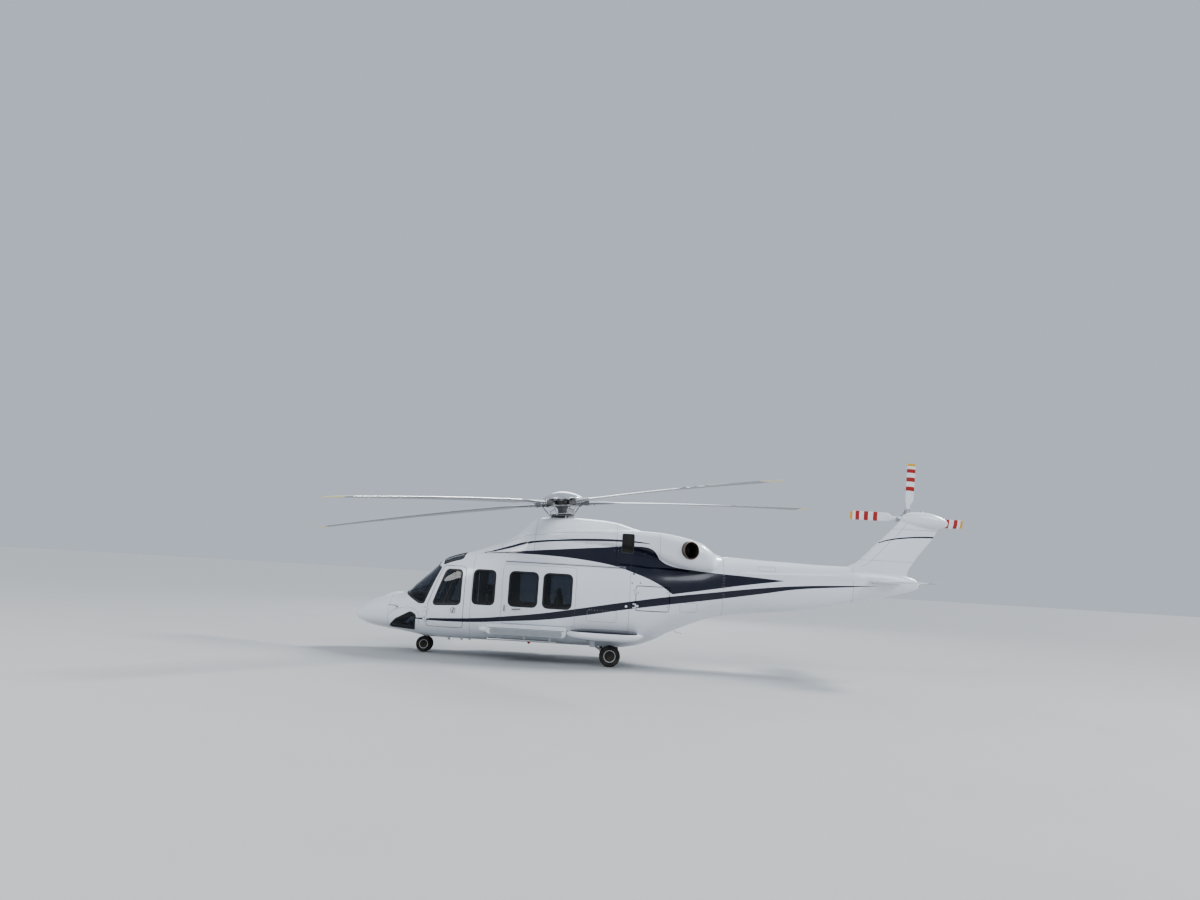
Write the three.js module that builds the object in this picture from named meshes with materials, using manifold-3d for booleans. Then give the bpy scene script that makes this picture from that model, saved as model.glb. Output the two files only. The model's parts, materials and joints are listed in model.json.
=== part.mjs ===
// A twin-engined transport helicopter on wheels, parked with its rotors still.
// Millimetres. While it is laid out, x is the station aft of the nose tip, y is starboard,
// z is the height above the ground; the last lines move it to its origin on the belly.
import * as THREE from "three";
import { mergeVertices } from "three/addons/utils/BufferGeometryUtils.js";
import Module from "manifold-3d";

const wasm = await Module();
wasm.setup();

// Driving dimensions
const SEAT_GAP = 0.3;          // between pieces that rest on each other
const MOVING_GAP = 10;         // around a door leaf
const WALL = 40;               // skin, frames and lining together
const BOOM_WALL = 16;          // the boom's skin and frames, with no lining
const GLASS_DEPTH = 12;        // how far a pane lies inside the outer skin
const GLASS_THICK = 9;
const AROUND = 24;             // points around a body section
const WHEEL_SIDES = 16;        // also its axle, so that the bore clears it
const AROUND_INSIDE = 16;      // points around its inner face

const MAST = { x: 4560, hubHeight: 3570, tilt: THREE.MathUtils.degToRad(5.5), radius: 85, hole: 150 };
const ROTOR = { blades: 5, radius: 6700, firstAzimuth: -52.4, droop: 220, rootRadius: 640 };
const TAIL_ROTOR = { x: 12790, z: 3690, hubY: 430, blades: 4, cant: THREE.MathUtils.degToRad(10) };
const NOSE_GEAR = {
  x: 1620, wheelRadius: 175, wheelWidth: 95, wheelY: 105, axleRadius: 16,
  legRadius: 42, collarRadius: 62, collarLow: 480, top: 560, hubRadius: 36, hubHalf: 50,
};
const MAIN_GEAR = {
  x: 5850, y: 1050, wheelRadius: 228, wheelWidth: 165, axleRadius: 24, axleEnd: 1125,
  armY: 930, armRadius: 26, pivotX: 5460, pivotZ: 455, pivotRadius: 34, pivotEnd: 1110,
};
const BORE_GAP = 0.7;          // between an axle and what turns on it
const CABIN_FLOOR = { under: 500, top: 545 };
const ORIGIN_PAD = { x: 4700, under: 318, top: 385, side: 260 };

// Fuselage sections: station, keel height, crown height, half width, height of the widest
// point, roundness below it and above it (2 is an ellipse, more is squarer)
const FUSELAGE = [
  [0, 745, 815, 45, 780, 2.0, 2.0],
  [60, 672, 900, 170, 785, 2.0, 2.0],
  [160, 620, 975, 265, 785, 2.1, 2.1],
  [300, 566, 1075, 375, 790, 2.2, 2.2],
  [550, 512, 1180, 530, 800, 2.3, 2.2],
  [850, 478, 1268, 680, 820, 2.4, 2.2],
  [1140, 448, 1325, 795, 860, 2.6, 2.3],
  [1420, 412, 1590, 890, 940, 2.8, 2.4],
  [1700, 372, 1850, 970, 1040, 3.0, 2.5],
  [2000, 358, 2130, 1035, 1150, 3.2, 2.7],
  [2400, 358, 2275, 1095, 1270, 3.3, 2.9],
  [2900, 362, 2370, 1128, 1350, 3.4, 3.1],
  [3600, 366, 2410, 1130, 1380, 3.5, 3.3],
  [6000, 368, 2410, 1130, 1380, 3.5, 3.3],
  [6350, 412, 2405, 1095, 1430, 3.2, 3.1],
  [6750, 540, 2400, 1010, 1500, 3.0, 2.8],
  [7200, 770, 2395, 875, 1590, 2.8, 2.6],
  [7650, 960, 2400, 725, 1690, 2.6, 2.5],
  [8050, 1110, 2450, 585, 1780, 2.4, 2.4],
  [8500, 1205, 2540, 470, 1860, 2.3, 2.3],
  [9300, 1305, 2510, 390, 1940, 2.2, 2.2],
  [10000, 1385, 2495, 340, 1980, 2.2, 2.2],
  [10700, 1502, 2480, 292, 2030, 2.2, 2.2],
  [11350, 1645, 2480, 248, 2090, 2.2, 2.2],
  [11950, 1785, 2440, 205, 2130, 2.2, 2.2],
  [12450, 1915, 2380, 160, 2160, 2.1, 2.1],
  [12800, 2010, 2290, 100, 2155, 2.0, 2.0],
  [12940, 2090, 2190, 35, 2140, 2.0, 2.0],
];

// Upper cowling sections: station, base height, crown height, half width at the base, roundness
const COWLING = [
  [2620, 2200, 2345, 330, 2.2],
  [2900, 2200, 2440, 520, 2.3],
  [3250, 2200, 2570, 660, 2.3],
  [3560, 2200, 2760, 760, 2.3],
  [3760, 2200, 2935, 810, 2.3],
  [3930, 2200, 3125, 850, 2.2],
  [4130, 2200, 3200, 880, 2.1],
  [4700, 2200, 3240, 890, 2.1],
  [5400, 2200, 3225, 900, 2.1],
  [5850, 2200, 3180, 900, 2.2],
  [6300, 2200, 3060, 870, 2.3],
  [6900, 2200, 2920, 800, 2.4],
  [7500, 2200, 2850, 680, 2.4],
  [7900, 2200, 2720, 560, 2.3],
  [8150, 2200, 2610, 440, 2.2],
  [8330, 2200, 2550, 330, 2.1],
];
// Intake blister and engine nacelle sections on each side: station, lowest, highest, middle y, half width
const NACELLE = [
  [4250, 2740, 2800, 690, 30],
  [4600, 2680, 2890, 690, 140],
  [5200, 2620, 2950, 660, 240],
  [5900, 2550, 2980, 600, 330],
  [6300, 2500, 2990, 570, 360],
  [6800, 2360, 2980, 560, 380],
  [7100, 2250, 2950, 560, 385],
  [7400, 2190, 2900, 560, 370],
  [7800, 2160, 2800, 500, 320],
  [8050, 2170, 2640, 420, 240],
  [8150, 2200, 2560, 360, 150],
];
// Which of those rows the hollow inside reaches: the rest are too slender for a wall
const NACELLE_HOLLOW = { from: 2, to: 9 };
const SPLIT = { nose: 880, cabin: 2760, aft: 6220, boom: 8350, cowl: 5880 };

// Window and door outlines on the side of the body, as station and height pairs
const CREW_DOOR = [[1800, 640], [2600, 640], [2600, 1850], [2490, 1965], [2095, 1965], [1800, 1090]];
const CREW_WINDOW = [
  [1935, 1185], [1975, 1120], [2440, 1148], [2510, 1215],
  [2510, 1800], [2445, 1875], [2200, 1875], [2125, 1800],
];
const WINDSCREEN = [
  [1215, 1560], [1215, 1340], [1600, 1135], [1700, 1135],
  [2000, 1905], [1925, 2010], [1925, 2300], [1800, 2300],
];
const CHIN_WINDOW = [[915, 560], [1080, 725], [1240, 825], [1420, 900], [1530, 840], [1500, 540]];
const SIDE_WINDOW = { x0: 2800, x1: 3255, z0: 1185, z1: 1905, r: 90 };
const CABIN_DOOR = { x0: 3430, x1: 5040, z0: 800, z1: 2075, r: 90 };
const DOOR_WINDOWS = [
  { x0: 3590, x1: 4190, z0: 1185, z1: 1910, r: 100 },
  { x0: 4340, x1: 4940, z0: 1185, z1: 1910, r: 100 },
];
const ROOF_WINDOW = { x0: 2060, x1: 2480, z0: -745, z1: -330, r: 60 };   // in plan: z is y here
const BAGGAGE_DOOR = { x0: 6360, x1: 7120, z0: 1240, z1: 1760, r: 50, yaw: 15, pivotY: -1080 };
const HINGE = { radius: 13, knuckle: 46, outerKnuckle: 30, tabSink: 4 };
// Half width of the post between the windscreens, and how far in the side cuts reach
const POST_HALF = 45;
const CUT_DEPTH = {
  side: [-1400, -200], screen: [-1200, -POST_HALF], chin: [-900, -150], baggage: [-900, 700],
};

// Materials
const paintWhite = new THREE.MeshStandardMaterial({ color: 0xe9edf2, roughness: 0.2, metalness: 0 });
const paintNavy = new THREE.MeshStandardMaterial({ color: 0x1a2340, roughness: 0.25, metalness: 0 });
const glass = new THREE.MeshStandardMaterial({ color: 0x1a2228, roughness: 0.05, metalness: 0 });
const steel = new THREE.MeshStandardMaterial({ color: 0x9aa0a6, roughness: 0.35, metalness: 0.9 });
const darkSteel = new THREE.MeshStandardMaterial({ color: 0x44474b, roughness: 0.5, metalness: 0.8 });
const bladeGrey = new THREE.MeshStandardMaterial({ color: 0x8b97a6, roughness: 0.4, metalness: 0 });
const rubber = new THREE.MeshStandardMaterial({ color: 0x17181a, roughness: 0.85, metalness: 0 });
const trim = new THREE.MeshStandardMaterial({ color: 0x3a3d42, roughness: 0.7, metalness: 0 });
const leather = new THREE.MeshStandardMaterial({ color: 0xcfc8bb, roughness: 0.6, metalness: 0 });

const group = new THREE.Group();

// Solids: three.js geometry in, three.js geometry out
function solidOf(geometry) {
  const bare = geometry.index ? geometry.clone() : geometry;
  bare.deleteAttribute("normal");
  bare.deleteAttribute("uv");
  const merged = mergeVertices(bare, 1e-3);
  return new wasm.Manifold(new wasm.Mesh({
    numProp: 3,
    vertProperties: new Float32Array(merged.attributes.position.array),
    triVerts: new Uint32Array(merged.index.array),
  }));
}

function geometryOf(solid) {
  const mesh = solid.getMesh();
  const geometry = new THREE.BufferGeometry();
  geometry.setAttribute("position", new THREE.BufferAttribute(mesh.vertProperties, 3));
  geometry.setIndex(new THREE.BufferAttribute(mesh.triVerts, 1));
  geometry.computeVertexNormals();
  return geometry;
}

function node(name, solid, material) {
  const mesh = new THREE.Mesh(geometryOf(solid), material);
  mesh.name = name;
  group.add(mesh);
}

// A port piece and its starboard twin, each fitted to the body on its own side
function pair(name, port, material, fit = (solid) => solid) {
  node(`${name}_left`, fit(port), material);
  node(`${name}_right`, fit(port.mirror([0, 1, 0])), material);
}

const moved = (solid, x, y, z) => solid.translate([x, y, z]);
const mirrored = (solid) => solid.mirror([0, 1, 0]);
const union = (...solids) => solids.reduce((sum, solid) => sum.add(solid));

function box(x0, x1, y0, y1, z0, z1) {
  const geometry = new THREE.BoxGeometry(x1 - x0, y1 - y0, z1 - z0);
  geometry.translate((x0 + x1) / 2, (y0 + y1) / 2, (z0 + z1) / 2);
  return solidOf(geometry);
}

// A straight round bar between two points; endRadius tapers it
function bar(from, to, radius, sides = 16, endRadius = radius) {
  const start = new THREE.Vector3(...from);
  const run = new THREE.Vector3(...to).sub(start);
  const geometry = new THREE.CylinderGeometry(endRadius, radius, run.length(), sides);
  geometry.translate(0, run.length() / 2, 0);
  const direction = run.clone().normalize();
  geometry.applyQuaternion(new THREE.Quaternion().setFromUnitVectors(new THREE.Vector3(0, 1, 0), direction));
  geometry.translate(start.x, start.y, start.z);
  return solidOf(geometry);
}

// A turned solid about the y axis from radius and offset pairs
function turned(profile, sides) {
  const points = profile.map(([radius, offset]) => new THREE.Vector2(radius, offset));
  return solidOf(new THREE.LatheGeometry(points, sides));
}

function polygonShape(points) {
  return new THREE.Shape(points.map(([a, b]) => new THREE.Vector2(a, b)));
}

function roundedShape({ x0, x1, z0, z1, r }, grow = 0) {
  const [left, right, low, high, corner] = [x0 - grow, x1 + grow, z0 - grow, z1 + grow, r + grow];
  const shape = new THREE.Shape();
  shape.moveTo(left + corner, low);
  shape.lineTo(right - corner, low);
  shape.absarc(right - corner, low + corner, corner, -Math.PI / 2, 0);
  shape.lineTo(right, high - corner);
  shape.absarc(right - corner, high - corner, corner, 0, Math.PI / 2);
  shape.lineTo(left + corner, high);
  shape.absarc(left + corner, high - corner, corner, Math.PI / 2, Math.PI);
  shape.lineTo(left, low + corner);
  shape.absarc(left + corner, low + corner, corner, Math.PI, Math.PI * 1.5);
  return shape;
}

// An outline in station and height, pushed through from y0 to y1
function sidePrism(shape, y0, y1, curveSegments = 3) {
  const geometry = new THREE.ExtrudeGeometry(shape, { depth: y1 - y0, bevelEnabled: false, curveSegments });
  geometry.rotateX(Math.PI / 2);
  geometry.translate(0, y1, 0);
  return solidOf(geometry);
}

// An outline in station and y, pushed up from z0 to z1
function planPrism(shape, z0, z1, curveSegments = 3) {
  const geometry = new THREE.ExtrudeGeometry(shape, { depth: z1 - z0, bevelEnabled: false, curveSegments });
  geometry.translate(0, 0, z0);
  return solidOf(geometry);
}

// Grows a polygon about the middle of its box by a distance on each side
function grownPolygon(points, grow) {
  const xs = points.map(([x]) => x);
  const zs = points.map(([, z]) => z);
  const [cx, cz] = [(Math.min(...xs) + Math.max(...xs)) / 2, (Math.min(...zs) + Math.max(...zs)) / 2];
  const kx = 1 + grow / (Math.max(...xs) - cx);
  const kz = 1 + grow / (Math.max(...zs) - cz);
  return points.map(([x, z]) => [cx + (x - cx) * kx, cz + (z - cz) * kz]);
}

// Joins rings of equal count into a closed solid with flat ends
function loft(rings) {
  const count = rings[0].length;
  const positions = rings.flat().flatMap((point) => point);
  const index = [];
  for (let ring = 0; ring + 1 < rings.length; ring += 1) {
    for (let point = 0; point < count; point += 1) {
      const next = (point + 1) % count;
      const [a, b] = [ring * count + point, ring * count + next];
      index.push(a, b, b + count, a, b + count, a + count);
    }
  }
  const capEnd = (start, flip) => {
    for (let point = 1; point + 1 < count; point += 1) {
      index.push(start, flip ? start + point : start + point + 1, flip ? start + point + 1 : start + point);
    }
  };
  capEnd(0, false);
  capEnd((rings.length - 1) * count, true);
  const geometry = new THREE.BufferGeometry();
  geometry.setAttribute("position", new THREE.Float32BufferAttribute(positions, 3));
  geometry.setIndex(index);
  const solid = solidOf(geometry);
  return solid.volume() < 0 ? loft([...rings].reverse()) : solid;
}

const power = (value, exponent) => Math.sign(value) * Math.abs(value) ** exponent;

// Ring of a body section, its wall pushed in by inset
function bodyRing([x, keel, crown, halfWidth, middle, low, high], inset, around) {
  const width = Math.max(halfWidth - inset, 4);
  return Array.from({ length: around }, (_, step) => {
    const angle = (2 * Math.PI * step) / around;
    const exponent = 2 / (Math.sin(angle) < 0 ? low : high);
    const reach = Math.sin(angle) < 0 ? middle - keel - inset : crown - middle - inset;
    const height = middle + Math.max(reach, 4) * power(Math.sin(angle), exponent);
    return [x, width * power(Math.cos(angle), exponent), height];
  });
}

function bodyLoft(inset, around = AROUND, trim = 0) {
  return loft(FUSELAGE.slice(trim, FUSELAGE.length - trim).map((row) => bodyRing(row, inset, around)));
}

function cowlRing([x, base, crown, halfWidth, roundness], inset) {
  const steps = 18;
  const exponent = 2 / roundness;
  return Array.from({ length: steps + 1 }, (_, step) => {
    const angle = (Math.PI * step) / steps;
    const height = base + (crown - base - inset) * power(Math.sin(angle), exponent);
    return [x, (halfWidth - inset) * power(Math.cos(angle), exponent), height];
  });
}

function nacelleRing([x, low, high, middleY, halfWidth], inset) {
  const sides = 18;
  return Array.from({ length: sides }, (_, step) => {
    const angle = (2 * Math.PI * step) / sides;
    return [x, middleY + (halfWidth - inset) * power(Math.cos(angle), 0.8),
      (low + high) / 2 + ((high - low) / 2 - inset) * power(Math.sin(angle), 0.8)];
  });
}

// Body shells
const bodyOuter = bodyLoft(0);
const bodyClear = bodyLoft(-SEAT_GAP);
const bodyInner = bodyLoft(WALL, AROUND_INSIDE, 2);
const bodyLining = bodyLoft(WALL + SEAT_GAP, AROUND_INSIDE, 2);
const boomInner = bodyLoft(BOOM_WALL, AROUND_INSIDE, 2);
const paneSkin = bodyLoft(GLASS_DEPTH).subtract(bodyLoft(GLASS_DEPTH + GLASS_THICK));
const shell = bodyOuter.subtract(bodyInner);
const offBody = (solid) => solid.subtract(bodyClear);
const slice = (solid, x0, x1) => solid.intersect(box(x0, x1, -3000, 3000, -500, 5000));
const bothSides = (solid) => solid.add(mirrored(solid));
const portHalf = box(-100, 14000, -3000, 0, -500, 5000);
const sideOf = (solid) => (solid.boundingBox().max[1] < 100 ? portHalf : mirrored(portHalf));

// Openings through the port wall, mirrored for starboard
const through = (shape) => sidePrism(shape, ...CUT_DEPTH.side);
const chinCut = (grow) => sidePrism(polygonShape(grownPolygon(CHIN_WINDOW, grow)), ...CUT_DEPTH.chin);
const screenCut = (grow) => sidePrism(polygonShape(grownPolygon(WINDSCREEN, grow)), ...CUT_DEPTH.screen);
const roofCut = (grow) => planPrism(roundedShape(ROOF_WINDOW, grow), 1700, 2600);
const crewDoorCut = (grow) => through(polygonShape(grownPolygon(CREW_DOOR, grow)));
const crewWindowCut = (grow) => through(polygonShape(grownPolygon(CREW_WINDOW, grow)));
const sideWindowCut = (grow) => through(roundedShape(SIDE_WINDOW, grow));
const cabinDoorCut = (grow) => through(roundedShape(CABIN_DOOR, grow));
const doorWindowCut = (grow) => union(...DOOR_WINDOWS.map((window) => through(roundedShape(window, grow))));
const baggageCut = (grow) => sidePrism(roundedShape(BAGGAGE_DOOR, grow), ...CUT_DEPTH.baggage)
  .translate([-BAGGAGE_DOOR.x0, 0, 0])
  .rotate([0, 0, BAGGAGE_DOOR.yaw])
  .translate([BAGGAGE_DOOR.x0, BAGGAGE_DOOR.pivotY, 0]);

// Hinges: a knuckle on the leaf between two on the frame, along an upright pin line
const CREW_HINGE = { x: 1795, y: -1010, heights: [820, 1020], depth: 64, frameX: 1720, leafX: 1860 };
const BAGGAGE_HINGE = { x: 6352, y: -1108, heights: [1330, 1640], depth: 40, frameX: 6290, leafX: 6420 };
function knuckle(hinge, z0, z1, toX) {
  const barrel = bar([hinge.x, hinge.y, z0], [hinge.x, hinge.y, z1], HINGE.radius);
  const [x0, x1] = [Math.min(hinge.x, toX), Math.max(hinge.x, toX)];
  return barrel.add(box(x0, x1, hinge.y + HINGE.tabSink, hinge.y + hinge.depth, z0, z1));
}
function leafKnuckles(hinge) {
  const half = HINGE.knuckle / 2;
  return union(...hinge.heights.map((z) => knuckle(hinge, z - half, z + half, hinge.leafX)));
}
function frameKnuckles(hinge) {
  const half = HINGE.knuckle / 2 + SEAT_GAP;
  const outer = half + HINGE.outerKnuckle;
  return union(...hinge.heights.flatMap((z) => [[z - outer, z - half], [z + half, z + outer]])
    .map(([z0, z1]) => knuckle(hinge, z0, z1, hinge.frameX)));
}
const frameSide = (hinge) => bothSides(frameKnuckles(hinge).subtract(bodyInner));
const leafSide = (hinge, cut) => bothSides(leafKnuckles(hinge).subtract(bodyInner)).intersect(sideOf(cut));

// Nose cone, cockpit frame, cabin, aft fuselage and boom
const NOSE_BAY = { x0: 1330, x1: 1960, half: 215, top: 640, wall: 40 };
const NOSE_MOUNT = { radius: 90, top: 645 };
const BULKHEAD = 30;
const BAGGAGE_GAP = 17;
const BELOW = 300;
const noseBay = box(NOSE_BAY.x0, NOSE_BAY.x1, -NOSE_BAY.half, NOSE_BAY.half, BELOW, NOSE_BAY.top);
const noseBayWalls = box(NOSE_BAY.x0 - NOSE_BAY.wall, NOSE_BAY.x1 + NOSE_BAY.wall,
  -NOSE_BAY.half - NOSE_BAY.wall, NOSE_BAY.half + NOSE_BAY.wall, BELOW, NOSE_BAY.top + NOSE_BAY.wall);

node("nose_cone", slice(shell, -10, SPLIT.nose - SEAT_GAP), paintWhite);

const cockpitCuts = union(chinCut(0), screenCut(0), roofCut(0), crewDoorCut(MOVING_GAP));
const noseMount = bar([NOSE_GEAR.x, 0, NOSE_GEAR.top], [NOSE_GEAR.x, 0, NOSE_MOUNT.top], NOSE_MOUNT.radius, 20);
const cockpit = slice(shell, SPLIT.nose, SPLIT.cabin - SEAT_GAP)
  .add(noseBayWalls.intersect(bodyOuter))
  .subtract(noseBay)
  .subtract(bothSides(cockpitCuts));
node("cockpit_frame", union(cockpit, frameSide(CREW_HINGE), noseMount), paintWhite);

const cabinCuts = union(sideWindowCut(0), cabinDoorCut(0.5));
const half = ORIGIN_PAD.side / 2;
const hookPad = box(ORIGIN_PAD.x - half, ORIGIN_PAD.x + half, -half, half, ORIGIN_PAD.under, ORIGIN_PAD.top);
const cabin = slice(shell, SPLIT.cabin, SPLIT.aft - SEAT_GAP).subtract(bothSides(cabinCuts));
node("cabin_shell", cabin.add(hookPad), paintWhite);

const aft = slice(shell, SPLIT.aft, SPLIT.boom - SEAT_GAP)
  .add(slice(bodyOuter, SPLIT.aft, SPLIT.aft + BULKHEAD))
  .subtract(bothSides(baggageCut(BAGGAGE_GAP)));
node("aft_fuselage", aft.add(frameSide(BAGGAGE_HINGE)), paintWhite);

// Fin sections: height, leading edge station, trailing edge station, half thickness
const FIN = [
  [2200, 11000, 12660, 170],
  [2400, 11120, 12660, 150],
  [2490, 11260, 12690, 145],
  [2580, 11460, 12750, 140],
  [2780, 11680, 12880, 125],
  [3050, 11940, 13100, 110],
  [3360, 12260, 13320, 100],
  [3580, 12450, 13400, 90],
  [3700, 12565, 13385, 80],
];
function finRing([z, front, back, half]) {
  const chord = back - front;
  const spread = [[0, 0], [0.06, 0.55], [0.28, 1], [0.6, 0.85], [1, 0.12]];
  const port = spread.map(([along, thick]) => [front + along * chord, -half * thick, z]);
  const starboard = spread.slice(1).reverse().map(([x, thick]) => [front + x * chord, half * thick, z]);
  return [...port, ...starboard];
}
const POD = { x: 13040, z: 3660, halfLength: 560, halfWidth: 190, halfHeight: 185, droop: 4, segments: 16 };
function pod(grow) {
  const geometry = new THREE.SphereGeometry(1, POD.segments, POD.segments / 2);
  geometry.scale(POD.halfLength + grow, POD.halfWidth + grow, POD.halfHeight + grow);
  geometry.rotateY(THREE.MathUtils.degToRad(POD.droop));
  geometry.translate(POD.x, 0, POD.z);
  return solidOf(geometry);
}
const fin = loft(FIN.map(finRing));

// Strake along each side of the boom: station, height of its edge, skin y, how far it stands out
const STRAKE = [[8680, 2160, 430, 8], [9100, 2165, 385, 42], [11200, 2230, 232, 42], [11600, 2235, 215, 8]];
const boomStrake = loft(STRAKE.map(([x, z, skin, out]) => (
  [[x, -skin, z - 115], [x, -skin - out, z], [x, -skin, z + 60], [x, -skin + 60, z]])));
const boom = slice(bodyOuter, SPLIT.boom, 13100).add(bothSides(boomStrake)).subtract(boomInner);
node("tail_boom", boom, paintWhite);
node("tail_fin", fin.subtract(bodyClear).subtract(pod(2 * SEAT_GAP)), paintWhite);

// Tail rotor: built about the y axis, leaned over and carried on its shaft
const leaned = (solid) => solid.rotate([THREE.MathUtils.radToDeg(TAIL_ROTOR.cant), 0, 0])
  .translate([TAIL_ROTOR.x, TAIL_ROTOR.hubY, TAIL_ROTOR.z]);
const TAIL_HUB = { half: 60, radius: 150, capEnd: 110, capRadius: 70, shaftRadius: 58, shaftLength: 340 };
const tailShaft = leaned(bar([0, -TAIL_HUB.shaftLength, 0], [0, -TAIL_HUB.half - SEAT_GAP, 0], TAIL_HUB.shaftRadius, 20));
node("tail_gearbox", pod(0).add(tailShaft), paintWhite);

// Blade ring across the radius: leading edge at 30 percent ahead of the pitch axis
function bladeRing(radius, chord, thickness, height, sweep, twist) {
  const spread = [[0.3, 0], [0.22, 0.75], [0.02, 1], [-0.3, 0.75], [-0.7, 0.08]];
  const turn = THREE.MathUtils.degToRad(twist);
  const upper = spread.map(([along, thick]) => [along * chord, thick * thickness / 2]);
  const lower = spread.slice(1).reverse().map(([along, thick]) => [along * chord, -thick * thickness / 2]);
  return [...upper, ...lower].map(([y, z]) => (
    [radius, y * Math.cos(turn) - z * Math.sin(turn) - sweep, height + y * Math.sin(turn) + z * Math.cos(turn)]));
}
// Tail blade: radius, chord, thickness
const TAIL_BLADE = [[120, 90, 60], [330, 95, 55], [460, 205, 34], [1270, 215, 26], [1350, 150, 14]];
const TAIL_PITCH = 8;
const tailBlade = loft(TAIL_BLADE.map(([radius, chord, thick]) => bladeRing(radius, chord, thick, 0, 0, TAIL_PITCH)))
  .rotate([90, 0, 0]);
const tailHub = union(bar([0, -TAIL_HUB.half, 0], [0, TAIL_HUB.half, 0], TAIL_HUB.radius, 24),
  bar([0, TAIL_HUB.half, 0], [0, TAIL_HUB.capEnd, 0], TAIL_HUB.capRadius, 20));
const tailBlades = Array.from({ length: TAIL_ROTOR.blades }, (_, step) => (
  tailBlade.rotate([0, (360 / TAIL_ROTOR.blades) * step, 0])));
node("tail_rotor", leaned(union(tailHub, ...tailBlades)), bladeGrey);

// Stabiliser halves: y, leading edge, trailing edge, half thickness
const STABILISER = [
  [60, 11700, 12440, 40],
  [1100, 11740, 12430, 34],
  [2050, 11790, 12400, 26],
  [2110, 11850, 12370, 12],
];
const STABILISER_HEIGHT = 2170;
function stabiliserRing([y, front, back, half]) {
  const chord = back - front;
  const spread = [[0, 0], [0.08, 0.7], [0.3, 1], [0.65, 0.7], [1, 0.1]];
  const upper = spread.map(([along, thick]) => [front + along * chord, y, STABILISER_HEIGHT + half * thick]);
  const lower = spread.slice(1).reverse().map(([x, thick]) => [front + x * chord, y, STABILISER_HEIGHT - half * thick]);
  return [...upper, ...lower];
}
pair("stabiliser", mirrored(loft(STABILISER.map(stabiliserRing))), paintWhite, offBody);

// Upper cowlings, open below over the roof
const cowlOuter = loft(COWLING.map((row) => cowlRing(row, 0)));
const cowlInner = loft(COWLING.map((row) => cowlRing([row[0], row[1] - 60, row[2], row[3], row[4]], WALL)));
const nacelleOuter = bothSides(loft(NACELLE.map((row) => nacelleRing(row, 0))));
const nacelleHollow = NACELLE.slice(NACELLE_HOLLOW.from, NACELLE_HOLLOW.to);
const nacelleInner = bothSides(loft(nacelleHollow.map((row) => nacelleRing(row, WALL))));
const cowlSkin = cowlOuter.add(nacelleOuter).subtract(union(cowlInner, nacelleInner)).subtract(bodyClear);
const mastLine = (height) => [MAST.x + (MAST.hubHeight - height) * Math.tan(MAST.tilt), 0, height];
const mastHole = bar(mastLine(2900), mastLine(3400), MAST.hole, 20);
node("main_cowling", slice(cowlSkin, 2500, SPLIT.cowl - SEAT_GAP).subtract(mastHole), paintWhite);

// Exhausts: a short pipe out of the outboard side of each nacelle
const EXHAUST = { x: 7410, y: -665, z: 2610, length: 300, outer: 196, inner: 180, base: 30, yaw: 62, holeGap: 1 };
const placeExhaust = (profile) => turned(profile, 24)
  .rotate([0, 0, -90 - EXHAUST.yaw])
  .translate([EXHAUST.x, EXHAUST.y, EXHAUST.z]);
const exhaust = placeExhaust([[0, 0], [EXHAUST.outer, 0], [EXHAUST.outer, EXHAUST.length],
  [EXHAUST.inner, EXHAUST.length], [EXHAUST.inner, EXHAUST.base], [0, EXHAUST.base]]);
const hole = EXHAUST.outer + EXHAUST.holeGap;
const exhaustHole = placeExhaust([[0, -5], [hole, -5], [hole, 900], [0, 900]]);
node("engine_cowling", slice(cowlSkin, SPLIT.cowl, 8400).subtract(bothSides(exhaustHole)), paintNavy);
pair("exhaust", exhaust, darkSteel);

// Gearbox, engines and mast in one, standing on the roof
const ROOF_STAND = 2250;
const GEARBOX = { x0: 4150, x1: 5150, y: 420, top: 2900 };
const ENGINE = { x0: 6200, x1: 7150, y: 545, half: 185, z0: 2500, z1: 2830 };
const ENGINE_FOOT = { half: 90, length: 200, inset: 150, overlap: 10 };
const DRIVE_SHAFT = { y: 280, z: 2660, radius: 60, overlap: 40 };
const engineFoot = (x0) => box(x0, x0 + ENGINE_FOOT.length, ENGINE.y - ENGINE_FOOT.half, ENGINE.y + ENGINE_FOOT.half,
  ROOF_STAND, ENGINE.z0 + ENGINE_FOOT.overlap);
const engineBlock = union(
  box(ENGINE.x0, ENGINE.x1, ENGINE.y - ENGINE.half, ENGINE.y + ENGINE.half, ENGINE.z0, ENGINE.z1),
  engineFoot(ENGINE.x0 + ENGINE_FOOT.inset),
  engineFoot(ENGINE.x1 - ENGINE_FOOT.inset - ENGINE_FOOT.length),
  bar([GEARBOX.x1 - DRIVE_SHAFT.overlap, DRIVE_SHAFT.y, DRIVE_SHAFT.z],
    [ENGINE.x0 + DRIVE_SHAFT.overlap, ENGINE.y, DRIVE_SHAFT.z], DRIVE_SHAFT.radius));
const HUB_SHAFT = { top: -110, radius: 118, bore: 92, bottom: -420 };
const mast = bar(mastLine(GEARBOX.top - 60), mastLine(MAST.hubHeight + HUB_SHAFT.top), MAST.radius, 20);
const gearbox = box(GEARBOX.x0, GEARBOX.x1, -GEARBOX.y, GEARBOX.y, ROOF_STAND, GEARBOX.top);
node("powerplant", union(gearbox, bothSides(engineBlock), mast).subtract(bodyClear), darkSteel);

// Rotor head: hub plates, five arms, cap, swashplate and pitch links, about the tilted mast
const upMast = (solid) => solid.rotate([0, -THREE.MathUtils.radToDeg(MAST.tilt), 0])
  .translate([MAST.x, 0, MAST.hubHeight]);
const onMast = (profile, sides) => turned(profile, sides).rotate([90, 0, 0]);
const azimuths = Array.from({ length: ROTOR.blades }, (_, step) => ROTOR.firstAzimuth + (360 / ROTOR.blades) * step);
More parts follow.
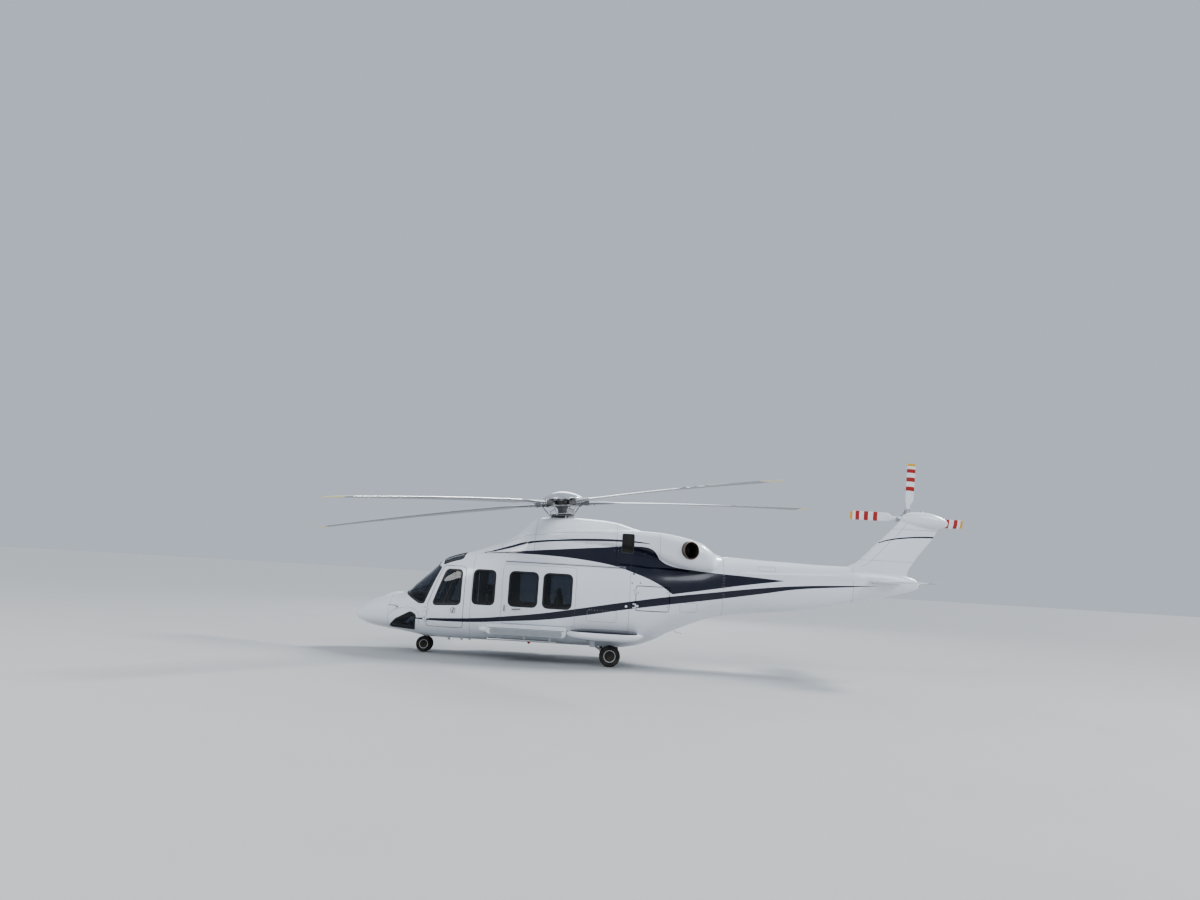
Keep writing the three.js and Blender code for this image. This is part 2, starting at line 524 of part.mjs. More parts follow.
// Turned profiles: radius and height from the hub's middle
const HUB_DISC = [[0, -80], [210, -80], [260, -40], [260, 40], [210, 80], [0, 80]];
const HUB_CAP = [[0, 60], [470, 60], [500, 85], [440, 150], [300, 215], [140, 262], [0, 275]];
const SWASHPLATE = [[100, -300], [300, -300], [320, -275], [300, -250], [100, -250], [100, -300]];
// Arm, pitch horn and pitch link of one blade
const ARM = { start: 150, radius: 66, endRadius: 50 };
const PITCH_HORN = { from: [470, 30, -40], to: [470, 110, -60], radius: 26 };
const PITCH_LINK = { from: [470, 110, -40], to: [300, 60, -275], radius: 15 };
const sleeve = bar([0, 0, HUB_SHAFT.bottom], [0, 0, 0], HUB_SHAFT.radius)
  .subtract(bar([0, 0, HUB_SHAFT.bottom - 20], [0, 0, HUB_SHAFT.top + SEAT_GAP], HUB_SHAFT.bore));
const arm = union(bar([ARM.start, 0, 0], [ROTOR.rootRadius - SEAT_GAP, 0, 0], ARM.radius, 10, ARM.endRadius),
  bar(PITCH_HORN.from, PITCH_HORN.to, PITCH_HORN.radius, 8),
  bar(PITCH_LINK.from, PITCH_LINK.to, PITCH_LINK.radius, 6));
const arms = azimuths.map((azimuth) => arm.rotate([0, 0, azimuth]));
const hub = union(onMast(HUB_DISC, 16), onMast(HUB_CAP, 20), sleeve, onMast(SWASHPLATE, 16), ...arms);
node("rotor_hub", upMast(hub), steel);

// Main blade: radius, chord, thickness, sweep, twist
const MAIN_BLADE = [[640, 120, 84, 0, 0], [1150, 150, 70, 0, 4], [1420, 370, 46, 0, 6], [3300, 370, 44, 0, 4],
  [5000, 370, 42, 0, 1], [6250, 370, 38, 0, -1], [6560, 300, 28, 40, -1], [6700, 190, 16, 95, -1]];
const droopAt = (radius) => -ROTOR.droop * ((radius - ROTOR.rootRadius) / (ROTOR.radius - ROTOR.rootRadius)) ** 1.6;
const blade = loft(MAIN_BLADE.map(([radius, chord, thick, sweep, twist]) => (
  bladeRing(radius, chord, thick, radius > ROTOR.rootRadius ? droopAt(radius) : 0, sweep, twist))));
azimuths.forEach((azimuth, index) => node(`main_blade_${index + 1}`, upMast(blade.rotate([0, 0, azimuth])), bladeGrey));

// Sponson sections: station, middle y, half width, middle height, half height
const SPONSON = [
  [4900, 1150, 60, 660, 30],
  [5000, 1135, 180, 663, 80],
  [5250, 1130, 330, 665, 115],
  [5600, 1140, 378, 665, 125],
  [6100, 1140, 378, 665, 125],
  [6300, 1130, 330, 665, 110],
  [6480, 1110, 200, 680, 65],
  [6560, 1100, 60, 690, 20],
];
function sponsonRing([x, middleY, halfY, middleZ, halfZ]) {
  const sides = 20;
  return Array.from({ length: sides }, (_, step) => {
    const angle = (2 * Math.PI * step) / sides;
    return [x, middleY + halfY * power(Math.cos(angle), 0.75), middleZ + halfZ * power(Math.sin(angle), 0.75)];
  });
}
const WELL = { x0: 5340, x1: 6160, y0: 880, y1: 1200, roof: 700 };
const well = box(WELL.x0, WELL.x1, WELL.y0, WELL.y1, 200, WELL.roof);
pair("sponson", mirrored(loft(SPONSON.map(sponsonRing)).subtract(well)), paintNavy, offBody);

// Main gear leg: trunnion block in the well, trailing arm inboard of the wheel, and axle
const TRUNNION = { half: 60, y0: 1055, y1: 1135, low: 400 };
const { pivotX, pivotZ, armY } = MAIN_GEAR;
const axleHeight = MAIN_GEAR.wheelRadius;
const mainLeg = union(
  box(pivotX - TRUNNION.half, pivotX + TRUNNION.half, TRUNNION.y0, TRUNNION.y1, TRUNNION.low, WELL.roof - SEAT_GAP),
  bar([pivotX, armY - MAIN_GEAR.armRadius, pivotZ], [pivotX, MAIN_GEAR.pivotEnd, pivotZ], MAIN_GEAR.pivotRadius),
  bar([pivotX, armY, pivotZ], [MAIN_GEAR.x, armY, axleHeight], MAIN_GEAR.armRadius),
  bar([MAIN_GEAR.x, armY - MAIN_GEAR.armRadius, axleHeight], [MAIN_GEAR.x, MAIN_GEAR.axleEnd, axleHeight],
    MAIN_GEAR.axleRadius, WHEEL_SIDES));
pair("main_leg", mirrored(mainLeg), steel);

// A wheel about the y axis: tyre with a round tread, dished rim and bore
function wheel(radius, width, bore) {
  const half = width / 2;
  return turned([[bore, -half * 0.5], [radius * 0.5, -half * 0.5], [radius * 0.58, -half * 0.85], [radius * 0.8, -half],
    [radius, -half * 0.5], [radius, half * 0.5], [radius * 0.8, half], [radius * 0.58, half * 0.85],
    [radius * 0.5, half * 0.5], [bore, half * 0.5], [bore, -half * 0.5]], WHEEL_SIDES);
}
const mainWheel = wheel(MAIN_GEAR.wheelRadius, MAIN_GEAR.wheelWidth, MAIN_GEAR.axleRadius + BORE_GAP);
pair("main_wheel", mirrored(moved(mainWheel, MAIN_GEAR.x, MAIN_GEAR.y, axleHeight)), rubber);

// Nose gear: one steered leg with two wheels on a shared axle
const noseZ = NOSE_GEAR.wheelRadius;
const noseTop = NOSE_GEAR.top - SEAT_GAP;
const acrossNose = (half, radius, sides) => bar([NOSE_GEAR.x, -half, noseZ], [NOSE_GEAR.x, half, noseZ], radius, sides);
const noseLeg = union(
  bar([NOSE_GEAR.x, 0, noseZ], [NOSE_GEAR.x, 0, noseTop], NOSE_GEAR.legRadius),
  bar([NOSE_GEAR.x, 0, NOSE_GEAR.collarLow], [NOSE_GEAR.x, 0, noseTop], NOSE_GEAR.collarRadius),
  acrossNose(NOSE_GEAR.hubHalf, NOSE_GEAR.hubRadius));
node("nose_leg", noseLeg.subtract(acrossNose(100, NOSE_GEAR.axleRadius + BORE_GAP, WHEEL_SIDES)), steel);
const noseWheel = moved(wheel(NOSE_GEAR.wheelRadius, NOSE_GEAR.wheelWidth, NOSE_GEAR.axleRadius - 4),
  NOSE_GEAR.x, NOSE_GEAR.wheelY, noseZ);
node("nose_wheels", bothSides(noseWheel).add(acrossNose(NOSE_GEAR.wheelY, NOSE_GEAR.axleRadius, WHEEL_SIDES)), rubber);

// Long fairing under each cabin door with a step board hung from it
const FAIRING = { x0: 3140, x1: 4890, z0: 550, z1: 790, r: 110, y0: 860, y1: 1240 };
const BOARD = { x0: 3200, x1: 4690, y0: 1100, y1: 1370, z0: 457, z1: 485 };
const BRACKET = { stations: [3400, 3960, 4520], length: 50, y0: 1130, y1: 1190, top: 600 };
const stepBrackets = BRACKET.stations.map((x) => (
  box(x, x + BRACKET.length, BRACKET.y0, BRACKET.y1, BOARD.z0 + 5, BRACKET.top)));
const board = box(BOARD.x0, BOARD.x1, BOARD.y0, BOARD.y1, BOARD.z0, BOARD.z1);
const fairing = sidePrism(roundedShape(FAIRING), FAIRING.y0, FAIRING.y1);
pair("step_fairing", mirrored(union(fairing, board, ...stepBrackets)), paintWhite, offBody);

// Doors and their panes
const leafOf = (cut) => shell.intersect(cut);
pair("cabin_door", cabinDoorCut(0).subtract(doorWindowCut(0)), paintWhite, leafOf);
pair("crew_door", crewDoorCut(0).subtract(crewWindowCut(0)), paintWhite,
  (cut) => leafOf(cut).add(leafSide(CREW_HINGE, cut)));
pair("baggage_door", baggageCut(0), paintWhite, (cut) => leafOf(cut).add(leafSide(BAGGAGE_HINGE, cut)));
const panes = {
  windshield: screenCut(-SEAT_GAP),
  chin_window: chinCut(-SEAT_GAP),
  roof_window: roofCut(-SEAT_GAP),
  side_window: sideWindowCut(-SEAT_GAP),
  crew_door_glass: crewWindowCut(-SEAT_GAP),
  cabin_window_front: through(roundedShape(DOOR_WINDOWS[0], -SEAT_GAP)),
  cabin_window_rear: through(roundedShape(DOOR_WINDOWS[1], -SEAT_GAP)),
};
for (const [name, cut] of Object.entries(panes)) {
  pair(name, cut, glass, (solid) => paneSkin.intersect(solid));
}

// Inside: floor, instrument panel with its pedestal, seats
const FLOOR_FRONT = 2005;
const floorBox = box(FLOOR_FRONT, SPLIT.aft - SEAT_GAP, -1200, 1200, CABIN_FLOOR.under, CABIN_FLOOR.top);
node("cabin_floor", bodyLining.intersect(floorBox), trim);
const PANEL = { x0: 1380, x1: 1500, half: 560, z0: 900, z1: 1200 };
const PEDESTAL = { x0: 1420, x1: 1900, half: 130, z1: 930 };
node("instrument_panel", union(box(PANEL.x0, PANEL.x1, -PANEL.half, PANEL.half, PANEL.z0, PANEL.z1),
  box(PEDESTAL.x0, PEDESTAL.x1, -PEDESTAL.half, PEDESTAL.half, NOSE_BAY.top + NOSE_BAY.wall + SEAT_GAP, PEDESTAL.z1)), trim);
const SEAT = { depth: 460, top: 960, backLow: 900, backTop: 1620, backThick: 120, backOverlap: 60 };
function seat({ x, y, half, backward }) {
  const backX = backward ? x - SEAT.backOverlap : x + SEAT.depth - SEAT.backOverlap;
  return union(box(x, x + SEAT.depth, y - half, y + half, CABIN_FLOOR.top + SEAT_GAP, SEAT.top),
    box(backX, backX + SEAT.backThick, y - half, y + half, SEAT.backLow, SEAT.backTop));
}
const SEATS = {
  crew_seat_left: { x: 2080, y: -430, half: 240 },
  crew_seat_right: { x: 2080, y: 430, half: 240 },
  seat_row_1: { x: 3020, y: 0, half: 760, backward: true },
  seat_row_2: { x: 4180, y: 0, half: 760 },
  seat_row_3: { x: 5300, y: 0, half: 760 },
};
for (const [name, place] of Object.entries(SEATS)) {
  node(name, seat(place), leather);
}

// The origin is under the belly pad, below the mast
group.position.set(-ORIGIN_PAD.x, 0, -ORIGIN_PAD.under);

export default group;
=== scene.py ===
"""A twin-engined transport helicopter, parked on its wheels with its rotors still.

Lengths are metres. While it is laid out, x is the station aft of the nose tip, y is starboard
and z is the height above the ground. Each mesh is moved to the frame's origin as it is made.
"""

import json
import logging
import math
from dataclasses import dataclass
from enum import Enum
from functools import cache
from typing import Callable, Iterable, Sequence

import bmesh
import bpy
import numpy as np
from mathutils import Matrix, Vector

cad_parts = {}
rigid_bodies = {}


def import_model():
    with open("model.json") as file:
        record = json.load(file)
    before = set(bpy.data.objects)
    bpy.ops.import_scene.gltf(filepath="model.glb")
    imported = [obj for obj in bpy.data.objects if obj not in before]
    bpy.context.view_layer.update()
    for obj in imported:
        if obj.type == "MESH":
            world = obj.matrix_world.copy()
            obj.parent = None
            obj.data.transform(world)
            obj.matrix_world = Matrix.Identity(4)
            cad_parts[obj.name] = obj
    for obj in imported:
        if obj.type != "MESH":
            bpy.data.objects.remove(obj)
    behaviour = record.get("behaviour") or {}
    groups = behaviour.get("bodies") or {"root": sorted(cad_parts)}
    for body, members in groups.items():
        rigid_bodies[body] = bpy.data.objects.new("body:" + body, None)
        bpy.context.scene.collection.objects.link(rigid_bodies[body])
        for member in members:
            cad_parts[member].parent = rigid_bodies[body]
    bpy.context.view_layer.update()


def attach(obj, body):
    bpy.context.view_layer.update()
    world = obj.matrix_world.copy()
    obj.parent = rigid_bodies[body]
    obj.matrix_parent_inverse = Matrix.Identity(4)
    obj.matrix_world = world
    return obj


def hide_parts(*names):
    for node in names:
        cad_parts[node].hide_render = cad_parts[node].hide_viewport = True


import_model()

LOG = logging.getLogger("helicopter")

Point = Sequence[float]
Outline = list[tuple[float, float]]

# Where the frame's origin, the middle of the belly pad, is in the layout
ORIGIN = Vector((4.700, 0.0, 0.318))
X_AXIS, Y_AXIS, Z_AXIS = (1, 0, 0), (0, 1, 0), (0, 0, 1)
# Thickness of the body's wall
WALL = 0.040
# Stations where each shell meets the next, and where the tail cone ends
SPLIT = {"nose": 0.880, "cabin": 2.760, "aft": 6.220, "boom": 8.350, "cowl": 5.880, "end": 12.950}


class Side(Enum):
    """Which side of the helicopter a piece is on, with the sign of its y."""

    LEFT = -1
    RIGHT = 1

    @property
    def label(self) -> str:
        """The word that the piece's name ends in."""
        return self.name.lower()


class Track:
    """A smooth curve through known points that never overshoots them."""

    def __init__(self, xs: Sequence[float], ys: Sequence[float]) -> None:
        """Works out the slope at each known point.

        Args:
            xs: Where the curve is known, rising.
            ys: Its value there.
        """
        self.xs = np.asarray(xs, float)
        self.ys = np.asarray(ys, float)
        rise = np.diff(self.ys) / np.diff(self.xs)
        self.slopes = np.zeros(len(self.xs))
        for index in range(1, len(rise)):
            before, after = rise[index - 1], rise[index]
            if before * after > 0:
                self.slopes[index] = 2 * before * after / (before + after)
        self.slopes[0], self.slopes[-1] = rise[0], rise[-1]

    def __call__(self, x: float | np.ndarray) -> np.ndarray:
        """Value of the curve at x, held level past its ends.

        Args:
            x: Where the value is wanted.

        Returns:
            The value there.
        """
        x = np.clip(np.asarray(x, float), self.xs[0], self.xs[-1])
        index = np.clip(np.searchsorted(self.xs, x, side="right") - 1, 0, len(self.xs) - 2)
        width = self.xs[index + 1] - self.xs[index]
        t = (x - self.xs[index]) / width
        low, high = self.ys[index], self.ys[index + 1]
        slope_low, slope_high = self.slopes[index] * width, self.slopes[index + 1] * width
        return (low * (2 * t**3 - 3 * t**2 + 1) + slope_low * (t**3 - 2 * t**2 + t)
                + high * (3 * t**2 - 2 * t**3) + slope_high * (t**3 - t**2))


def signed_power(value: np.ndarray, exponent: np.ndarray | float) -> np.ndarray:
    """Raises the size of each value to a power and keeps its sign."""
    return np.sign(value) * np.abs(value) ** exponent


class Surface:
    """A smooth skin given by a function that is 0 on it and positive outside."""

    STEP = 0.0015

    def outside(self, points: np.ndarray) -> np.ndarray:
        """How far outside the skin each point is, in any steady unit."""
        raise NotImplementedError

    def normals(self, points: np.ndarray) -> np.ndarray:
        """Outward directions of the skin at points on it or near it.

        Args:
            points: Rows of x, y and z.

        Returns:
            One unit direction for each row.
        """
        slopes = []
        for axis in range(3):
            shift = np.zeros(3)
            shift[axis] = self.STEP
            slopes.append(self.outside(points + shift) - self.outside(points - shift))
        direction = np.stack(slopes, axis=1)
        length = np.linalg.norm(direction, axis=1, keepdims=True)
        return direction / np.maximum(length, 1e-12)

    def facing(self, point: Point) -> Vector:
        """Outward direction of the skin at one point."""
        return Vector(self.normals(np.array([tuple(point)]))[0])

    def lifted(self, place: Point, proud: float) -> Vector:
        """A point of the skin, moved off it outwards."""
        point = np.array([place])
        return Vector(point[0] + proud * self.normals(point)[0])


class Hull(Surface):
    """The fuselage from nose tip to tail cone, by sections that are rounded boxes."""

    # station, keel, crown, half width, height of the widest point, roundness below and above it
    SECTIONS = (
        (0.000, 0.782, 0.788, 0.003, 0.785, 2.0, 2.0),
        (0.060, 0.672, 0.900, 0.170, 0.785, 2.0, 2.0),
        (0.160, 0.620, 0.975, 0.265, 0.785, 2.1, 2.1),
        (0.300, 0.566, 1.075, 0.375, 0.790, 2.2, 2.2),
        (0.550, 0.512, 1.180, 0.530, 0.800, 2.3, 2.2),
        (0.850, 0.478, 1.268, 0.680, 0.820, 2.4, 2.2),
        (1.140, 0.448, 1.325, 0.795, 0.860, 2.6, 2.3),
        (1.420, 0.412, 1.590, 0.890, 0.940, 2.8, 2.4),
        (1.700, 0.372, 1.850, 0.970, 1.040, 3.0, 2.5),
        (2.000, 0.358, 2.130, 1.035, 1.150, 3.2, 2.7),
        (2.400, 0.358, 2.275, 1.095, 1.270, 3.3, 2.9),
        (2.900, 0.362, 2.370, 1.128, 1.350, 3.4, 3.1),
        (3.600, 0.366, 2.410, 1.130, 1.380, 3.5, 3.3),
        (6.000, 0.368, 2.410, 1.130, 1.380, 3.5, 3.3),
        (6.350, 0.412, 2.405, 1.095, 1.430, 3.2, 3.1),
        (6.750, 0.540, 2.400, 1.010, 1.500, 3.0, 2.8),
        (7.200, 0.770, 2.395, 0.875, 1.590, 2.8, 2.6),
        (7.650, 0.960, 2.400, 0.725, 1.690, 2.6, 2.5),
        (8.050, 1.110, 2.450, 0.585, 1.780, 2.4, 2.4),
        (8.500, 1.205, 2.540, 0.470, 1.860, 2.3, 2.3),
        (9.300, 1.305, 2.510, 0.390, 1.940, 2.2, 2.2),
        (10.000, 1.385, 2.495, 0.340, 1.980, 2.2, 2.2),
        (10.700, 1.502, 2.480, 0.292, 2.030, 2.2, 2.2),
        (11.350, 1.645, 2.480, 0.248, 2.090, 2.2, 2.2),
        (11.950, 1.785, 2.440, 0.205, 2.130, 2.2, 2.2),
        (12.450, 1.915, 2.380, 0.160, 2.160, 2.1, 2.1),
        (12.800, 2.010, 2.290, 0.100, 2.155, 2.0, 2.0),
        (12.940, 2.090, 2.190, 0.035, 2.140, 2.0, 2.0),
        (12.952, 2.136, 2.144, 0.004, 2.140, 2.0, 2.0),
    )
    AROUND = 112
    # The share of a section's reach past which its skin is too steep to look up
    RIM = 0.9995

    def __init__(self) -> None:
        """Makes one smooth track for each column of the sections."""
        columns = list(zip(*self.SECTIONS))
        roots = np.sqrt(columns[0])
        self.keel, self.crown, self.half, self.middle, self.low, self.high = (
            Track(roots, column) for column in columns[1:])

    def shape_at(self, station: np.ndarray) -> tuple[np.ndarray, ...]:
        """Keel, crown, half width, middle height and the two roundnesses at each station.

        Args:
            station: The stations.

        Returns:
            One array for each of the six.
        """
        root = np.sqrt(np.maximum(station, 0.0))
        return tuple(track(root) for track in
                     (self.keel, self.crown, self.half, self.middle, self.low, self.high))

    def numbers_at(self, station: float) -> Iterable[float]:
        """The same six values at one station, as plain numbers."""
        return (float(values[0]) for values in self.shape_at(np.array([station])))

    def ring(self, station: float, inset: float = 0.0) -> np.ndarray:
        """Points around one section, from starboard up and round, moved in by the inset.

        Args:
            station: Distance aft of the nose tip.
            inset: How far inside the skin.

        Returns:
            The points, in layout coordinates.
        """
        keel, crown, half, middle, low, high = self.shape_at(np.array([station]))
        angle = np.linspace(0, 2 * math.pi, self.AROUND, endpoint=False)
        under = np.sin(angle) < 0
        roundness = np.where(under, low, high)
        reach = np.maximum(np.where(under, middle - keel, crown - middle) - inset, 0.002)
        width = np.maximum(half - inset, 0.002)
        return np.stack([np.full_like(angle, station), width * signed_power(np.cos(angle), 2 / roundness),
                         middle + reach * signed_power(np.sin(angle), 2 / roundness)], axis=1)

    def outside(self, points: np.ndarray) -> np.ndarray:
        """Power sum of the section at each point, less 1.

        Args:
            points: Rows of x, y and z.

        Returns:
            One value for each row, 0 on the skin.
        """
        keel, crown, half, middle, low, high = self.shape_at(points[:, 0])
        under = points[:, 2] < middle
        roundness = np.where(under, low, high)
        reach = np.maximum(np.where(under, middle - keel, crown - middle), 1e-4)
        across = np.abs(points[:, 1]) / np.maximum(half, 1e-4)
        upright = np.abs(points[:, 2] - middle) / reach
        return (across**roundness + upright**roundness) ** (1 / roundness) - 1

    def side(self, station: float, height: float, side: int = -1, proud: float = 0.0) -> Vector:
        """The point of the skin at a station and height.

        Args:
            station: Distance aft of the nose tip.
            height: Height above the ground.
            side: -1 for port and 1 for starboard.
            proud: How far off the skin, outwards, the point lies.

        Returns:
            The point, in layout coordinates.
        """
        keel, crown, half, middle, low, high = self.numbers_at(station)
        roundness, reach = (low, middle - keel) if height < middle else (high, crown - middle)
        share = min(abs(height - middle) / reach, self.RIM)
        return self.lifted((station, side * half * (1 - share**roundness) ** (1 / roundness), height), proud)

    def top(self, station: float, across: float, proud: float = 0.0) -> Vector:
        """The point of the upper skin at a station and a distance across."""
        return self.over(station, across, 1, proud)

    def belly(self, station: float, across: float, proud: float = 0.0) -> Vector:
        """The point of the lower skin at a station and a distance across."""
        return self.over(station, across, -1, proud)

    def over(self, station: float, across: float, way: int, proud: float) -> Vector:
        """The point of the skin straight above or below the widest line's level.

        Args:
            station: Distance aft of the nose tip.
            across: The place's distance from the middle, to starboard.
            way: 1 for above and -1 for below.
            proud: How far off the skin, outwards.

        Returns:
            The point, in layout coordinates.
        """
        keel, crown, half, middle, low, high = self.numbers_at(station)
        roundness, reach = (high, crown - middle) if way > 0 else (low, middle - keel)
        share = min(abs(across) / half, self.RIM)
        height = middle + way * reach * (1 - share**roundness) ** (1 / roundness)
        return self.lifted((station, across, height), proud)


class Cowl(Surface):
    """The cowlings over the roof, with an engine nacelle swelling out of each side."""

    # station, crown height, half width at the base, roundness
    SECTIONS = (
        (2.600, 2.330, 0.300, 2.2),
        (2.900, 2.440, 0.520, 2.3),
        (3.250, 2.570, 0.660, 2.3),
        (3.560, 2.760, 0.760, 2.3),
        (3.760, 2.935, 0.810, 2.3),
        (3.930, 3.125, 0.850, 2.2),
        (4.130, 3.200, 0.880, 2.1),
        (4.700, 3.240, 0.890, 2.1),
        (5.400, 3.225, 0.900, 2.1),
        (5.850, 3.180, 0.900, 2.2),
        (6.300, 3.060, 0.870, 2.3),
        (6.900, 2.920, 0.800, 2.4),
        (7.500, 2.850, 0.680, 2.4),
        (7.900, 2.720, 0.560, 2.3),
        (8.150, 2.610, 0.440, 2.2),
        (8.330, 2.550, 0.330, 2.1),
    )
    # station, lowest, highest, distance out, half width
    NACELLE = (
        (4.250, 2.740, 2.800, 0.690, 0.030),
        (4.600, 2.680, 2.890, 0.690, 0.140),
        (5.200, 2.620, 2.950, 0.660, 0.240),
        (5.900, 2.550, 2.980, 0.600, 0.330),
        (6.300, 2.500, 2.990, 0.570, 0.360),
        (6.800, 2.360, 2.980, 0.560, 0.380),
        (7.100, 2.250, 2.950, 0.560, 0.385),
        (7.400, 2.190, 2.900, 0.560, 0.370),
        (7.800, 2.160, 2.800, 0.500, 0.320),
        (8.050, 2.170, 2.640, 0.420, 0.240),
        (8.150, 2.200, 2.560, 0.360, 0.150),
    )
    BASE = 2.200
    BLEND = 0.050
    SWEEP = 100
    NACELLE_ROUND = 2.5

    def __init__(self) -> None:
        """Makes one smooth track for each column of both tables."""
        columns = list(zip(*self.SECTIONS))
        self.crown, self.half, self.round = (Track(columns[0], column) for column in columns[1:])
        columns = list(zip(*self.NACELLE))
        self.nacelle = [Track(columns[0], column) for column in columns[1:]]

    def reach(self, station: np.ndarray, angle: np.ndarray) -> np.ndarray:
        """Distance of the skin from the roof's middle line, along a direction up from port or starboard.

        Args:
            station: Each station.
            angle: Each direction, in radians.

        Returns:
            The distances.
        """
        across, upright = np.abs(np.cos(angle)), np.sin(angle)
        height = self.crown(station) - self.BASE
        roundness = self.round(station)
        flat = (across / self.half(station)) ** roundness
        tall = (np.maximum(upright, 0.0) / height) ** roundness
        cowl = (flat + tall) ** (-1 / roundness)
        low, high, out, half = (track(station) for track in self.nacelle)
        middle, tall = (low + high) / 2, (high - low) / 2

        def inside(distance: np.ndarray) -> np.ndarray:
            """Whether the point at a distance along each direction is in the nacelle's rounded box.

            Args:
                distance: The distances.

            Returns:
                True where it is.
            """
            sideways = np.abs(distance * across - out) / half
            upwards = np.abs(distance * upright + self.BASE - middle) / tall
            return sideways**self.NACELLE_ROUND + upwards**self.NACELLE_ROUND < 1

        # The far side of the box, first by steps outwards and then by halving the last step
        steps = np.linspace(0.02, 1.35, 134)[:, None]
        within = inside(steps)
        hit = within.any(axis=0) & (station > self.NACELLE[0][0]) & (station < self.NACELLE[-1][0])
        near = steps[len(steps) - 1 - np.argmax(within[::-1], axis=0), 0]
        past = near + (steps[1, 0] - steps[0, 0])
        for _ in range(12):
            half_way = (near + past) / 2
            still = inside(half_way)
            near, past = np.where(still, half_way, near), np.where(still, past, half_way)
        far = np.where(hit, near, 0.0)
        gap = np.clip(0.5 + 0.5 * (far - cowl) / self.BLEND, 0, 1)
        return cowl + (far - cowl) * gap + self.BLEND * gap * (1 - gap)

    def ring(self, station: float, inset: float = 0.0) -> np.ndarray:
        """Points over one section from starboard to port, ending a little below the base.

        Args:
            station: Distance aft of the nose tip.
            inset: How far inside the skin.

        Returns:
            The points, in layout coordinates.
        """
        angle = np.linspace(0, math.pi, self.SWEEP + 1)
        reach = self.reach(np.full_like(angle, station), angle) - inset
        return np.stack([np.full_like(angle, station), reach * np.cos(angle),
                         self.BASE + reach * np.sin(angle)], axis=1)

    def outside(self, points: np.ndarray) -> np.ndarray:
        """How much further from the roof's middle line than the skin each point is.

        Args:
            points: Rows of x, y and z.

        Returns:
            One value for each row, 0 on the skin.
        """
        upright = points[:, 2] - self.BASE
        distance = np.hypot(points[:, 1], upright)
        return distance - self.reach(points[:, 0], np.arctan2(upright, points[:, 1]))

    def side(self, station: float, angle: float, side: int = -1, proud: float = 0.0) -> Vector:
        """The point of the skin at a station and an angle up from the horizon, in degrees.

        Args:
            station: Distance aft of the nose tip.
            angle: The angle.
            side: -1 for port and 1 for starboard.
            proud: How far off the skin, outwards.

        Returns:
            The point, in layout coordinates.
        """
        turn = math.radians(angle)
        reach = float(self.reach(np.array([station]), np.array([turn]))[0])
        return self.lifted((station, side * reach * math.cos(turn), self.BASE + reach * math.sin(turn)),
                           proud)


HULL = Hull()
COWL = Cowl()


def rounded(points: Outline, radius: float | Sequence[float], steps: int = 6) -> Outline:
    """Rounds the corners of a closed outline.

    Args:
        points: The corners in order.
        radius: One corner radius, or one for each corner.
        steps: Points along each corner.

    Returns:
        The outline with its corners as arcs of a curve.
    """
    radii = [radius] * len(points) if isinstance(radius, (int, float)) else radius
    result: Outline = []
    for index, corner in enumerate(points):
        here = Vector(corner)
        before, after = Vector(points[index - 1]), Vector(points[(index + 1) % len(points)])
        back, ahead = (before - here).normalized(), (after - here).normalized()
        half_turn = back.angle(ahead) / 2
        room = min((before - here).length, (after - here).length) * 0.49
        cut = min(radii[index] / math.tan(half_turn), room)
        start, end = here + back * cut, here + ahead * cut
        for step in range(steps + 1):
            t = step / steps
            point = start * (1 - t) ** 2 + here * 2 * t * (1 - t) + end * t**2
            result.append((point.x, point.y))
    return result


def circle(count: int) -> list[float]:
    """Angles at an even pitch round a full turn."""
    return [2 * math.pi * step / count for step in range(count)]


def rectangle(x0: float, x1: float, z0: float, z1: float) -> Outline:
    """Corners of an upright rectangle."""
    return [(x0, z0), (x1, z0), (x1, z1), (x0, z1)]


def grown(outline: Outline, distance: float) -> Outline:
    """Moves each point of a closed outline outwards by a distance, or inwards if it is negative.

    Args:
        outline: The closed outline.
        distance: How far each point moves outwards, or inwards if negative.

    Returns:
        The new outline.
    """
    count = len(outline)
    area = sum(outline[i - 1][0] * outline[i][1] - outline[i][0] * outline[i - 1][1] for i in range(count))
    turn = 1 if area > 0 else -1
    result: Outline = []
    for index in range(count):
        (x0, z0), (x1, z1) = outline[index - 1], outline[(index + 1) % count]
        run = Vector((x1 - x0, z1 - z0))
        normal = Vector((run.y, -run.x)).normalized() * turn * distance if run.length > 1e-9 else Vector((0,
                                                                                                          0))
        result.append((outline[index][0] + normal.x, outline[index][1] + normal.y))
    return result


def resampled(path: Sequence[Vector], pitch: float, closed: bool) -> list[Vector]:
    """Points at an even pitch along a path.

    Args:
        path: The points that it follows.
        pitch: About how far apart the results are.
        closed: Whether the last point joins the first.

    Returns:
        The new points.
    """
    points = [Vector(p) for p in path] + ([Vector(path[0])] if closed else [])
    lengths = np.concatenate([[0.0], np.cumsum([(b - a).length for a, b in zip(points, points[1:])])])
    count = max(int(round(lengths[-1] / pitch)), 2)
    marks = np.linspace(0, lengths[-1], count, endpoint=not closed)
    columns = [np.interp(marks, lengths, [p[axis] for p in points]) for axis in range(3)]
    return [Vector(values) for values in zip(*columns)]


def evenly(outline: Outline, pitch: float = 0.02) -> Outline:
    """The same closed outline with its points at an even pitch, so that it can be laid on a curved skin."""
    return [(point.x, point.y) for point in resampled([Vector((x, z, 0)) for x, z in outline], pitch, True)]


# Half width of the post between the windscreens
SCREEN_POST = 0.045

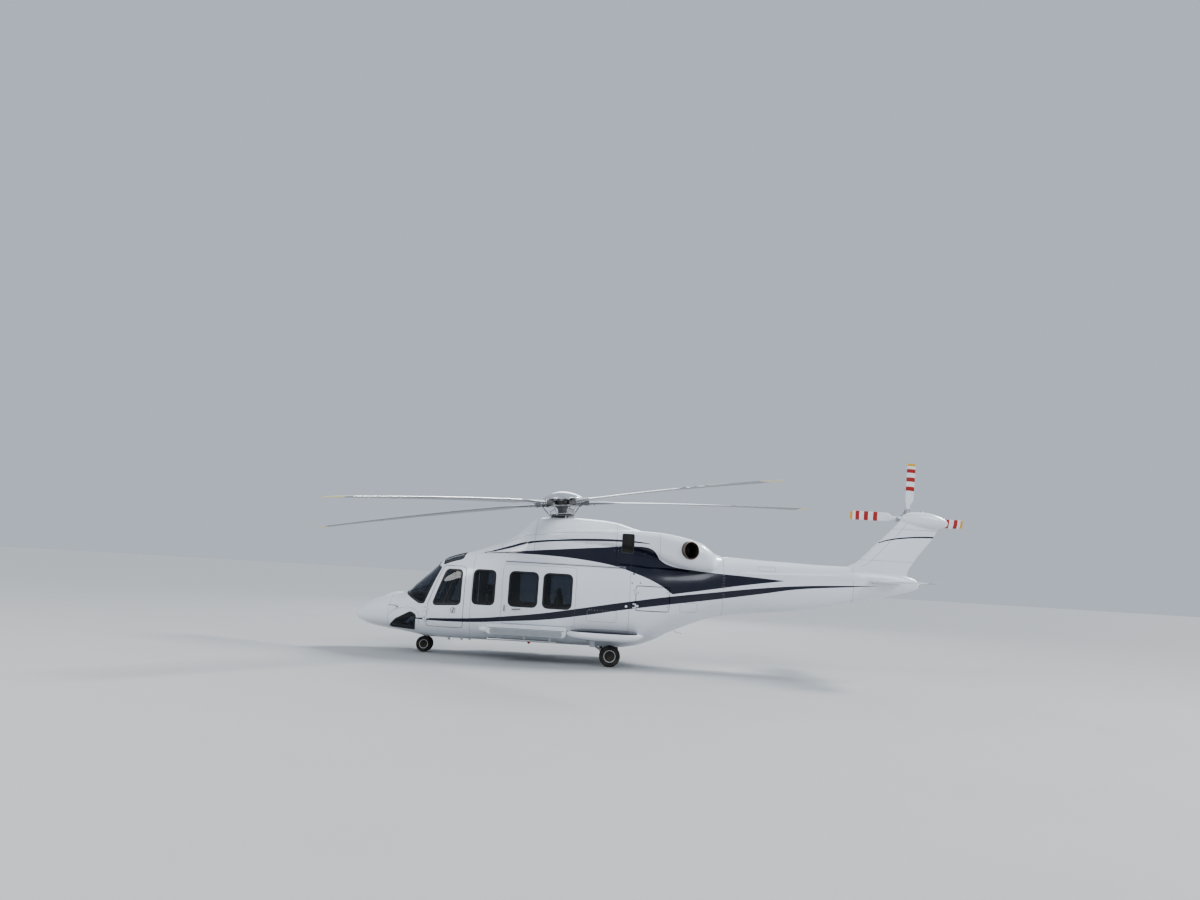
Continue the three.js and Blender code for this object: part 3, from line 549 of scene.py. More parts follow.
# Outlines on the side of the body, as station and height; the roof window's are station and distance across
WINDSCREEN = rounded([(1.215, 1.560), (1.215, 1.340), (1.600, 1.135), (1.700, 1.135), (2.000, 1.905),
                      (1.925, 2.010), (1.925, 2.300), (1.800, 2.300)],
                     [0.01, 0.05, 0.05, 0.03, 0.05, 0.05, 0.01, 0.01])
CREW_WINDOW = rounded([(1.925, 1.115), (2.515, 1.150), (2.515, 1.880), (2.170, 1.880)],
                      [0.05, 0.09, 0.08, 0.09])
CREW_DOOR = rounded([(1.800, 0.640), (2.600, 0.640), (2.600, 1.965), (2.095, 1.965), (1.800, 1.090)],
                    [0.06, 0.06, 0.10, 0.06, 0.10])
CHIN_WINDOW = rounded([(0.915, 0.560), (1.080, 0.725), (1.420, 0.905), (1.535, 0.845), (1.500, 0.535)],
                      [0.02, 0.20, 0.06, 0.05, 0.03])
SIDE_WINDOW = rounded(rectangle(2.800, 3.255, 1.185, 1.905), 0.10)
CABIN_DOOR = rounded(rectangle(3.430, 5.040, 0.800, 2.075), 0.09)
DOOR_WINDOWS = (rounded(rectangle(3.590, 4.190, 1.185, 1.910), 0.11),
                rounded(rectangle(4.340, 4.940, 1.185, 1.910), 0.11))
ROOF_WINDOW = rounded([(2.030, 0.330), (2.490, 0.300), (2.470, 0.800), (2.060, 0.740)], 0.05)
BAGGAGE_DOOR_START = 6.360
BAGGAGE_DOOR = rounded(rectangle(BAGGAGE_DOOR_START, 7.120, 1.240, 1.760), 0.05)
# How the hold door's wall leans in aft, and the place across that it leans from
BAGGAGE_YAW = math.radians(15)
BAGGAGE_PIVOT_Y = -1.080
# From where to where a cutter of the port side runs across, outside the body to inside its wall
PORT_REACH = (-1.6, -0.2)
CHIN_REACH = (-1.6, -0.3)
# The same for a cutter of the roof, in heights
ROOF_REACH = (1.7, 2.7)


def hull_path(outline: Outline, side: Side, proud: float = 0.0) -> list[Vector]:
    """An outline laid on the body's side, with its points at an even pitch."""
    return [HULL.side(x, z, side.value, proud) for x, z in evenly(outline)]


class Stock:
    """Closed shapes gathered into one mesh, in layout coordinates."""

    def __init__(self) -> None:
        """Starts with nothing."""
        self.vertices: list[Vector] = []
        self.faces: list[tuple[int, ...]] = []

    def loft(self, rings: Sequence[Sequence[Point]], cap: bool = True, loop: bool = False) -> "Stock":
        """Joins rings of equal count with quads.

        Args:
            rings: Closed rings of points, in order.
            cap: Whether the first and last ring are closed with a face.
            loop: Whether the last ring joins the first.

        Returns:
            This stock.
        """
        start, count = len(self.vertices), len(rings[0])
        for ring in rings:
            self.vertices.extend(Vector(point) for point in ring)
        total = len(rings)
        for row in range(total if loop else total - 1):
            here, there = start + row * count, start + ((row + 1) % total) * count
            for step in range(count):
                ahead = (step + 1) % count
                self.faces.append((here + step, here + ahead, there + ahead, there + step))
        if cap and not loop:
            self.faces.append(tuple(start + step for step in reversed(range(count))))
            self.faces.append(tuple(start + (total - 1) * count + step for step in range(count)))
        return self

    def tube(self, path: Sequence[Point], radii: float | Sequence[float], sides: int = 16,
             flat: float = 1.0) -> "Stock":
        """A round bar along a path.

        Args:
            path: The points that its middle line follows.
            radii: One radius, or one for each point.
            sides: Points around it.
            flat: Height over width of its section.

        Returns:
            This stock.
        """
        points = [Vector(p) for p in path]
        sizes = [radii] * len(points) if isinstance(radii, (int, float)) else radii
        first = next((b - a for a, b in zip(points, points[1:]) if (b - a).length > 1e-7), Vector(Z_AXIS))
        across = first.normalized().orthogonal()
        if abs(first.normalized().z) < 0.9:
            across = first.cross(Vector(Z_AXIS)).normalized()
        rings = []
        for index, point in enumerate(points):
            ahead = points[min(index + 1, len(points) - 1)] - points[max(index - 1, 0)]
            if ahead.length < 1e-7:
                ahead = first
            tangent = ahead.normalized()
            across = (across - tangent * across.dot(tangent)).normalized()
            upward = tangent.cross(across)
            rings.append([point + sizes[index] * (across * math.cos(a) + upward * math.sin(a) * flat)
                          for a in circle(sides)])
        return self.loft(rings)

    def turned(self, start: Point, axis: Point, profile: Sequence[tuple[float, float]],
               sides: int = 32) -> "Stock":
        """A turned solid.

        Args:
            start: Where the profile's distances begin.
            axis: The direction that they run in.
            profile: Pairs of distance along the axis and radius.
            sides: Points around it.

        Returns:
            This stock.
        """
        origin, along = Vector(start), Vector(axis).normalized()
        across = along.orthogonal().normalized()
        upward = along.cross(across)
        rings = []
        for distance, radius in profile:
            rings.append([origin + along * distance + max(radius, 1e-4) * (across * math.cos(a) + upward
                                                                           * math.sin(a))
                          for a in circle(sides)])
        return self.loft(rings)

    def block(self, low: Point, high: Point, bevel: float = 0.0) -> "Stock":
        """A box with its upright edges and its rims chamfered by the bevel.

        Args:
            low: Its lowest corner.
            high: Its highest corner.
            bevel: Size of the chamfers.

        Returns:
            This stock.
        """
        (x0, y0, z0), (x1, y1, z1) = low, high
        cut = min(bevel, (x1 - x0) * 0.45, (y1 - y0) * 0.45, (z1 - z0) * 0.45)

        def ring(height: float, inset: float) -> list[Point]:
            """The box's outline at a height, with its corners cut off.

            Args:
                height: The height.
                inset: How far inside the sides.

            Returns:
                The points, in layout coordinates.
            """
            a0, a1, b0, b1 = x0 + inset, x1 - inset, y0 + inset, y1 - inset
            if cut <= 0:
                return [(a0, b0, height), (a1, b0, height), (a1, b1, height), (a0, b1, height)]
            return [(a0 + cut, b0, height), (a1 - cut, b0, height), (a1, b0 + cut, height),
                    (a1, b1 - cut, height), (a1 - cut, b1, height), (a0 + cut, b1, height),
                    (a0, b1 - cut, height), (a0, b0 + cut, height)]

        if cut <= 0:
            return self.loft([ring(z0, 0), ring(z1, 0)])
        return self.loft([ring(z0, cut * 0.6), ring(z0 + cut, 0), ring(z1 - cut, 0), ring(z1, cut * 0.6)])

    def prism(self, outline: Outline, low: float, high: float, axis: str = "y") -> "Stock":
        """An outline pushed through along y, or up along z."""
        return self.loft([[(a, depth, b) if axis == "y" else (a, b, depth) for a, b in outline]
                          for depth in (low, high)])

    def moved(self, matrix: Matrix) -> "Stock":
        """Everything gathered so far, moved by a matrix."""
        self.vertices = [matrix @ vertex for vertex in self.vertices]
        return self

    def copied(self, matrices: Iterable[Matrix]) -> "Stock":
        """Puts a copy of everything gathered so far at each matrix, in place of the first.

        Args:
            matrices: Where the copies go.

        Returns:
            This stock.
        """
        vertices, faces = self.vertices, self.faces
        self.vertices, self.faces = [], []
        for matrix in matrices:
            start = len(self.vertices)
            self.vertices.extend(matrix @ vertex for vertex in vertices)
            self.faces.extend(tuple(start + index for index in face) for face in faces)
        return self

    def join(self, other: "Stock") -> "Stock":
        """Adds another stock's shapes.

        Args:
            other: The stock that is added.

        Returns:
            This stock.
        """
        start = len(self.vertices)
        self.vertices.extend(other.vertices)
        self.faces.extend(tuple(start + index for index in face) for face in other.faces)
        return self

    def mirrored(self) -> "Stock":
        """Everything gathered so far, on the other side."""
        return self.moved(Matrix.Diagonal((1, -1, 1, 1)))

    def on(self, side: Side, home: Side) -> "Stock":
        """Everything gathered so far, mirrored unless the side is the one that it was laid out on."""
        return self if side is home else self.mirrored()

    def made(self, name: str, material: bpy.types.Material, sharp: float = 40.0) -> bpy.types.Object:
        """One mesh object in the frame, its faces pointing outwards.

        Args:
            name: The piece's name.
            material: Its finish.
            sharp: Edges that turn by more than this, in degrees, are left sharp.

        Returns:
            The object.
        """
        mesh = bpy.data.meshes.new(name)
        mesh.from_pydata([tuple(vertex - ORIGIN) for vertex in self.vertices], [], self.faces)
        work = bmesh.new()
        work.from_mesh(mesh)
        bmesh.ops.remove_doubles(work, verts=work.verts, dist=1e-6)
        bmesh.ops.dissolve_degenerate(work, edges=work.edges, dist=1e-6)
        bmesh.ops.recalc_face_normals(work, faces=work.faces)
        work.to_mesh(mesh)
        work.free()
        smooth(mesh, sharp)
        mesh.materials.append(material)
        obj = bpy.data.objects.new(name, mesh)
        bpy.context.scene.collection.objects.link(obj)
        return obj


def smooth(mesh: bpy.types.Mesh, sharp: float = 40.0) -> None:
    """Smooth shading with sharp edges where faces turn by more than an angle in degrees.

    Args:
        mesh: The mesh.
        sharp: The angle, in degrees.
    """
    mesh.polygons.foreach_set("use_smooth", [True] * len(mesh.polygons))
    mesh.set_sharp_from_angle(angle=math.radians(sharp))
    mesh.update()


def both_sides(piece: bpy.types.Object, name: str, home: Side) -> dict[Side, bpy.types.Object]:
    """A piece and its mirror image, each named by its side, the faces of both pointing outwards.

    Args:
        piece: The piece as it was laid out.
        name: The name of both, without the side.
        home: The side that it was laid out on.

    Returns:
        The two pieces by side, the one that was laid out first.
    """
    away = Side(-home.value)
    mesh = piece.data.copy()
    mesh.name = f"{name}_{away.label}"
    mesh.transform(Matrix.Diagonal((1, -1, 1, 1)))
    mesh.flip_normals()
    twin = bpy.data.objects.new(mesh.name, mesh)
    bpy.context.scene.collection.objects.link(twin)
    piece.name = f"{name}_{home.label}"
    return {home: piece, away: twin}


def combine(name: str, objects: Sequence[bpy.types.Object]) -> bpy.types.Object:
    """Joins objects into one mesh that keeps each one's finish.

    Args:
        name: The new piece's name.
        objects: The pieces.

    Returns:
        The joined piece.
    """
    for obj in bpy.context.view_layer.objects:
        obj.select_set(False)
    for obj in objects:
        obj.select_set(True)
    bpy.context.view_layer.objects.active = objects[0]
    if len(objects) > 1:
        bpy.ops.object.join()
    result = bpy.context.view_layer.objects.active
    result.name = name
    result.data.name = name
    return result


class Cut(Enum):
    """What a cutter does to a solid."""

    AWAY = "DIFFERENCE"
    KEEP = "INTERSECT"
    ADD = "UNION"


def carve(obj: bpy.types.Object, cutter: Stock, how: Cut) -> bpy.types.Object:
    """Cuts a solid with another, quickly where both are closed, and exactly otherwise.

    Args:
        obj: The solid, which gets a new mesh.
        cutter: What it is cut with.
        how: What the cutter does.

    Returns:
        The same piece.
    """
    tool = cutter.made("cutter", obj.data.materials[0], sharp=30)
    before = len(obj.data.polygons)
    for solver in ("MANIFOLD", "EXACT"):
        modifier = obj.modifiers.new("carve", "BOOLEAN")
        modifier.operation = how.value
        modifier.object = tool
        modifier.solver = solver
        bpy.context.view_layer.update()
        result = bpy.data.meshes.new_from_object(obj.evaluated_get(bpy.context.evaluated_depsgraph_get()))
        obj.modifiers.remove(modifier)
        if len(result.polygons) > 0 and len(result.polygons) != before:
            old = obj.data
            obj.data = result
            result.name = old.name
            bpy.data.meshes.remove(old)
            break
        LOG.info("the %s cut of %s changed nothing", solver, obj.name)
    bpy.data.objects.remove(tool)
    return obj


# How much more a face on the inside may turn from the skin, and how far inwards a face looks to be lined
INNER_SLACK = 1.6
LINED = -0.3


def dress_skin(obj: bpy.types.Object, skin: Surface, lining: bpy.types.Material | None = None,
               slack: float = 0.10) -> None:
    """Gives a cut skin the smooth normals of the uncut one, and its inner faces the lining.

    Args:
        obj: The cut piece.
        skin: The surface that it was cut from.
        lining: The finish of faces that look inwards.
        slack: How far a face may turn from the skin and still count as skin, as 1 less the cosine.
    """
    mesh = obj.data
    count = len(mesh.vertices)
    places = np.empty(count * 3, np.float32)
    mesh.vertices.foreach_get("co", places)
    directions = skin.normals(places.reshape(-1, 3).astype(float) + np.array(ORIGIN))
    faces = np.empty(len(mesh.polygons) * 3, np.float32)
    mesh.polygons.foreach_get("normal", faces)
    faces = faces.reshape(-1, 3)
    corner_vertex = np.empty(len(mesh.loops), np.int32)
    mesh.loops.foreach_get("vertex_index", corner_vertex)
    totals = np.empty(len(mesh.polygons), np.int32)
    mesh.polygons.foreach_get("loop_total", totals)
    corner_face = np.repeat(np.arange(len(totals)), totals)
    wanted = directions[corner_vertex]
    agree = np.einsum("ij,ij->i", wanted, faces[corner_face])
    outer, inner = agree > 1 - slack, agree < slack * INNER_SLACK - 1
    corners = np.where(outer[:, None], wanted, np.where(inner[:, None], -wanted, faces[corner_face]))
    mesh.polygons.foreach_set("use_smooth", [True] * len(mesh.polygons))
    mesh.normals_split_custom_set(corners.tolist())
    if lining is not None:
        mesh.materials.append(lining)
        middle = np.zeros(len(totals))
        np.add.at(middle, corner_face, agree)
        mesh.polygons.foreach_set("material_index", (middle / totals < LINED).astype(np.int32))
    mesh.update()


def rode(obj: bpy.types.Object, body: str, slot: str, *nodes: str) -> bpy.types.Object:
    """Puts a finished piece on its body, hides the CAD nodes that it stands for, and reports it.

    Args:
        obj: The piece.
        body: The body that it rides on.
        slot: The CAD colour that it is listed under; not used.
        *nodes: The CAD nodes that it stands for.

    Returns:
        The same piece.
    """
    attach(obj, body)
    if nodes:
        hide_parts(*nodes)
    LOG.info("%s rides on %s with %d faces", obj.name, body, len(obj.data.polygons))
    return obj


class Graph:
    """Short calls that place nodes in a shader or geometry tree."""

    def __init__(self, tree: bpy.types.NodeTree) -> None:
        """Works on one tree."""
        self.tree = tree

    def node(self, kind: str, inputs: dict | None = None, **settings: object) -> bpy.types.Node:
        """Adds a node.

        Args:
            kind: The node's type.
            inputs: Values or sockets for its inputs, by name or number.
            **settings: Its own properties.

        Returns:
            The node.
        """
        made = self.tree.nodes.new(kind)
        for key, value in settings.items():
            setattr(made, key, value)
        for key, value in (inputs or {}).items():
            if isinstance(value, bpy.types.NodeSocket):
                self.tree.links.new(value, made.inputs[key])
            else:
                made.inputs[key].default_value = value
        return made

    def math(self, operation: str, *values: object, clamp: bool = False) -> bpy.types.NodeSocket:
        """Adds a Math node and returns its result."""
        return self.node("ShaderNodeMath", dict(enumerate(values)), operation=operation,
                         use_clamp=clamp).outputs[0]

    def mix(self, share: object, first: object, second: object) -> bpy.types.NodeSocket:
        """Mixes two colours and returns the result."""
        return self.node("ShaderNodeMix", {0: share, 6: first, 7: second}, data_type="RGBA").outputs[2]

    def parts(self, vector: bpy.types.NodeSocket) -> Sequence[bpy.types.NodeSocket]:
        """The x, y and z of a vector."""
        return self.node("ShaderNodeSeparateXYZ", {0: vector}).outputs

    def noise(self, position: bpy.types.NodeSocket, scale: object, detail: float,
              roughness: float = 0.5) -> bpy.types.NodeSocket:
        """Soft noise from 0 to 1."""
        return self.node("ShaderNodeTexNoise", {"Vector": position, "Scale": scale, "Detail": detail,
                                                "Roughness": roughness}).outputs[0]

    def scaled(self, value: bpy.types.NodeSocket, low: object, high: object, start: float = 0.0,
               end: float = 1.0) -> bpy.types.NodeSocket:
        """Carries the span from low to high over to start to end, level past its ends."""
        return self.node("ShaderNodeMapRange", {0: value, 1: low, 2: high, 3: start, 4: end}).outputs[0]

    def past(self, value: object, edge: object, soft: float = 0.002) -> bpy.types.NodeSocket:
        """A mask that rises from 0 to 1 as a value passes an edge."""
        return self.math("DIVIDE", self.math("SUBTRACT", value, edge), soft, clamp=True)

    def within(self, value: bpy.types.NodeSocket, low: object, high: object,
               soft: float = 0.0015) -> bpy.types.NodeSocket:
        """A mask that is 1 where a value lies between two limits."""
        return self.math("MULTIPLY", self.past(value, low, soft), self.past(high, value, soft))

    def line(self, along: bpy.types.NodeSocket, points: Outline,
             corners: Sequence[int] = ()) -> bpy.types.NodeSocket:
        """A smooth curve of one coordinate over another, as a Float Curve node.

        Args:
            along: The coordinate that the curve runs over.
            points: Pairs of that coordinate and the curve's value, rising.
            corners: Which points are sharp corners.

        Returns:
            The curve's value.
        """
        xs, ys = zip(*points)
        low, high = min(ys) - 0.01, max(ys) + 0.01
        curve = self.node("ShaderNodeFloatCurve", {1: self.scaled(along, xs[0], xs[-1])})
        handles = curve.mapping.curves[0].points
        places = [((x - xs[0]) / (xs[-1] - xs[0]), (y - low) / (high - low)) for x, y in points]
        for place in places[1:-1]:
            handles.new(*place)
        for index, (handle, place) in enumerate(zip(handles, places)):
            handle.location = place
            handle.handle_type = "VECTOR" if index in corners else "AUTO"
        curve.mapping.update()
        return self.scaled(curve.outputs[0], 0.0, 1.0, low, high)


# The bands painted on the body, as station and height above the ground
STRIPE_TOP = [(1.46, 0.795), (2.10, 0.820), (2.98, 0.880), (3.41, 0.930), (4.28, 1.050), (5.15, 1.210),
              (6.13, 1.400), (7.17, 1.580), (8.09, 1.710), (9.21, 1.870), (10.12, 1.970), (11.03, 2.030),
              (11.90, 2.070)]
STRIPE_LOW = [(1.46, 0.775), (2.11, 0.760), (2.98, 0.790), (3.42, 0.830), (4.29, 0.910), (5.16, 1.050),
              (6.14, 1.240), (7.18, 1.410), (8.10, 1.550), (9.21, 1.740), (10.12, 1.900), (11.03, 1.990),
              (11.90, 2.065)]
FIELD_TOP = [(3.06, 2.310), (3.73, 2.380), (4.61, 2.470), (5.51, 2.560), (6.40, 2.630), (6.55, 2.620),
             (6.87, 2.360), (7.12, 2.245), (7.37, 2.200), (8.06, 2.150), (8.96, 2.110), (9.75, 2.065)]
FIELD_LOW = [(3.06, 2.300), (3.52, 2.320), (4.55, 2.310), (5.23, 2.260), (5.75, 2.190), (6.27, 2.050),
             (6.80, 1.850), (7.17, 1.625), (8.13, 1.790), (8.74, 1.900), (9.75, 2.060)]
THIN_TOP = [(2.92, 2.310), (3.49, 2.490), (3.93, 2.610), (4.60, 2.690), (5.49, 2.750), (6.17, 2.750),
            (6.63, 2.705)]
THIN_LOW = [(2.92, 2.290), (3.50, 2.440), (3.93, 2.560), (4.60, 2.650), (5.50, 2.700), (6.17, 2.710),
            (6.63, 2.695)]
FIN_TOP = [(11.98, 3.085), (12.24, 3.175), (12.53, 3.228), (12.99, 3.275), (13.30, 3.290)]
FIN_LOW = [(11.98, 3.065), (12.24, 3.145), (12.53, 3.195), (12.99, 3.240), (13.30, 3.252)]

NAVY = (0.0035, 0.0055, 0.022)


class Effects:
    """Shader node groups that several finishes share. Each is built once, when it is first asked for."""

    made: dict[str, bpy.types.NodeTree] = {}

    @classmethod
    def group(cls, name: str, inputs: dict[str, str], outputs: dict[str, str],
              fill: Callable[[Graph, dict, dict], None]) -> bpy.types.NodeTree:
        """A node group of this name, filled when it is new.

        Args:
            name: The group's name.
            inputs: Socket kinds by name: Vector, Color or Float.
            outputs: The same for what it puts out.
            fill: Places its nodes, given the graph, the input sockets, and a dict to put outputs in.

        Returns:
            The group.
        """
        if name not in cls.made:
            tree = bpy.data.node_groups.new(name, "ShaderNodeTree")
            for sockets, direction in ((inputs, "INPUT"), (outputs, "OUTPUT")):
                for label, kind in sockets.items():
                    tree.interface.new_socket(label, in_out=direction, socket_type=f"NodeSocket{kind}")
            graph = Graph(tree)
            entry = graph.node("NodeGroupInput")
            results: dict = {}
            fill(graph, {label: entry.outputs[label] for label in inputs}, results)
            graph.node("NodeGroupOutput", results)
            cls.made[name] = tree
        return cls.made[name]

    @classmethod
    def weathering(cls) -> bpy.types.NodeTree:
        """Patchy film of dust or stain, as a colour and a roughness."""

        def fill(graph: Graph, given: dict, results: dict) -> None:
            """Shows the film where the noise is high.

            Args:
                graph: The group's nodes.
                given: The input sockets by name.
                results: Where the outputs are put, by name.
            """
            patch = graph.scaled(graph.noise(given["Position"], given["Scale"], 6.0, 0.62), 0.38, 0.72)
            mask = graph.math("MULTIPLY", patch, given["Amount"], clamp=True)
            results["Colour"] = graph.mix(mask, given["Colour"], given["Film"])
            results["Roughness"] = graph.math("ADD", given["Roughness"],
                                              graph.math("MULTIPLY", mask, given["Spread"]))

        return cls.group("weathering", {"Position": "Vector", "Colour": "Color", "Film": "Color",
                                        "Amount": "Float", "Scale": "Float", "Roughness": "Float",
                                        "Spread": "Float"}, {"Colour": "Color", "Roughness": "Float"}, fill)

    @classmethod
    def ripple(cls) -> bpy.types.NodeTree:
        """The height of a sprayed or cast surface: fine grain on slow waves."""

        def fill(graph: Graph, given: dict, results: dict) -> None:
            """Adds a fine noise to a slow one.

            Args:
                graph: The group's nodes.
                given: The input sockets by name.
                results: Where the outputs are put, by name.
            """
            fine = graph.noise(given["Position"], given["Fine"], 3.0)
            slow = graph.noise(given["Position"], given["Slow"], 1.0)
            results["Height"] = graph.math("ADD", graph.math("MULTIPLY", fine, given["Grain"]),
                                           graph.math("MULTIPLY", slow, given["Wave"]))

        return cls.group("ripple", {"Position": "Vector", "Fine": "Float", "Slow": "Float", "Grain": "Float",
                                    "Wave": "Float"}, {"Height": "Float"}, fill)

    @classmethod
    def bands(cls) -> bpy.types.NodeTree:
        """Where the navy bands of the body are, as a mask of 0 to 1."""

        def fill(graph: Graph, given: dict, results: dict) -> None:
            """Keeps what lies between each band's edges and ends.

            Args:
                graph: The group's nodes.
                given: The input sockets by name.
                results: Where the outputs are put, by name.
            """
            place = graph.parts(given["Position"])
            station = graph.math("ADD", place[0], ORIGIN.x)
            height = graph.math("ADD", place[2], ORIGIN.z)
            mask = None
            for low, high, corners in ((STRIPE_LOW, STRIPE_TOP, ()), (FIELD_LOW, FIELD_TOP, (7,)),
                                       (THIN_LOW, THIN_TOP, ()), (FIN_LOW, FIN_TOP, ())):
                start, end = max(low[0][0], high[0][0]), min(low[-1][0], high[-1][0])
                band = graph.within(height, graph.line(station, low, corners), graph.line(station, high))
                piece = graph.math("MULTIPLY", band, graph.within(station, start, end))
                mask = piece if mask is None else graph.math("MAXIMUM", mask, piece)
            results["Navy"] = mask

        return cls.group("bands", {"Position": "Vector"}, {"Navy": "Float"}, fill)

    @classmethod
    def lower_dust(cls) -> bpy.types.NodeTree:
        """Road dust that thickens towards the ground, as a mask."""

        def fill(graph: Graph, given: dict, results: dict) -> None:
            """Fades patches of noise out with height.

            Args:
                graph: The group's nodes.
                given: The input sockets by name.
                results: Where the outputs are put, by name.
            """
            fade = graph.scaled(graph.parts(given["Position"])[2], given["Top"], given["Bottom"])
            patch = graph.scaled(graph.noise(given["Position"], 2.6, 7.0, 0.7), 0.35, 0.7)
            results["Dust"] = graph.math("MULTIPLY", graph.math("POWER", fade, 1.6), patch)

        return cls.group("lower_dust", {"Position": "Vector", "Top": "Float", "Bottom": "Float"},
                         {"Dust": "Float"}, fill)

    @classmethod
    def grain(cls) -> bpy.types.NodeTree:
        """Pebbled leather or moulded plastic, as a height and a crease mask."""

        def fill(graph: Graph, given: dict, results: dict) -> None:
            """Rises from the edge of each cell.

            Args:
                graph: The group's nodes.
                given: The input sockets by name.
                results: Where the outputs are put, by name.
            """
            cells = graph.node("ShaderNodeTexVoronoi", {"Vector": given["Position"], "Scale": given["Scale"]},
                               feature="DISTANCE_TO_EDGE").outputs[0]
            results["Height"] = graph.scaled(cells, 0.0, 0.18)
            results["Crease"] = graph.math("SUBTRACT", 1.0, results["Height"], clamp=True)

        return cls.group("grain", {"Position": "Vector", "Scale": "Float"},
                         {"Height": "Float", "Crease": "Float"}, fill)


@dataclass(frozen=True)
class Finish:
    """What a surface is covered with. Lengths are metres.

    Args:
        name: The material's name.
        colour: Linear red, green and blue.
        roughness: Of the clean surface.
        film: Colour of the dust or stain on it.
        amount: How much of it shows, from 0 to 1.
        patch: Scale of its patches.
        spread: How much rougher it makes the surface.
        metallic: 1 for bare metal.
        coat: Weight of a clear coat.
        sheen: Weight of cloth sheen.
        grain: Height of the fine grain.
        grain_scale: Its scale.
        wave: Height of slow waves.
        pebbles: Scale of leather pebbles, or 0.
        pebble_height: Their height.
    """

    name: str
    colour: tuple[float, float, float]
    roughness: float
    film: tuple[float, float, float] = (0.25, 0.22, 0.18)
    amount: float = 0.15
    patch: float = 3.0
    spread: float = 0.15
    metallic: float = 0.0
    coat: float = 0.0
    sheen: float = 0.0
    grain: float = 0.0002
    grain_scale: float = 900.0
    wave: float = 0.0
    pebbles: float = 0.0
    pebble_height: float = 0.0004

    def base_colour(self, graph: Graph, position: bpy.types.NodeSocket) -> object:
        """The clean colour, as a value or a socket. Finishes with a pattern give their own."""
        return (*self.colour, 1.0)

    def material(self) -> bpy.types.Material:
        """The finish as a material, built once."""
        if self.name in bpy.data.materials and bpy.data.materials[self.name].get("finish"):
            return bpy.data.materials[self.name]
        made = bpy.data.materials.new(self.name)
        made["finish"] = True
        made.use_nodes = True
        made.node_tree.nodes.clear()
        graph = Graph(made.node_tree)
        position = graph.node("ShaderNodeTexCoord").outputs["Object"]
        wear = graph.node("ShaderNodeGroup", {
            "Position": position, "Colour": self.base_colour(graph, position), "Film": (*self.film, 1.0),
            "Amount": self.amount, "Scale": self.patch, "Roughness": self.roughness, "Spread": self.spread,
        }, node_tree=Effects.weathering())
        height = graph.node("ShaderNodeGroup", {
            "Position": position, "Fine": self.grain_scale, "Slow": 1.7, "Grain": self.grain,
            "Wave": self.wave, }, node_tree=Effects.ripple()).outputs["Height"]
        if self.pebbles:
            pebble = graph.node("ShaderNodeGroup", {"Position": position, "Scale": self.pebbles},
                                node_tree=Effects.grain())
            height = graph.math("ADD", height, graph.math("MULTIPLY", pebble.outputs["Height"],
                                                          self.pebble_height))
        bump = graph.node("ShaderNodeBump", {"Height": height, "Strength": 1.0, "Distance": 1.0})
        shader = graph.node("ShaderNodeBsdfPrincipled", {
            "Base Color": wear.outputs["Colour"], "Roughness": wear.outputs["Roughness"],
            "Normal": bump.outputs[0], "Metallic": self.metallic, "Coat Weight": self.coat,
            "Coat Roughness": 0.03, "Sheen Weight": self.sheen})
        self.shade(graph, position, shader)
        graph.node("ShaderNodeOutputMaterial", {0: shader.outputs[0]})
        return made

    def shade(self, graph: Graph, position: bpy.types.NodeSocket, shader: bpy.types.Node) -> None:
        """A place for a finish to change its shader."""


@dataclass(frozen=True)
class BodyPaint(Finish):
    """Gloss white with the navy bands, dustier towards the ground.

    Args:
        navy: Colour of the bands.
        dust: Colour of the dust.
        dust_top: Height in the frame above which there is none.
        dust_bottom: Height at which it is thickest.
        dust_share: How much of it shows there.
    """

    navy: tuple[float, float, float] = NAVY
    dust: tuple[float, float, float] = (0.30, 0.27, 0.22)
    dust_top: float = 0.55
    dust_bottom: float = -0.05
    dust_share: float = 0.22

    def base_colour(self, graph: Graph, position: bpy.types.NodeSocket) -> bpy.types.NodeSocket:
        """White or navy by the bands, under a film of dust.

        Args:
            graph: The material's nodes.
            position: The point, in the frame.

        Returns:
            The colour's socket.
        """
        bands = graph.node("ShaderNodeGroup", {"Position": position}, node_tree=Effects.bands())
        paint = graph.mix(bands.outputs["Navy"], (*self.colour, 1.0), (*self.navy, 1.0))
        dust = graph.node("ShaderNodeGroup", {"Position": position, "Top": self.dust_top,
                                              "Bottom": self.dust_bottom}, node_tree=Effects.lower_dust())
        share = graph.math("MULTIPLY", dust.outputs["Dust"], self.dust_share)
        return graph.mix(share, paint, (*self.dust, 1.0))


@dataclass(frozen=True)
class DeckPaint(Finish):
    """Gloss white with a navy walkway along the top, short of the tail cap.

    Args:
        navy: Colour of the walkway.
        deck: Height above which it begins.
        end: Station where it ends.
    """

    navy: tuple[float, float, float] = NAVY
    deck: float = 0.722
    end: float = 6.420

    def base_colour(self, graph: Graph, position: bpy.types.NodeSocket) -> bpy.types.NodeSocket:
        """Navy above the deck's height, white below it and aft of its end.

        Args:
            graph: The material's nodes.
            position: The point, in the frame.

        Returns:
            The colour's socket.
        """
        place = graph.parts(position)
        above = graph.past(place[2], self.deck - ORIGIN.z)
        ahead = graph.past(self.end - ORIGIN.x, place[0])
        return graph.mix(graph.math("MULTIPLY", above, ahead), (*self.colour, 1.0), (*self.navy, 1.0))


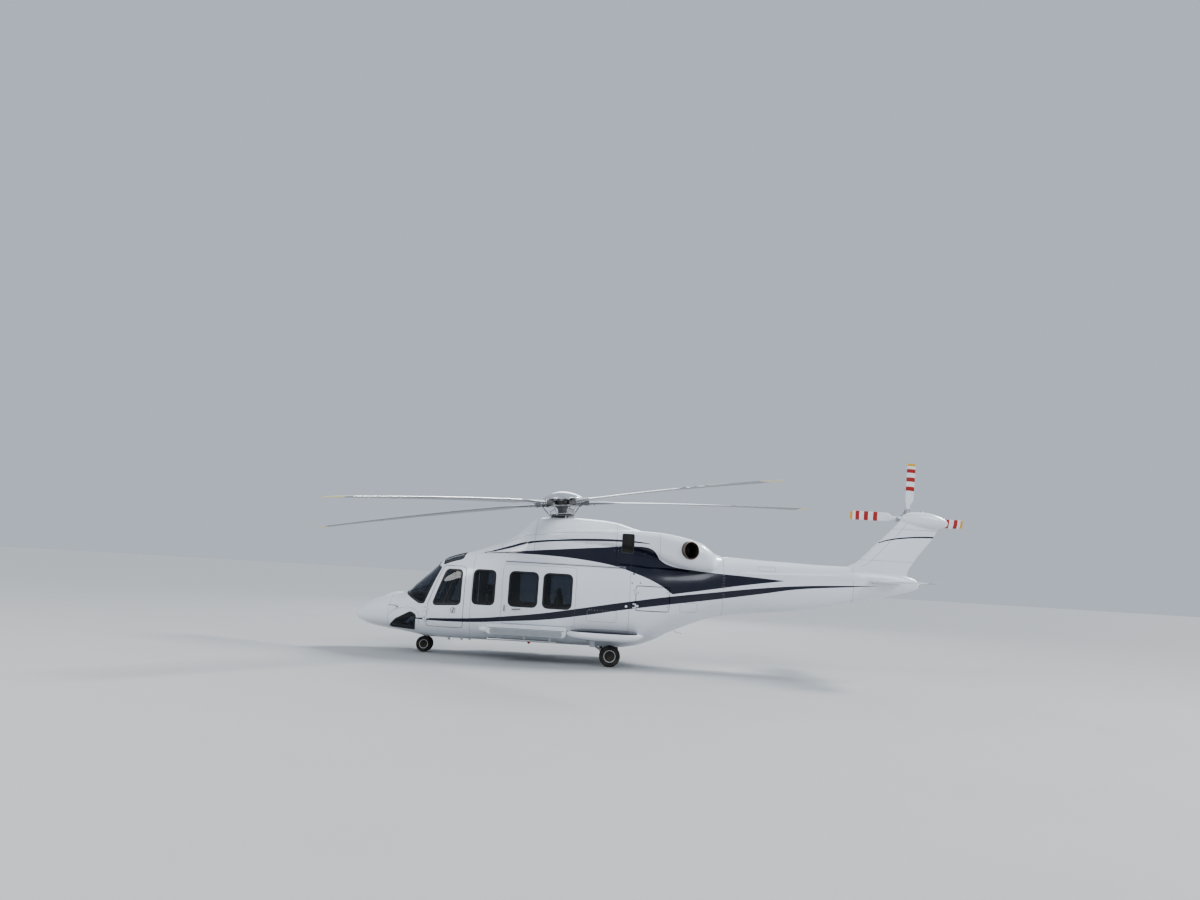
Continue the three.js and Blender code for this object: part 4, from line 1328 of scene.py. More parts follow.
@dataclass(frozen=True)
class RingedPaint(Finish):
    """Bands that follow the distance from a turning axis, as on rotor blades.

    Args:
        centre: A point on the axis, in the frame.
        tilt: The axis's turn about x and y from the frame's z, in radians.
        rings: Outer distance of each band with its colour, from the axis out.
        under: Colour of the side that faces down the axis, painted shade darker than its top, or None to keep
            the bands there.
    """

    centre: tuple[float, float, float] = (0.0, 0.0, 0.0)
    tilt: tuple[float, float] = (0.0, 0.0)
    rings: tuple[tuple[float, tuple[float, float, float]], ...] = ()
    under: tuple[float, float, float] | None = None

    def base_colour(self, graph: Graph, position: bpy.types.NodeSocket) -> bpy.types.NodeSocket:
        """The colour of the band at each distance, with painted shade on the side that faces down.

        Args:
            graph: The material's nodes.
            position: The point, in the frame.

        Returns:
            The colour's socket.
        """
        local = graph.node("ShaderNodeMapping", {"Vector": position, "Location": self.centre,
                                                 "Rotation": (*self.tilt, 0.0)},
                           vector_type="TEXTURE").outputs[0]
        squares = [graph.math("MULTIPLY", part, part) for part in graph.parts(local)[:2]]
        distance = graph.math("SQRT", graph.math("ADD", *squares))
        colour: object = (*self.rings[0][1], 1.0)
        for (edge, _), (_, following) in zip(self.rings, self.rings[1:]):
            colour = graph.mix(graph.past(distance, edge), colour, (*following, 1.0))
        # Painted shade: inboard of the tip band, the side that faces down is drawn darker
        if self.under is not None:
            facing = graph.node("ShaderNodeNewGeometry").outputs["Normal"]
            object_normal = graph.node("ShaderNodeVectorTransform", {0: facing}, vector_type="NORMAL",
                                       convert_from="WORLD", convert_to="OBJECT").outputs[0]
            shaded_underside = graph.math("MULTIPLY", graph.parts(object_normal)[2], -8.0, clamp=True)
            inboard = graph.math("SUBTRACT", 1.0, graph.past(distance, self.rings[-2][0]))
            colour = graph.mix(graph.math("MULTIPLY", shaded_underside, inboard), colour, (*self.under, 1.0))
        return colour


@dataclass(frozen=True)
class StainedMetal(Finish):
    """Metal that heat has tinted, from straw to blue, in soft patches.

    Args:
        brown: Colour where it was hot.
        blue: Colour where it was hottest.
    """

    brown: tuple[float, float, float] = (0.20, 0.12, 0.06)
    blue: tuple[float, float, float] = (0.06, 0.07, 0.12)

    def base_colour(self, graph: Graph, position: bpy.types.NodeSocket) -> bpy.types.NodeSocket:
        """Straw, brown and blue tints in soft patches.

        Args:
            graph: The material's nodes.
            position: The point, in the frame.

        Returns:
            The colour's socket.
        """
        warm = graph.mix(graph.noise(position, 7.0, 4.0), (*self.colour, 1.0), (*self.brown, 1.0))
        blue = graph.scaled(graph.noise(position, 16.0, 2.0), 0.5, 0.75, 0.0, 0.6)
        return graph.mix(blue, warm, (*self.blue, 1.0))


@dataclass(frozen=True)
class Glazing(Finish):
    """Tinted clear plastic that lets the lamps light what is behind it.

    Args:
        tint: Colour of what is seen through it.
        shade_tint: Colour of the light that falls through it.
        smear: How much rougher its smeared places are.
    """

    tint: tuple[float, float, float] = (0.20, 0.23, 0.27)
    shade_tint: tuple[float, float, float] = (0.60, 0.64, 0.68)
    smear: float = 0.03

    def material(self) -> bpy.types.Material:
        """The pane's material, built once."""
        if self.name in bpy.data.materials:
            return bpy.data.materials[self.name]
        made = bpy.data.materials.new(self.name)
        made.use_nodes = True
        made.node_tree.nodes.clear()
        graph = Graph(made.node_tree)
        position = graph.node("ShaderNodeTexCoord").outputs["Object"]
        rough = graph.scaled(graph.noise(position, 5.0, 5.0), 0.4, 0.8, self.roughness,
                             self.roughness + self.smear)
        shader = graph.node("ShaderNodeBsdfPrincipled", {
            "Base Color": (*self.tint, 1.0), "Roughness": rough, "IOR": 1.45, "Transmission Weight": 1.0})
        clear = graph.node("ShaderNodeBsdfTransparent", {0: (*self.shade_tint, 1.0)})
        path = graph.node("ShaderNodeLightPath")
        mixed = graph.node("ShaderNodeMixShader", {0: path.outputs["Is Shadow Ray"], 1: shader.outputs[0],
                                                   2: clear.outputs[0]})
        graph.node("ShaderNodeOutputMaterial", {0: mixed.outputs[0]})
        return made


@dataclass(frozen=True)
class Glow(Finish):
    """A coloured lens, a little lit from within.

    Args:
        strength: How strongly it shines.
    """

    strength: float = 0.15

    def shade(self, graph: Graph, position: bpy.types.NodeSocket, shader: bpy.types.Node) -> None:
        """Adds the glow."""
        shader.inputs["Emission Color"].default_value = (*self.colour, 1.0)
        shader.inputs["Emission Strength"].default_value = self.strength


MAST_X, HUB_HEIGHT, MAST_TILT = 4.560, 3.570, math.radians(5.5)
TAIL_HUB, TAIL_CANT = Vector((12.790, 0.430, 3.690)), math.radians(10)
HUB = Vector((MAST_X, 0, HUB_HEIGHT)) - ORIGIN
TAIL_CENTRE = TAIL_HUB - ORIGIN

WHITE = (0.84, 0.87, 0.91)
RED = (0.42, 0.015, 0.012)
YELLOW = (0.75, 0.42, 0.03)

PAINT = BodyPaint("body_paint", WHITE, 0.24, amount=0.035, patch=1.4, coat=0.35, grain=0.00003,
                  grain_scale=260.0, wave=0.0006)
PLAIN_WHITE = Finish("plain_white", WHITE, 0.25, amount=0.12, coat=0.5, grain=0.00003, grain_scale=300.0)
SEAL = Finish("window_seal", (0.012, 0.012, 0.014), 0.42, amount=0.25, film=(0.10, 0.10, 0.10), grain=0.0001)
SEAM = Finish("seam_shadow", (0.10, 0.11, 0.12), 0.6, amount=0.4)
RUBBER = Finish("tyre_rubber", (0.018, 0.018, 0.019), 0.78, film=(0.20, 0.17, 0.12), amount=0.35, patch=9.0,
                grain=0.0004, grain_scale=420.0)
STEEL = Finish("bare_steel", (0.56, 0.57, 0.59), 0.28, film=(0.12, 0.11, 0.10), amount=0.35, patch=14.0,
               metallic=1.0, grain=0.00015)
CHROME = Finish("chromed_strut", (0.78, 0.79, 0.80), 0.10, amount=0.08, metallic=1.0, grain=0.00002)
CASTING = Finish("grey_casting", (0.20, 0.205, 0.21), 0.55, film=(0.05, 0.045, 0.04), amount=0.5, patch=8.0,
                 grain=0.0006, grain_scale=500.0)
ALLOY = Finish("satin_alloy", (0.62, 0.63, 0.64), 0.36, film=(0.18, 0.17, 0.16), amount=0.3, patch=10.0,
               metallic=0.9, grain=0.0002)
CAP_ALLOY = Finish("cap_alloy", (0.72, 0.73, 0.75), 0.16, film=(0.3, 0.3, 0.3), amount=0.2, patch=6.0,
                   metallic=0.85, coat=0.4, grain=0.00005)
DARK_METAL = Finish("dark_metal", (0.07, 0.07, 0.075), 0.5, amount=0.4, metallic=0.6, patch=12.0)
PIPE = StainedMetal("exhaust_pipe", (0.34, 0.30, 0.26), 0.38, film=(0.03, 0.03, 0.03), amount=0.35, patch=9.0,
                    metallic=0.9, grain=0.0002)
SOOT = Finish("exhaust_soot", (0.02, 0.018, 0.016), 0.8, film=(0.07, 0.06, 0.05), amount=0.6, patch=12.0)
GEAR_PAINT = Finish("gear_paint", (0.62, 0.64, 0.66), 0.4, amount=0.35, patch=11.0)
# Painted shade: the lower face of a step fairing, drawn darker than its white top band
STEP_SHADE = Finish("step_grey", (0.40, 0.43, 0.45), 0.45, amount=0.2, patch=6.0)
TRIM = Finish("cabin_trim", (0.055, 0.058, 0.065), 0.7, amount=0.25, pebbles=700.0, pebble_height=0.0003)
LINING = Finish("cabin_lining", (0.50, 0.47, 0.42), 0.75, amount=0.2, film=(0.3, 0.28, 0.24), pebbles=500.0)
CARPET = Finish("carpet", (0.07, 0.075, 0.09), 0.95, amount=0.4, film=(0.12, 0.11, 0.10), sheen=0.3,
                grain=0.003, grain_scale=700.0)
LEATHER = Finish("seat_leather", (0.56, 0.50, 0.41), 0.48, film=(0.36, 0.30, 0.23), amount=0.35, patch=7.0,
                 sheen=0.1, pebbles=620.0, pebble_height=0.0005)
THREAD = Finish("seat_thread", (0.70, 0.66, 0.58), 0.7)
SCREEN = Finish("display_glass", (0.004, 0.006, 0.010), 0.08, amount=0.05, coat=1.0, grain=0.0)
GLASS = Glazing("window_glass", (0.3, 0.3, 0.3), 0.01)
# The intake panel: the screen's own dark mesh, and painted shade of the duct behind it
MESH_SCREEN_AND_SHADE = Finish("intake_mesh", (0.05, 0.048, 0.046), 0.6, film=(0.05, 0.045, 0.04), amount=0.6,
                     patch=16.0, metallic=0.5)
RED_LENS = Glow("red_lens", (0.5, 0.02, 0.01), 0.1, coat=1.0)
GREEN_LENS = Glow("green_lens", (0.01, 0.35, 0.08), 0.1, coat=1.0)
CLEAR_LENS = Glow("clear_lens", (0.75, 0.77, 0.8), 0.1, coat=1.0)
FLOOR = Finish("studio_floor", (0.50, 0.51, 0.52), 0.8, film=(0.47, 0.48, 0.49), amount=0.4, patch=0.6,
               grain=0.0)
DECK_PAINT = DeckPaint("sponson_paint", WHITE, 0.25, amount=0.05, coat=0.3, grain=0.00003, grain_scale=260.0)
AMBER_LENS = Glow("amber_lens", (0.8, 0.25, 0.03), 0.1, coat=1.0)
# Painted shade: the blades' undersides are drawn darker than their tops
BLADE = RingedPaint("main_blade_paint", WHITE, 0.3, amount=0.15, patch=2.0, coat=0.3, centre=tuple(HUB),
                    tilt=(0.0, -MAST_TILT), under=(0.16, 0.18, 0.21),
                    rings=((6.35, (0.62, 0.65, 0.70)), (6.80, (0.80, 0.72, 0.35))))
TAIL_BLADE_PAINT = RingedPaint(
    "tail_blade_paint", WHITE, 0.3, amount=0.12, patch=4.0, coat=0.4, centre=tuple(TAIL_CENTRE),
    tilt=(TAIL_CANT - math.pi / 2, 0.0),
    rings=((0.70, WHITE), (0.80, RED), (0.92, WHITE), (1.02, RED), (1.13, WHITE), (1.22, RED), (1.29, WHITE),
           (1.40, YELLOW)))


class Trees:
    """Geometry node trees for what repeats along a path. Each is built once."""

    made: dict[str, bpy.types.NodeTree] = {}

    @classmethod
    def tree(cls, name: str, inputs: dict[str, str],
             fill: Callable[[Graph, dict], bpy.types.NodeSocket]) -> bpy.types.NodeTree:
        """A tree of this name, filled when it is new, that ends in realized and finished geometry.

        Args:
            name: The tree's name.
            inputs: Socket kinds by name.
            fill: Places its nodes, given the graph and the input sockets, and gives their geometry.

        Returns:
            The tree.
        """
        if name not in cls.made:
            tree = bpy.data.node_groups.new(name, "GeometryNodeTree")
            tree.interface.new_socket("Paths", in_out="INPUT", socket_type="NodeSocketGeometry")
            for label, kind in (inputs | {"Finish": "Material"}).items():
                tree.interface.new_socket(label, in_out="INPUT", socket_type=f"NodeSocket{kind}")
            tree.interface.new_socket("Result", in_out="OUTPUT", socket_type="NodeSocketGeometry")
            graph = Graph(tree)
            entry = graph.node("NodeGroupInput")
            given = {label: entry.outputs[label] for label in ("Paths", *inputs, "Finish")}
            real = graph.node("GeometryNodeRealizeInstances", {0: fill(graph, given)}).outputs[0]
            done = graph.node("GeometryNodeSetMaterial",
                              {"Geometry": real, "Material": given["Finish"]}).outputs[0]
            graph.node("NodeGroupOutput", {0: done})
            cls.made[name] = tree
        return cls.made[name]

    @classmethod
    def beads(cls) -> bpy.types.NodeTree:
        """A round bead along each path, for seams, seals, pipes and rails."""

        def fill(graph: Graph, given: dict) -> bpy.types.NodeSocket:
            """Sweeps a circle along the paths.

            Args:
                graph: The group's nodes.
                given: The input sockets by name.

            Returns:
                The instances or the swept mesh.
            """
            curve = graph.node("GeometryNodeMeshToCurve", {0: given["Paths"]}).outputs[0]
            section = graph.node("GeometryNodeCurvePrimitiveCircle",
                                 {"Resolution": 6, "Radius": given["Radius"]})
            return graph.node("GeometryNodeCurveToMesh", {"Curve": curve, "Profile Curve": section.outputs[0],
                                                          "Fill Caps": True}).outputs[0]

        return cls.tree("beads", {"Radius": "Float"}, fill)

    @classmethod
    def studs(cls) -> bpy.types.NodeTree:
        """Low round heads at an even pitch along each path, standing on the skin."""

        def fill(graph: Graph, given: dict) -> bpy.types.NodeSocket:
            """Stands a low cone at each point.

            Args:
                graph: The group's nodes.
                given: The input sockets by name.

            Returns:
                The instances or the swept mesh.
            """
            head = graph.node("GeometryNodeMeshCone", {"Vertices": given["Sides"], "Radius Top": graph.math(
                "MULTIPLY", given["Radius"], 0.7), "Radius Bottom": given["Radius"],
                                                       "Depth": given["Height"]})
            return cls.placed(graph, given, head.outputs["Mesh"])

        return cls.tree("studs", {"Pitch": "Float", "Radius": "Float", "Height": "Float", "Sides": "Int"},
                        fill)

    @classmethod
    def slats(cls) -> bpy.types.NodeTree:
        """Small bars across each path at an even pitch, for louvres, treads and ribs."""

        def fill(graph: Graph, given: dict) -> bpy.types.NodeSocket:
            """Stands a bar at each point."""
            bar = graph.node("GeometryNodeMeshCube", {"Size": given["Size"]})
            return cls.placed(graph, given, bar.outputs["Mesh"])

        return cls.tree("slats", {"Pitch": "Float", "Size": "Vector"}, fill)

    @staticmethod
    def placed(graph: Graph, given: dict, shape: bpy.types.NodeSocket) -> bpy.types.NodeSocket:
        """Puts a shape along the paths, its z on the path's up direction and its x along the path.

        Args:
            graph: The tree's nodes.
            given: The input sockets by name.
            shape: What is placed.

        Returns:
            The instances.
        """
        curve = graph.node("GeometryNodeMeshToCurve", {0: given["Paths"]}).outputs[0]
        points = graph.node("GeometryNodeResampleCurve", {"Curve": curve, "Length": given["Pitch"]},
                            mode="LENGTH")
        upward = graph.node("GeometryNodeInputNamedAttribute", {"Name": "up"}, data_type="FLOAT_VECTOR")
        stand = graph.node("FunctionNodeAlignRotationToVector", {"Vector": upward.outputs[0]}, axis="Z")
        ahead = graph.node("GeometryNodeInputTangent")
        turn = graph.node("FunctionNodeAlignRotationToVector", {"Rotation": stand.outputs[0],
                                                                "Vector": ahead.outputs[0]}, axis="X",
                          pivot_axis="Z")
        return graph.node("GeometryNodeInstanceOnPoints", {"Points": points.outputs[0], "Instance": shape,
                                                           "Rotation": turn.outputs[0]}).outputs[0]


@dataclass
class Route:
    """A path that something repeats along or follows.

    Args:
        points: The path, in layout coordinates.
        ups: The outward direction at each point, or one for all.
        closed: Whether the last point joins the first.
    """

    points: Sequence[Vector]
    ups: Sequence[Vector]
    closed: bool = False


def skin_route(points: Sequence[Vector], skin: Surface, closed: bool = False) -> Route:
    """A route on a skin, with the skin's own outward directions."""
    directions = skin.normals(np.array([tuple(p) for p in points]))
    return Route(points, [Vector(d) for d in directions], closed)


def grow(name: str, tree: bpy.types.NodeTree, routes: Sequence[Route], finish: Finish,
         **sizes: object) -> bpy.types.Object:
    """Runs a geometry node tree over routes and keeps the result as a plain mesh.

    Args:
        name: The piece's name.
        tree: The tree.
        routes: Where it runs.
        finish: The finish that the tree sets.
        **sizes: The tree's named inputs, with spaces written as underscores.

    Returns:
        The mesh object.
    """
    vertices: list[tuple] = []
    edges: list[tuple[int, int]] = []
    ups: list[float] = []
    for route in routes:
        start, count = len(vertices), len(route.points)
        vertices.extend(tuple(Vector(point) - ORIGIN) for point in route.points)
        edges.extend((start + i, start + i + 1) for i in range(count - 1))
        if route.closed:
            edges.append((start + count - 1, start))
        along = list(route.ups) if len(route.ups) == count else [route.ups[0]] * count
        for direction in along:
            ups.extend(direction)
    mesh = bpy.data.meshes.new(name)
    mesh.from_pydata(vertices, edges, [])
    mesh.attributes.new("up", "FLOAT_VECTOR", "POINT").data.foreach_set("vector", ups)
    obj = bpy.data.objects.new(name, mesh)
    bpy.context.scene.collection.objects.link(obj)
    modifier = obj.modifiers.new("growth", "NODES")
    modifier.node_group = tree
    values = {key.replace("_", " "): value for key, value in sizes.items()} | {"Finish": finish.material()}
    for item in tree.interface.items_tree:
        if item.in_out == "INPUT" and item.name in values:
            modifier[item.identifier] = values[item.name]
    bpy.context.view_layer.update()
    result = bpy.data.meshes.new_from_object(obj.evaluated_get(bpy.context.evaluated_depsgraph_get()))
    obj.modifiers.remove(modifier)
    obj.data = result
    result.name = name
    bpy.data.meshes.remove(mesh)
    smooth(result, 35)
    return obj


def edging(stock: Stock, path: Sequence[Vector], skin: Surface,
           profile: Sequence[tuple[float, float]]) -> Stock:
    """Sweeps a section round a closed path on a skin.

    Args:
        stock: Where the edging is added.
        path: Points on the skin, in order.
        skin: The skin.
        profile: Corners of the section, as distance outwards from the path and height over the skin.

    Returns:
        The stock.
    """
    normals = [Vector(n) for n in skin.normals(np.array([tuple(p) for p in path]))]
    middle = sum(path, Vector()) / len(path)
    count = len(path)
    outward = []
    for index, point in enumerate(path):
        along = path[(index + 1) % count] - path[index - 1]
        across = along.cross(normals[index]).normalized()
        outward.append(across if across.dot(point - middle) > 0 else -across)
    rings = [[path[i] + outward[i] * distance + normals[i] * height for i in range(count)]
             for distance, height in profile]
    return stock.loft(rings, loop=True)


SEAL_SECTION = ((-0.022, -0.010), (-0.022, -0.003), (-0.014, 0.0025), (0.018, 0.0035), (0.025, 0.001),
                (0.025, -0.002), (-0.002, -0.002), (-0.002, -0.010))


def spaced(start: float, end: float, pitch: float) -> np.ndarray:
    """Stations from start to end at about a pitch, closer together near the nose tip.

    Args:
        start: Where it starts.
        end: Where it ends.
        pitch: About how far apart the stations are.

    Returns:
        The stations.
    """
    if start < 0.1:
        return np.linspace(math.sqrt(start), math.sqrt(end), 36) ** 2
    return np.linspace(start, end, max(int(math.ceil((end - start) / pitch)), 2) + 1)


def wall_rings(stations: Sequence[float], outer: float, inner: float) -> list[np.ndarray]:
    """Rings of the body at one inset, and back again at a deeper one."""
    return [HULL.ring(s, outer) for s in stations] + [HULL.ring(s, inner) for s in stations[::-1]]


def side_prism(outline: Outline, reach: tuple[float, float] = PORT_REACH) -> Stock:
    """An outline pushed through the port side of the body."""
    return Stock().prism(outline, *reach)


def roof_prism(outline: Outline) -> Stock:
    """An outline pushed up through the port side of the roof."""
    return Stock().prism([(x, -y) for x, y in outline], *ROOF_REACH, "z")


def baggage_prism(outline: Outline) -> Stock:
    """The hold door's outline pushed through the tapering side, square to it.

    Args:
        outline: The closed outline.

    Returns:
        The cutter.
    """
    turn = (Matrix.Translation((BAGGAGE_DOOR_START, BAGGAGE_PIVOT_Y, 0)) @ Matrix.Rotation(BAGGAGE_YAW, 4,
                                                                                           "Z")
            @ Matrix.Translation((-BAGGAGE_DOOR_START, 0, 0)))
    return Stock().prism(outline, -0.9, 0.7).moved(turn)


def screen_path() -> list[Vector]:
    """The port windscreen's edge on the skin, from the post round its side."""
    front, back = 1.215, 1.925
    low_side, high_side = 1.340, 2.010
    corner = HULL.side(front, low_side)
    path = [HULL.top(front, -y) for y in np.linspace(SCREEN_POST, -corner.y, 14)]
    flank = [Vector((x, z, 0)) for x, z in WINDSCREEN
             if z < high_side - 0.02 and (x > front + 0.03 or z < low_side)]
    path += [HULL.side(point.x, point.y) for point in resampled(flank, 0.02, False)]
    corner = HULL.side(back, high_side)
    path += [HULL.top(back, -y) for y in np.linspace(-corner.y, SCREEN_POST, 18)]
    path += [HULL.top(x, -SCREEN_POST) for x in np.linspace(back, front, 24)[1:-1]]
    return resampled(path, 0.02, True)


@dataclass
class Airframe:
    """The fuselage shells with their windows, and everything laid on them.

    Args:
        pitch: Distance between the rings of a shell.
        seam: Half width of a panel joint.
        gap: Clearance around a door leaf.
        hollow: Stations between which the nose and the tail cone are hollow.
        bay: The nose wheels' bay: first and last station, half width, lowest and highest place.
    """

    pitch: float = 0.065
    seam: float = 0.0022
    gap: float = 0.010
    hollow: tuple[float, float] = (0.12, 12.70)
    bay: tuple[float, ...] = (1.330, 1.960, 0.215, 0.430, 0.640)

    # Hatches on the side: first and last station, lowest and highest place
    HATCHES = ((5.30, 5.95, 0.95, 1.20), (7.35, 7.75, 1.25, 1.45), (9.15, 9.55, 2.26, 2.36))
    # The curved joint over the chin window, as station and height
    CHIN_JOINT = ((0.885, 0.800), (0.960, 0.880), (1.060, 0.945), (1.180, 0.990), (1.310, 1.012),
                  (1.430, 1.005), (1.530, 0.965), (1.600, 0.895), (1.625, 0.800), (1.625, 0.640))

    def shell(self, name: str, start: float, end: float) -> bpy.types.Object:
        """One hollow length of the fuselage, as thick as its wall.

        Args:
            name: The piece's name.
            start: Its first station.
            end: Its last station.

        Returns:
            The piece.
        """
        stations = spaced(start, end, self.pitch)
        outer = [HULL.ring(s) for s in stations]
        if start < 0.1:
            inner = [HULL.ring(s, WALL) for s in stations if s > self.hollow[0]]
            rings, loop = outer + inner[::-1], False
        elif end > SPLIT["end"] - 0.01:
            inner = [HULL.ring(s, WALL) for s in stations if s < self.hollow[1]]
            rings, loop = inner[::-1] + outer, False
        else:
            inner = [HULL.ring(s, WALL) for s in stations]
            rings, loop = outer + inner[::-1], True
        return Stock().loft(rings, cap=not loop, loop=loop).made(name, PAINT.material())

    def openings(self, name: str) -> list[Stock]:
        """The port openings of a shell.

        Args:
            name: The shell's CAD node.

        Returns:
            A cutter for each.
        """
        return {
            "cockpit_frame": [side_prism(WINDSCREEN, (PORT_REACH[0], -SCREEN_POST)),
                              side_prism(CHIN_WINDOW, CHIN_REACH), roof_prism(ROOF_WINDOW),
                              side_prism(grown(CREW_DOOR, self.gap))],
            "cabin_shell": [side_prism(SIDE_WINDOW), side_prism(grown(CABIN_DOOR, 0.004))],
            "aft_fuselage": [baggage_prism(grown(BAGGAGE_DOOR, self.gap + 0.005))],
        }.get(name, [])

    def build(self) -> None:
        """Makes every shell, cut and smoothed."""
        spans = {"nose_cone": (0.0, SPLIT["nose"]), "cockpit_frame": (SPLIT["nose"], SPLIT["cabin"]),
                 "cabin_shell": (SPLIT["cabin"], SPLIT["aft"]), "aft_fuselage": (SPLIT["aft"], SPLIT["boom"]),
                 "tail_boom": (SPLIT["boom"], SPLIT["end"])}
        for name, (start, end) in spans.items():
            shell = self.shell(name + "_skin", start, end - 0.0003)
            for cutter in self.openings(name):
                carve(shell, cutter, Cut.AWAY)
                carve(shell, cutter.mirrored(), Cut.AWAY)
            if name == "cockpit_frame":
                x0, x1, half, _, roof = self.bay
                carve(shell, Stock().block((x0, -half, 0.0), (x1, half, roof)), Cut.AWAY)
            dress_skin(shell, HULL, LINING.material())
            rode(shell, "airframe", "skin_white", name)
        self.bulkheads()
        self.joints()

    def bulkheads(self) -> None:
        """The wall behind the cabin, and the nose wheel's bay."""
        wall = Stock()
        wall.loft([HULL.ring(SPLIT["aft"] + 0.002, WALL - 0.004),
                   HULL.ring(SPLIT["aft"] + 0.028, WALL - 0.004)])
        rode(wall.made("cabin_bulkhead", LINING.material()), "airframe", "cabin_trim")
        x0, x1, half, low, roof = self.bay
        wide, top = half + WALL, roof + WALL
        bay = Stock().block((x0 - WALL, -wide, low), (x0, wide, top))
        bay.block((x1, -wide, low), (x1 + WALL, wide, top))
        bay.block((x0, -wide, low), (x1, -half, top))
        bay.block((x0, half, low), (x1, wide, top))
        bay.block((x0, -half, roof), (x1, half, top))
        bay.turned((1.620, 0, 0.560), Z_AXIS, [(0, 0.05), (0.0, 0.09), (0.085, 0.09)])
        rode(bay.made("nose_wheel_bay", GEAR_PAINT.material()), "airframe", "gear_steel")

    def ring_route(self, station: float, proud: float = 0.0) -> Route:
        """The joint round the body at a station."""
        points = [Vector(p) for p in HULL.ring(station, -proud)]
        return skin_route(points, HULL, True)

    def joints(self) -> None:
        """Panel joints and the fasteners beside them."""
        seams = [self.ring_route(station) for station in (SPLIT["nose"], SPLIT["boom"], 11.35)]
        studs = []
        for side in Side:
            for split in ("cabin", "aft"):
                upright = [HULL.side(SPLIT[split], z, side.value) for z in np.linspace(0.45, 2.24, 40)]
                seams.append(skin_route(upright, HULL))
            seams.append(skin_route(hull_path(grown(CABIN_DOOR, 0.002), side), HULL, True))
            chin = resampled([Vector((x, z, 0)) for x, z in self.CHIN_JOINT], 0.02, False)
            seams.append(skin_route([HULL.side(point.x, point.y, side.value) for point in chin], HULL))
            for station in (SPLIT["boom"] - 0.02, SPLIT["boom"] + 0.02):
                line = [HULL.side(station, z, side.value) for z in np.linspace(1.30, 2.38, 30)]
                studs.append(skin_route(line, HULL))
            for place in self.HATCHES:
                hatch = rounded(rectangle(*place), 0.03)
                seams.append(skin_route(hull_path(hatch, side), HULL, True))
                studs.append(skin_route(hull_path(grown(hatch, -0.015), side), HULL, True))
            belly = [HULL.side(x, 0.62, side.value) for x in np.linspace(5.1, 7.2, 30)]
            studs.append(skin_route(belly, HULL))
        rode(grow("panel_joints", Trees.beads(), seams, SEAM, Radius=self.seam), "airframe", "skin_white")
        rode(grow("panel_fasteners", Trees.studs(), studs, PLAIN_WHITE, Pitch=0.06, Radius=0.005,
                  Height=0.002, Sides=8), "airframe", "skin_white")


@dataclass
class Windows:
    """Every pane with the dark seal round it.

    Args:
        depth: How far a pane lies inside the skin.
        thick: Its thickness.
        slit: Clearance between a pane and its opening.
        spare: How far past its opening a pane reaches before it is cut out.
    """

    depth: float = 0.010
    thick: float = 0.007
    slit: float = 0.001
    spare: float = 0.03

    def pane(self, name: str, span: tuple[float, float], cutter: Stock) -> bpy.types.Object:
        """A port pane that follows the skin.

        Args:
            name: The piece's name.
            span: Its first and last station.
            cutter: What it is cut out with.

        Returns:
            The pane.
        """
        rings = wall_rings(spaced(*span, 0.04), self.depth, self.depth + self.thick)
        pane = Stock().loft(rings, loop=True).made(name, GLASS.material())
        carve(pane, cutter, Cut.KEEP)
        dress_skin(pane, HULL)
        return pane

    def kinds(self) -> Iterable[tuple[str, Outline, tuple[float, float], Stock, str]]:
        """Each kind of pane: its name, outline and span, the port cutter, and the body that it rides on."""
        table = (("windshield", WINDSCREEN, (PORT_REACH[0], -SCREEN_POST - self.slit), "airframe"),
                 ("chin_window", CHIN_WINDOW, CHIN_REACH, "airframe"),
                 ("side_window", SIDE_WINDOW, PORT_REACH, "airframe"),
                 ("crew_door_glass", CREW_WINDOW, PORT_REACH, "pilot_door"),
                 ("cabin_window_front", DOOR_WINDOWS[0], PORT_REACH, "airframe"),
                 ("cabin_window_rear", DOOR_WINDOWS[1], PORT_REACH, "airframe"))
        for name, outline, reach, body in table:
            xs = [x for x, _ in outline]
            span = (min(xs) - self.spare, max(xs) + self.spare)
            yield name, outline, span, side_prism(grown(outline, -self.slit), reach), body
        yield "roof_window", ROOF_WINDOW, (1.98, 2.54), roof_prism(grown(ROOF_WINDOW, -self.slit)), "airframe"

    def build(self) -> None:
        """Makes the panes and seals on both sides."""
        for name, outline, span, cutter, body in self.kinds():
            port = self.pane(f"{name}_pane", span, cutter)
            for side, pane in both_sides(port, f"{name}_pane", Side.LEFT).items():
                ride = body if body == "airframe" else f"{body}_{side.label}"
                rode(pane, ride, "window", f"{name}_{side.label}")
                seal = self.seal(name, outline).on(side, Side.LEFT)
                rode(seal.made(f"{name}_seal_{side.label}", SEAL.material(), 60), ride, "window")

    def seal(self, name: str, outline: Outline) -> Stock:
        """The seal round the port pane of this kind.

        Args:
            name: The kind of pane.
            outline: The pane's outline.

        Returns:
            The seal's shape.
        """
        if name == "windshield":
            return edging(Stock(), screen_path(), HULL, SEAL_SECTION)
        if name == "roof_window":
            return edging(Stock(), [HULL.top(x, -y) for x, y in evenly(outline)], HULL, SEAL_SECTION)
        return edging(Stock(), hull_path(outline, Side.LEFT), HULL, SEAL_SECTION)


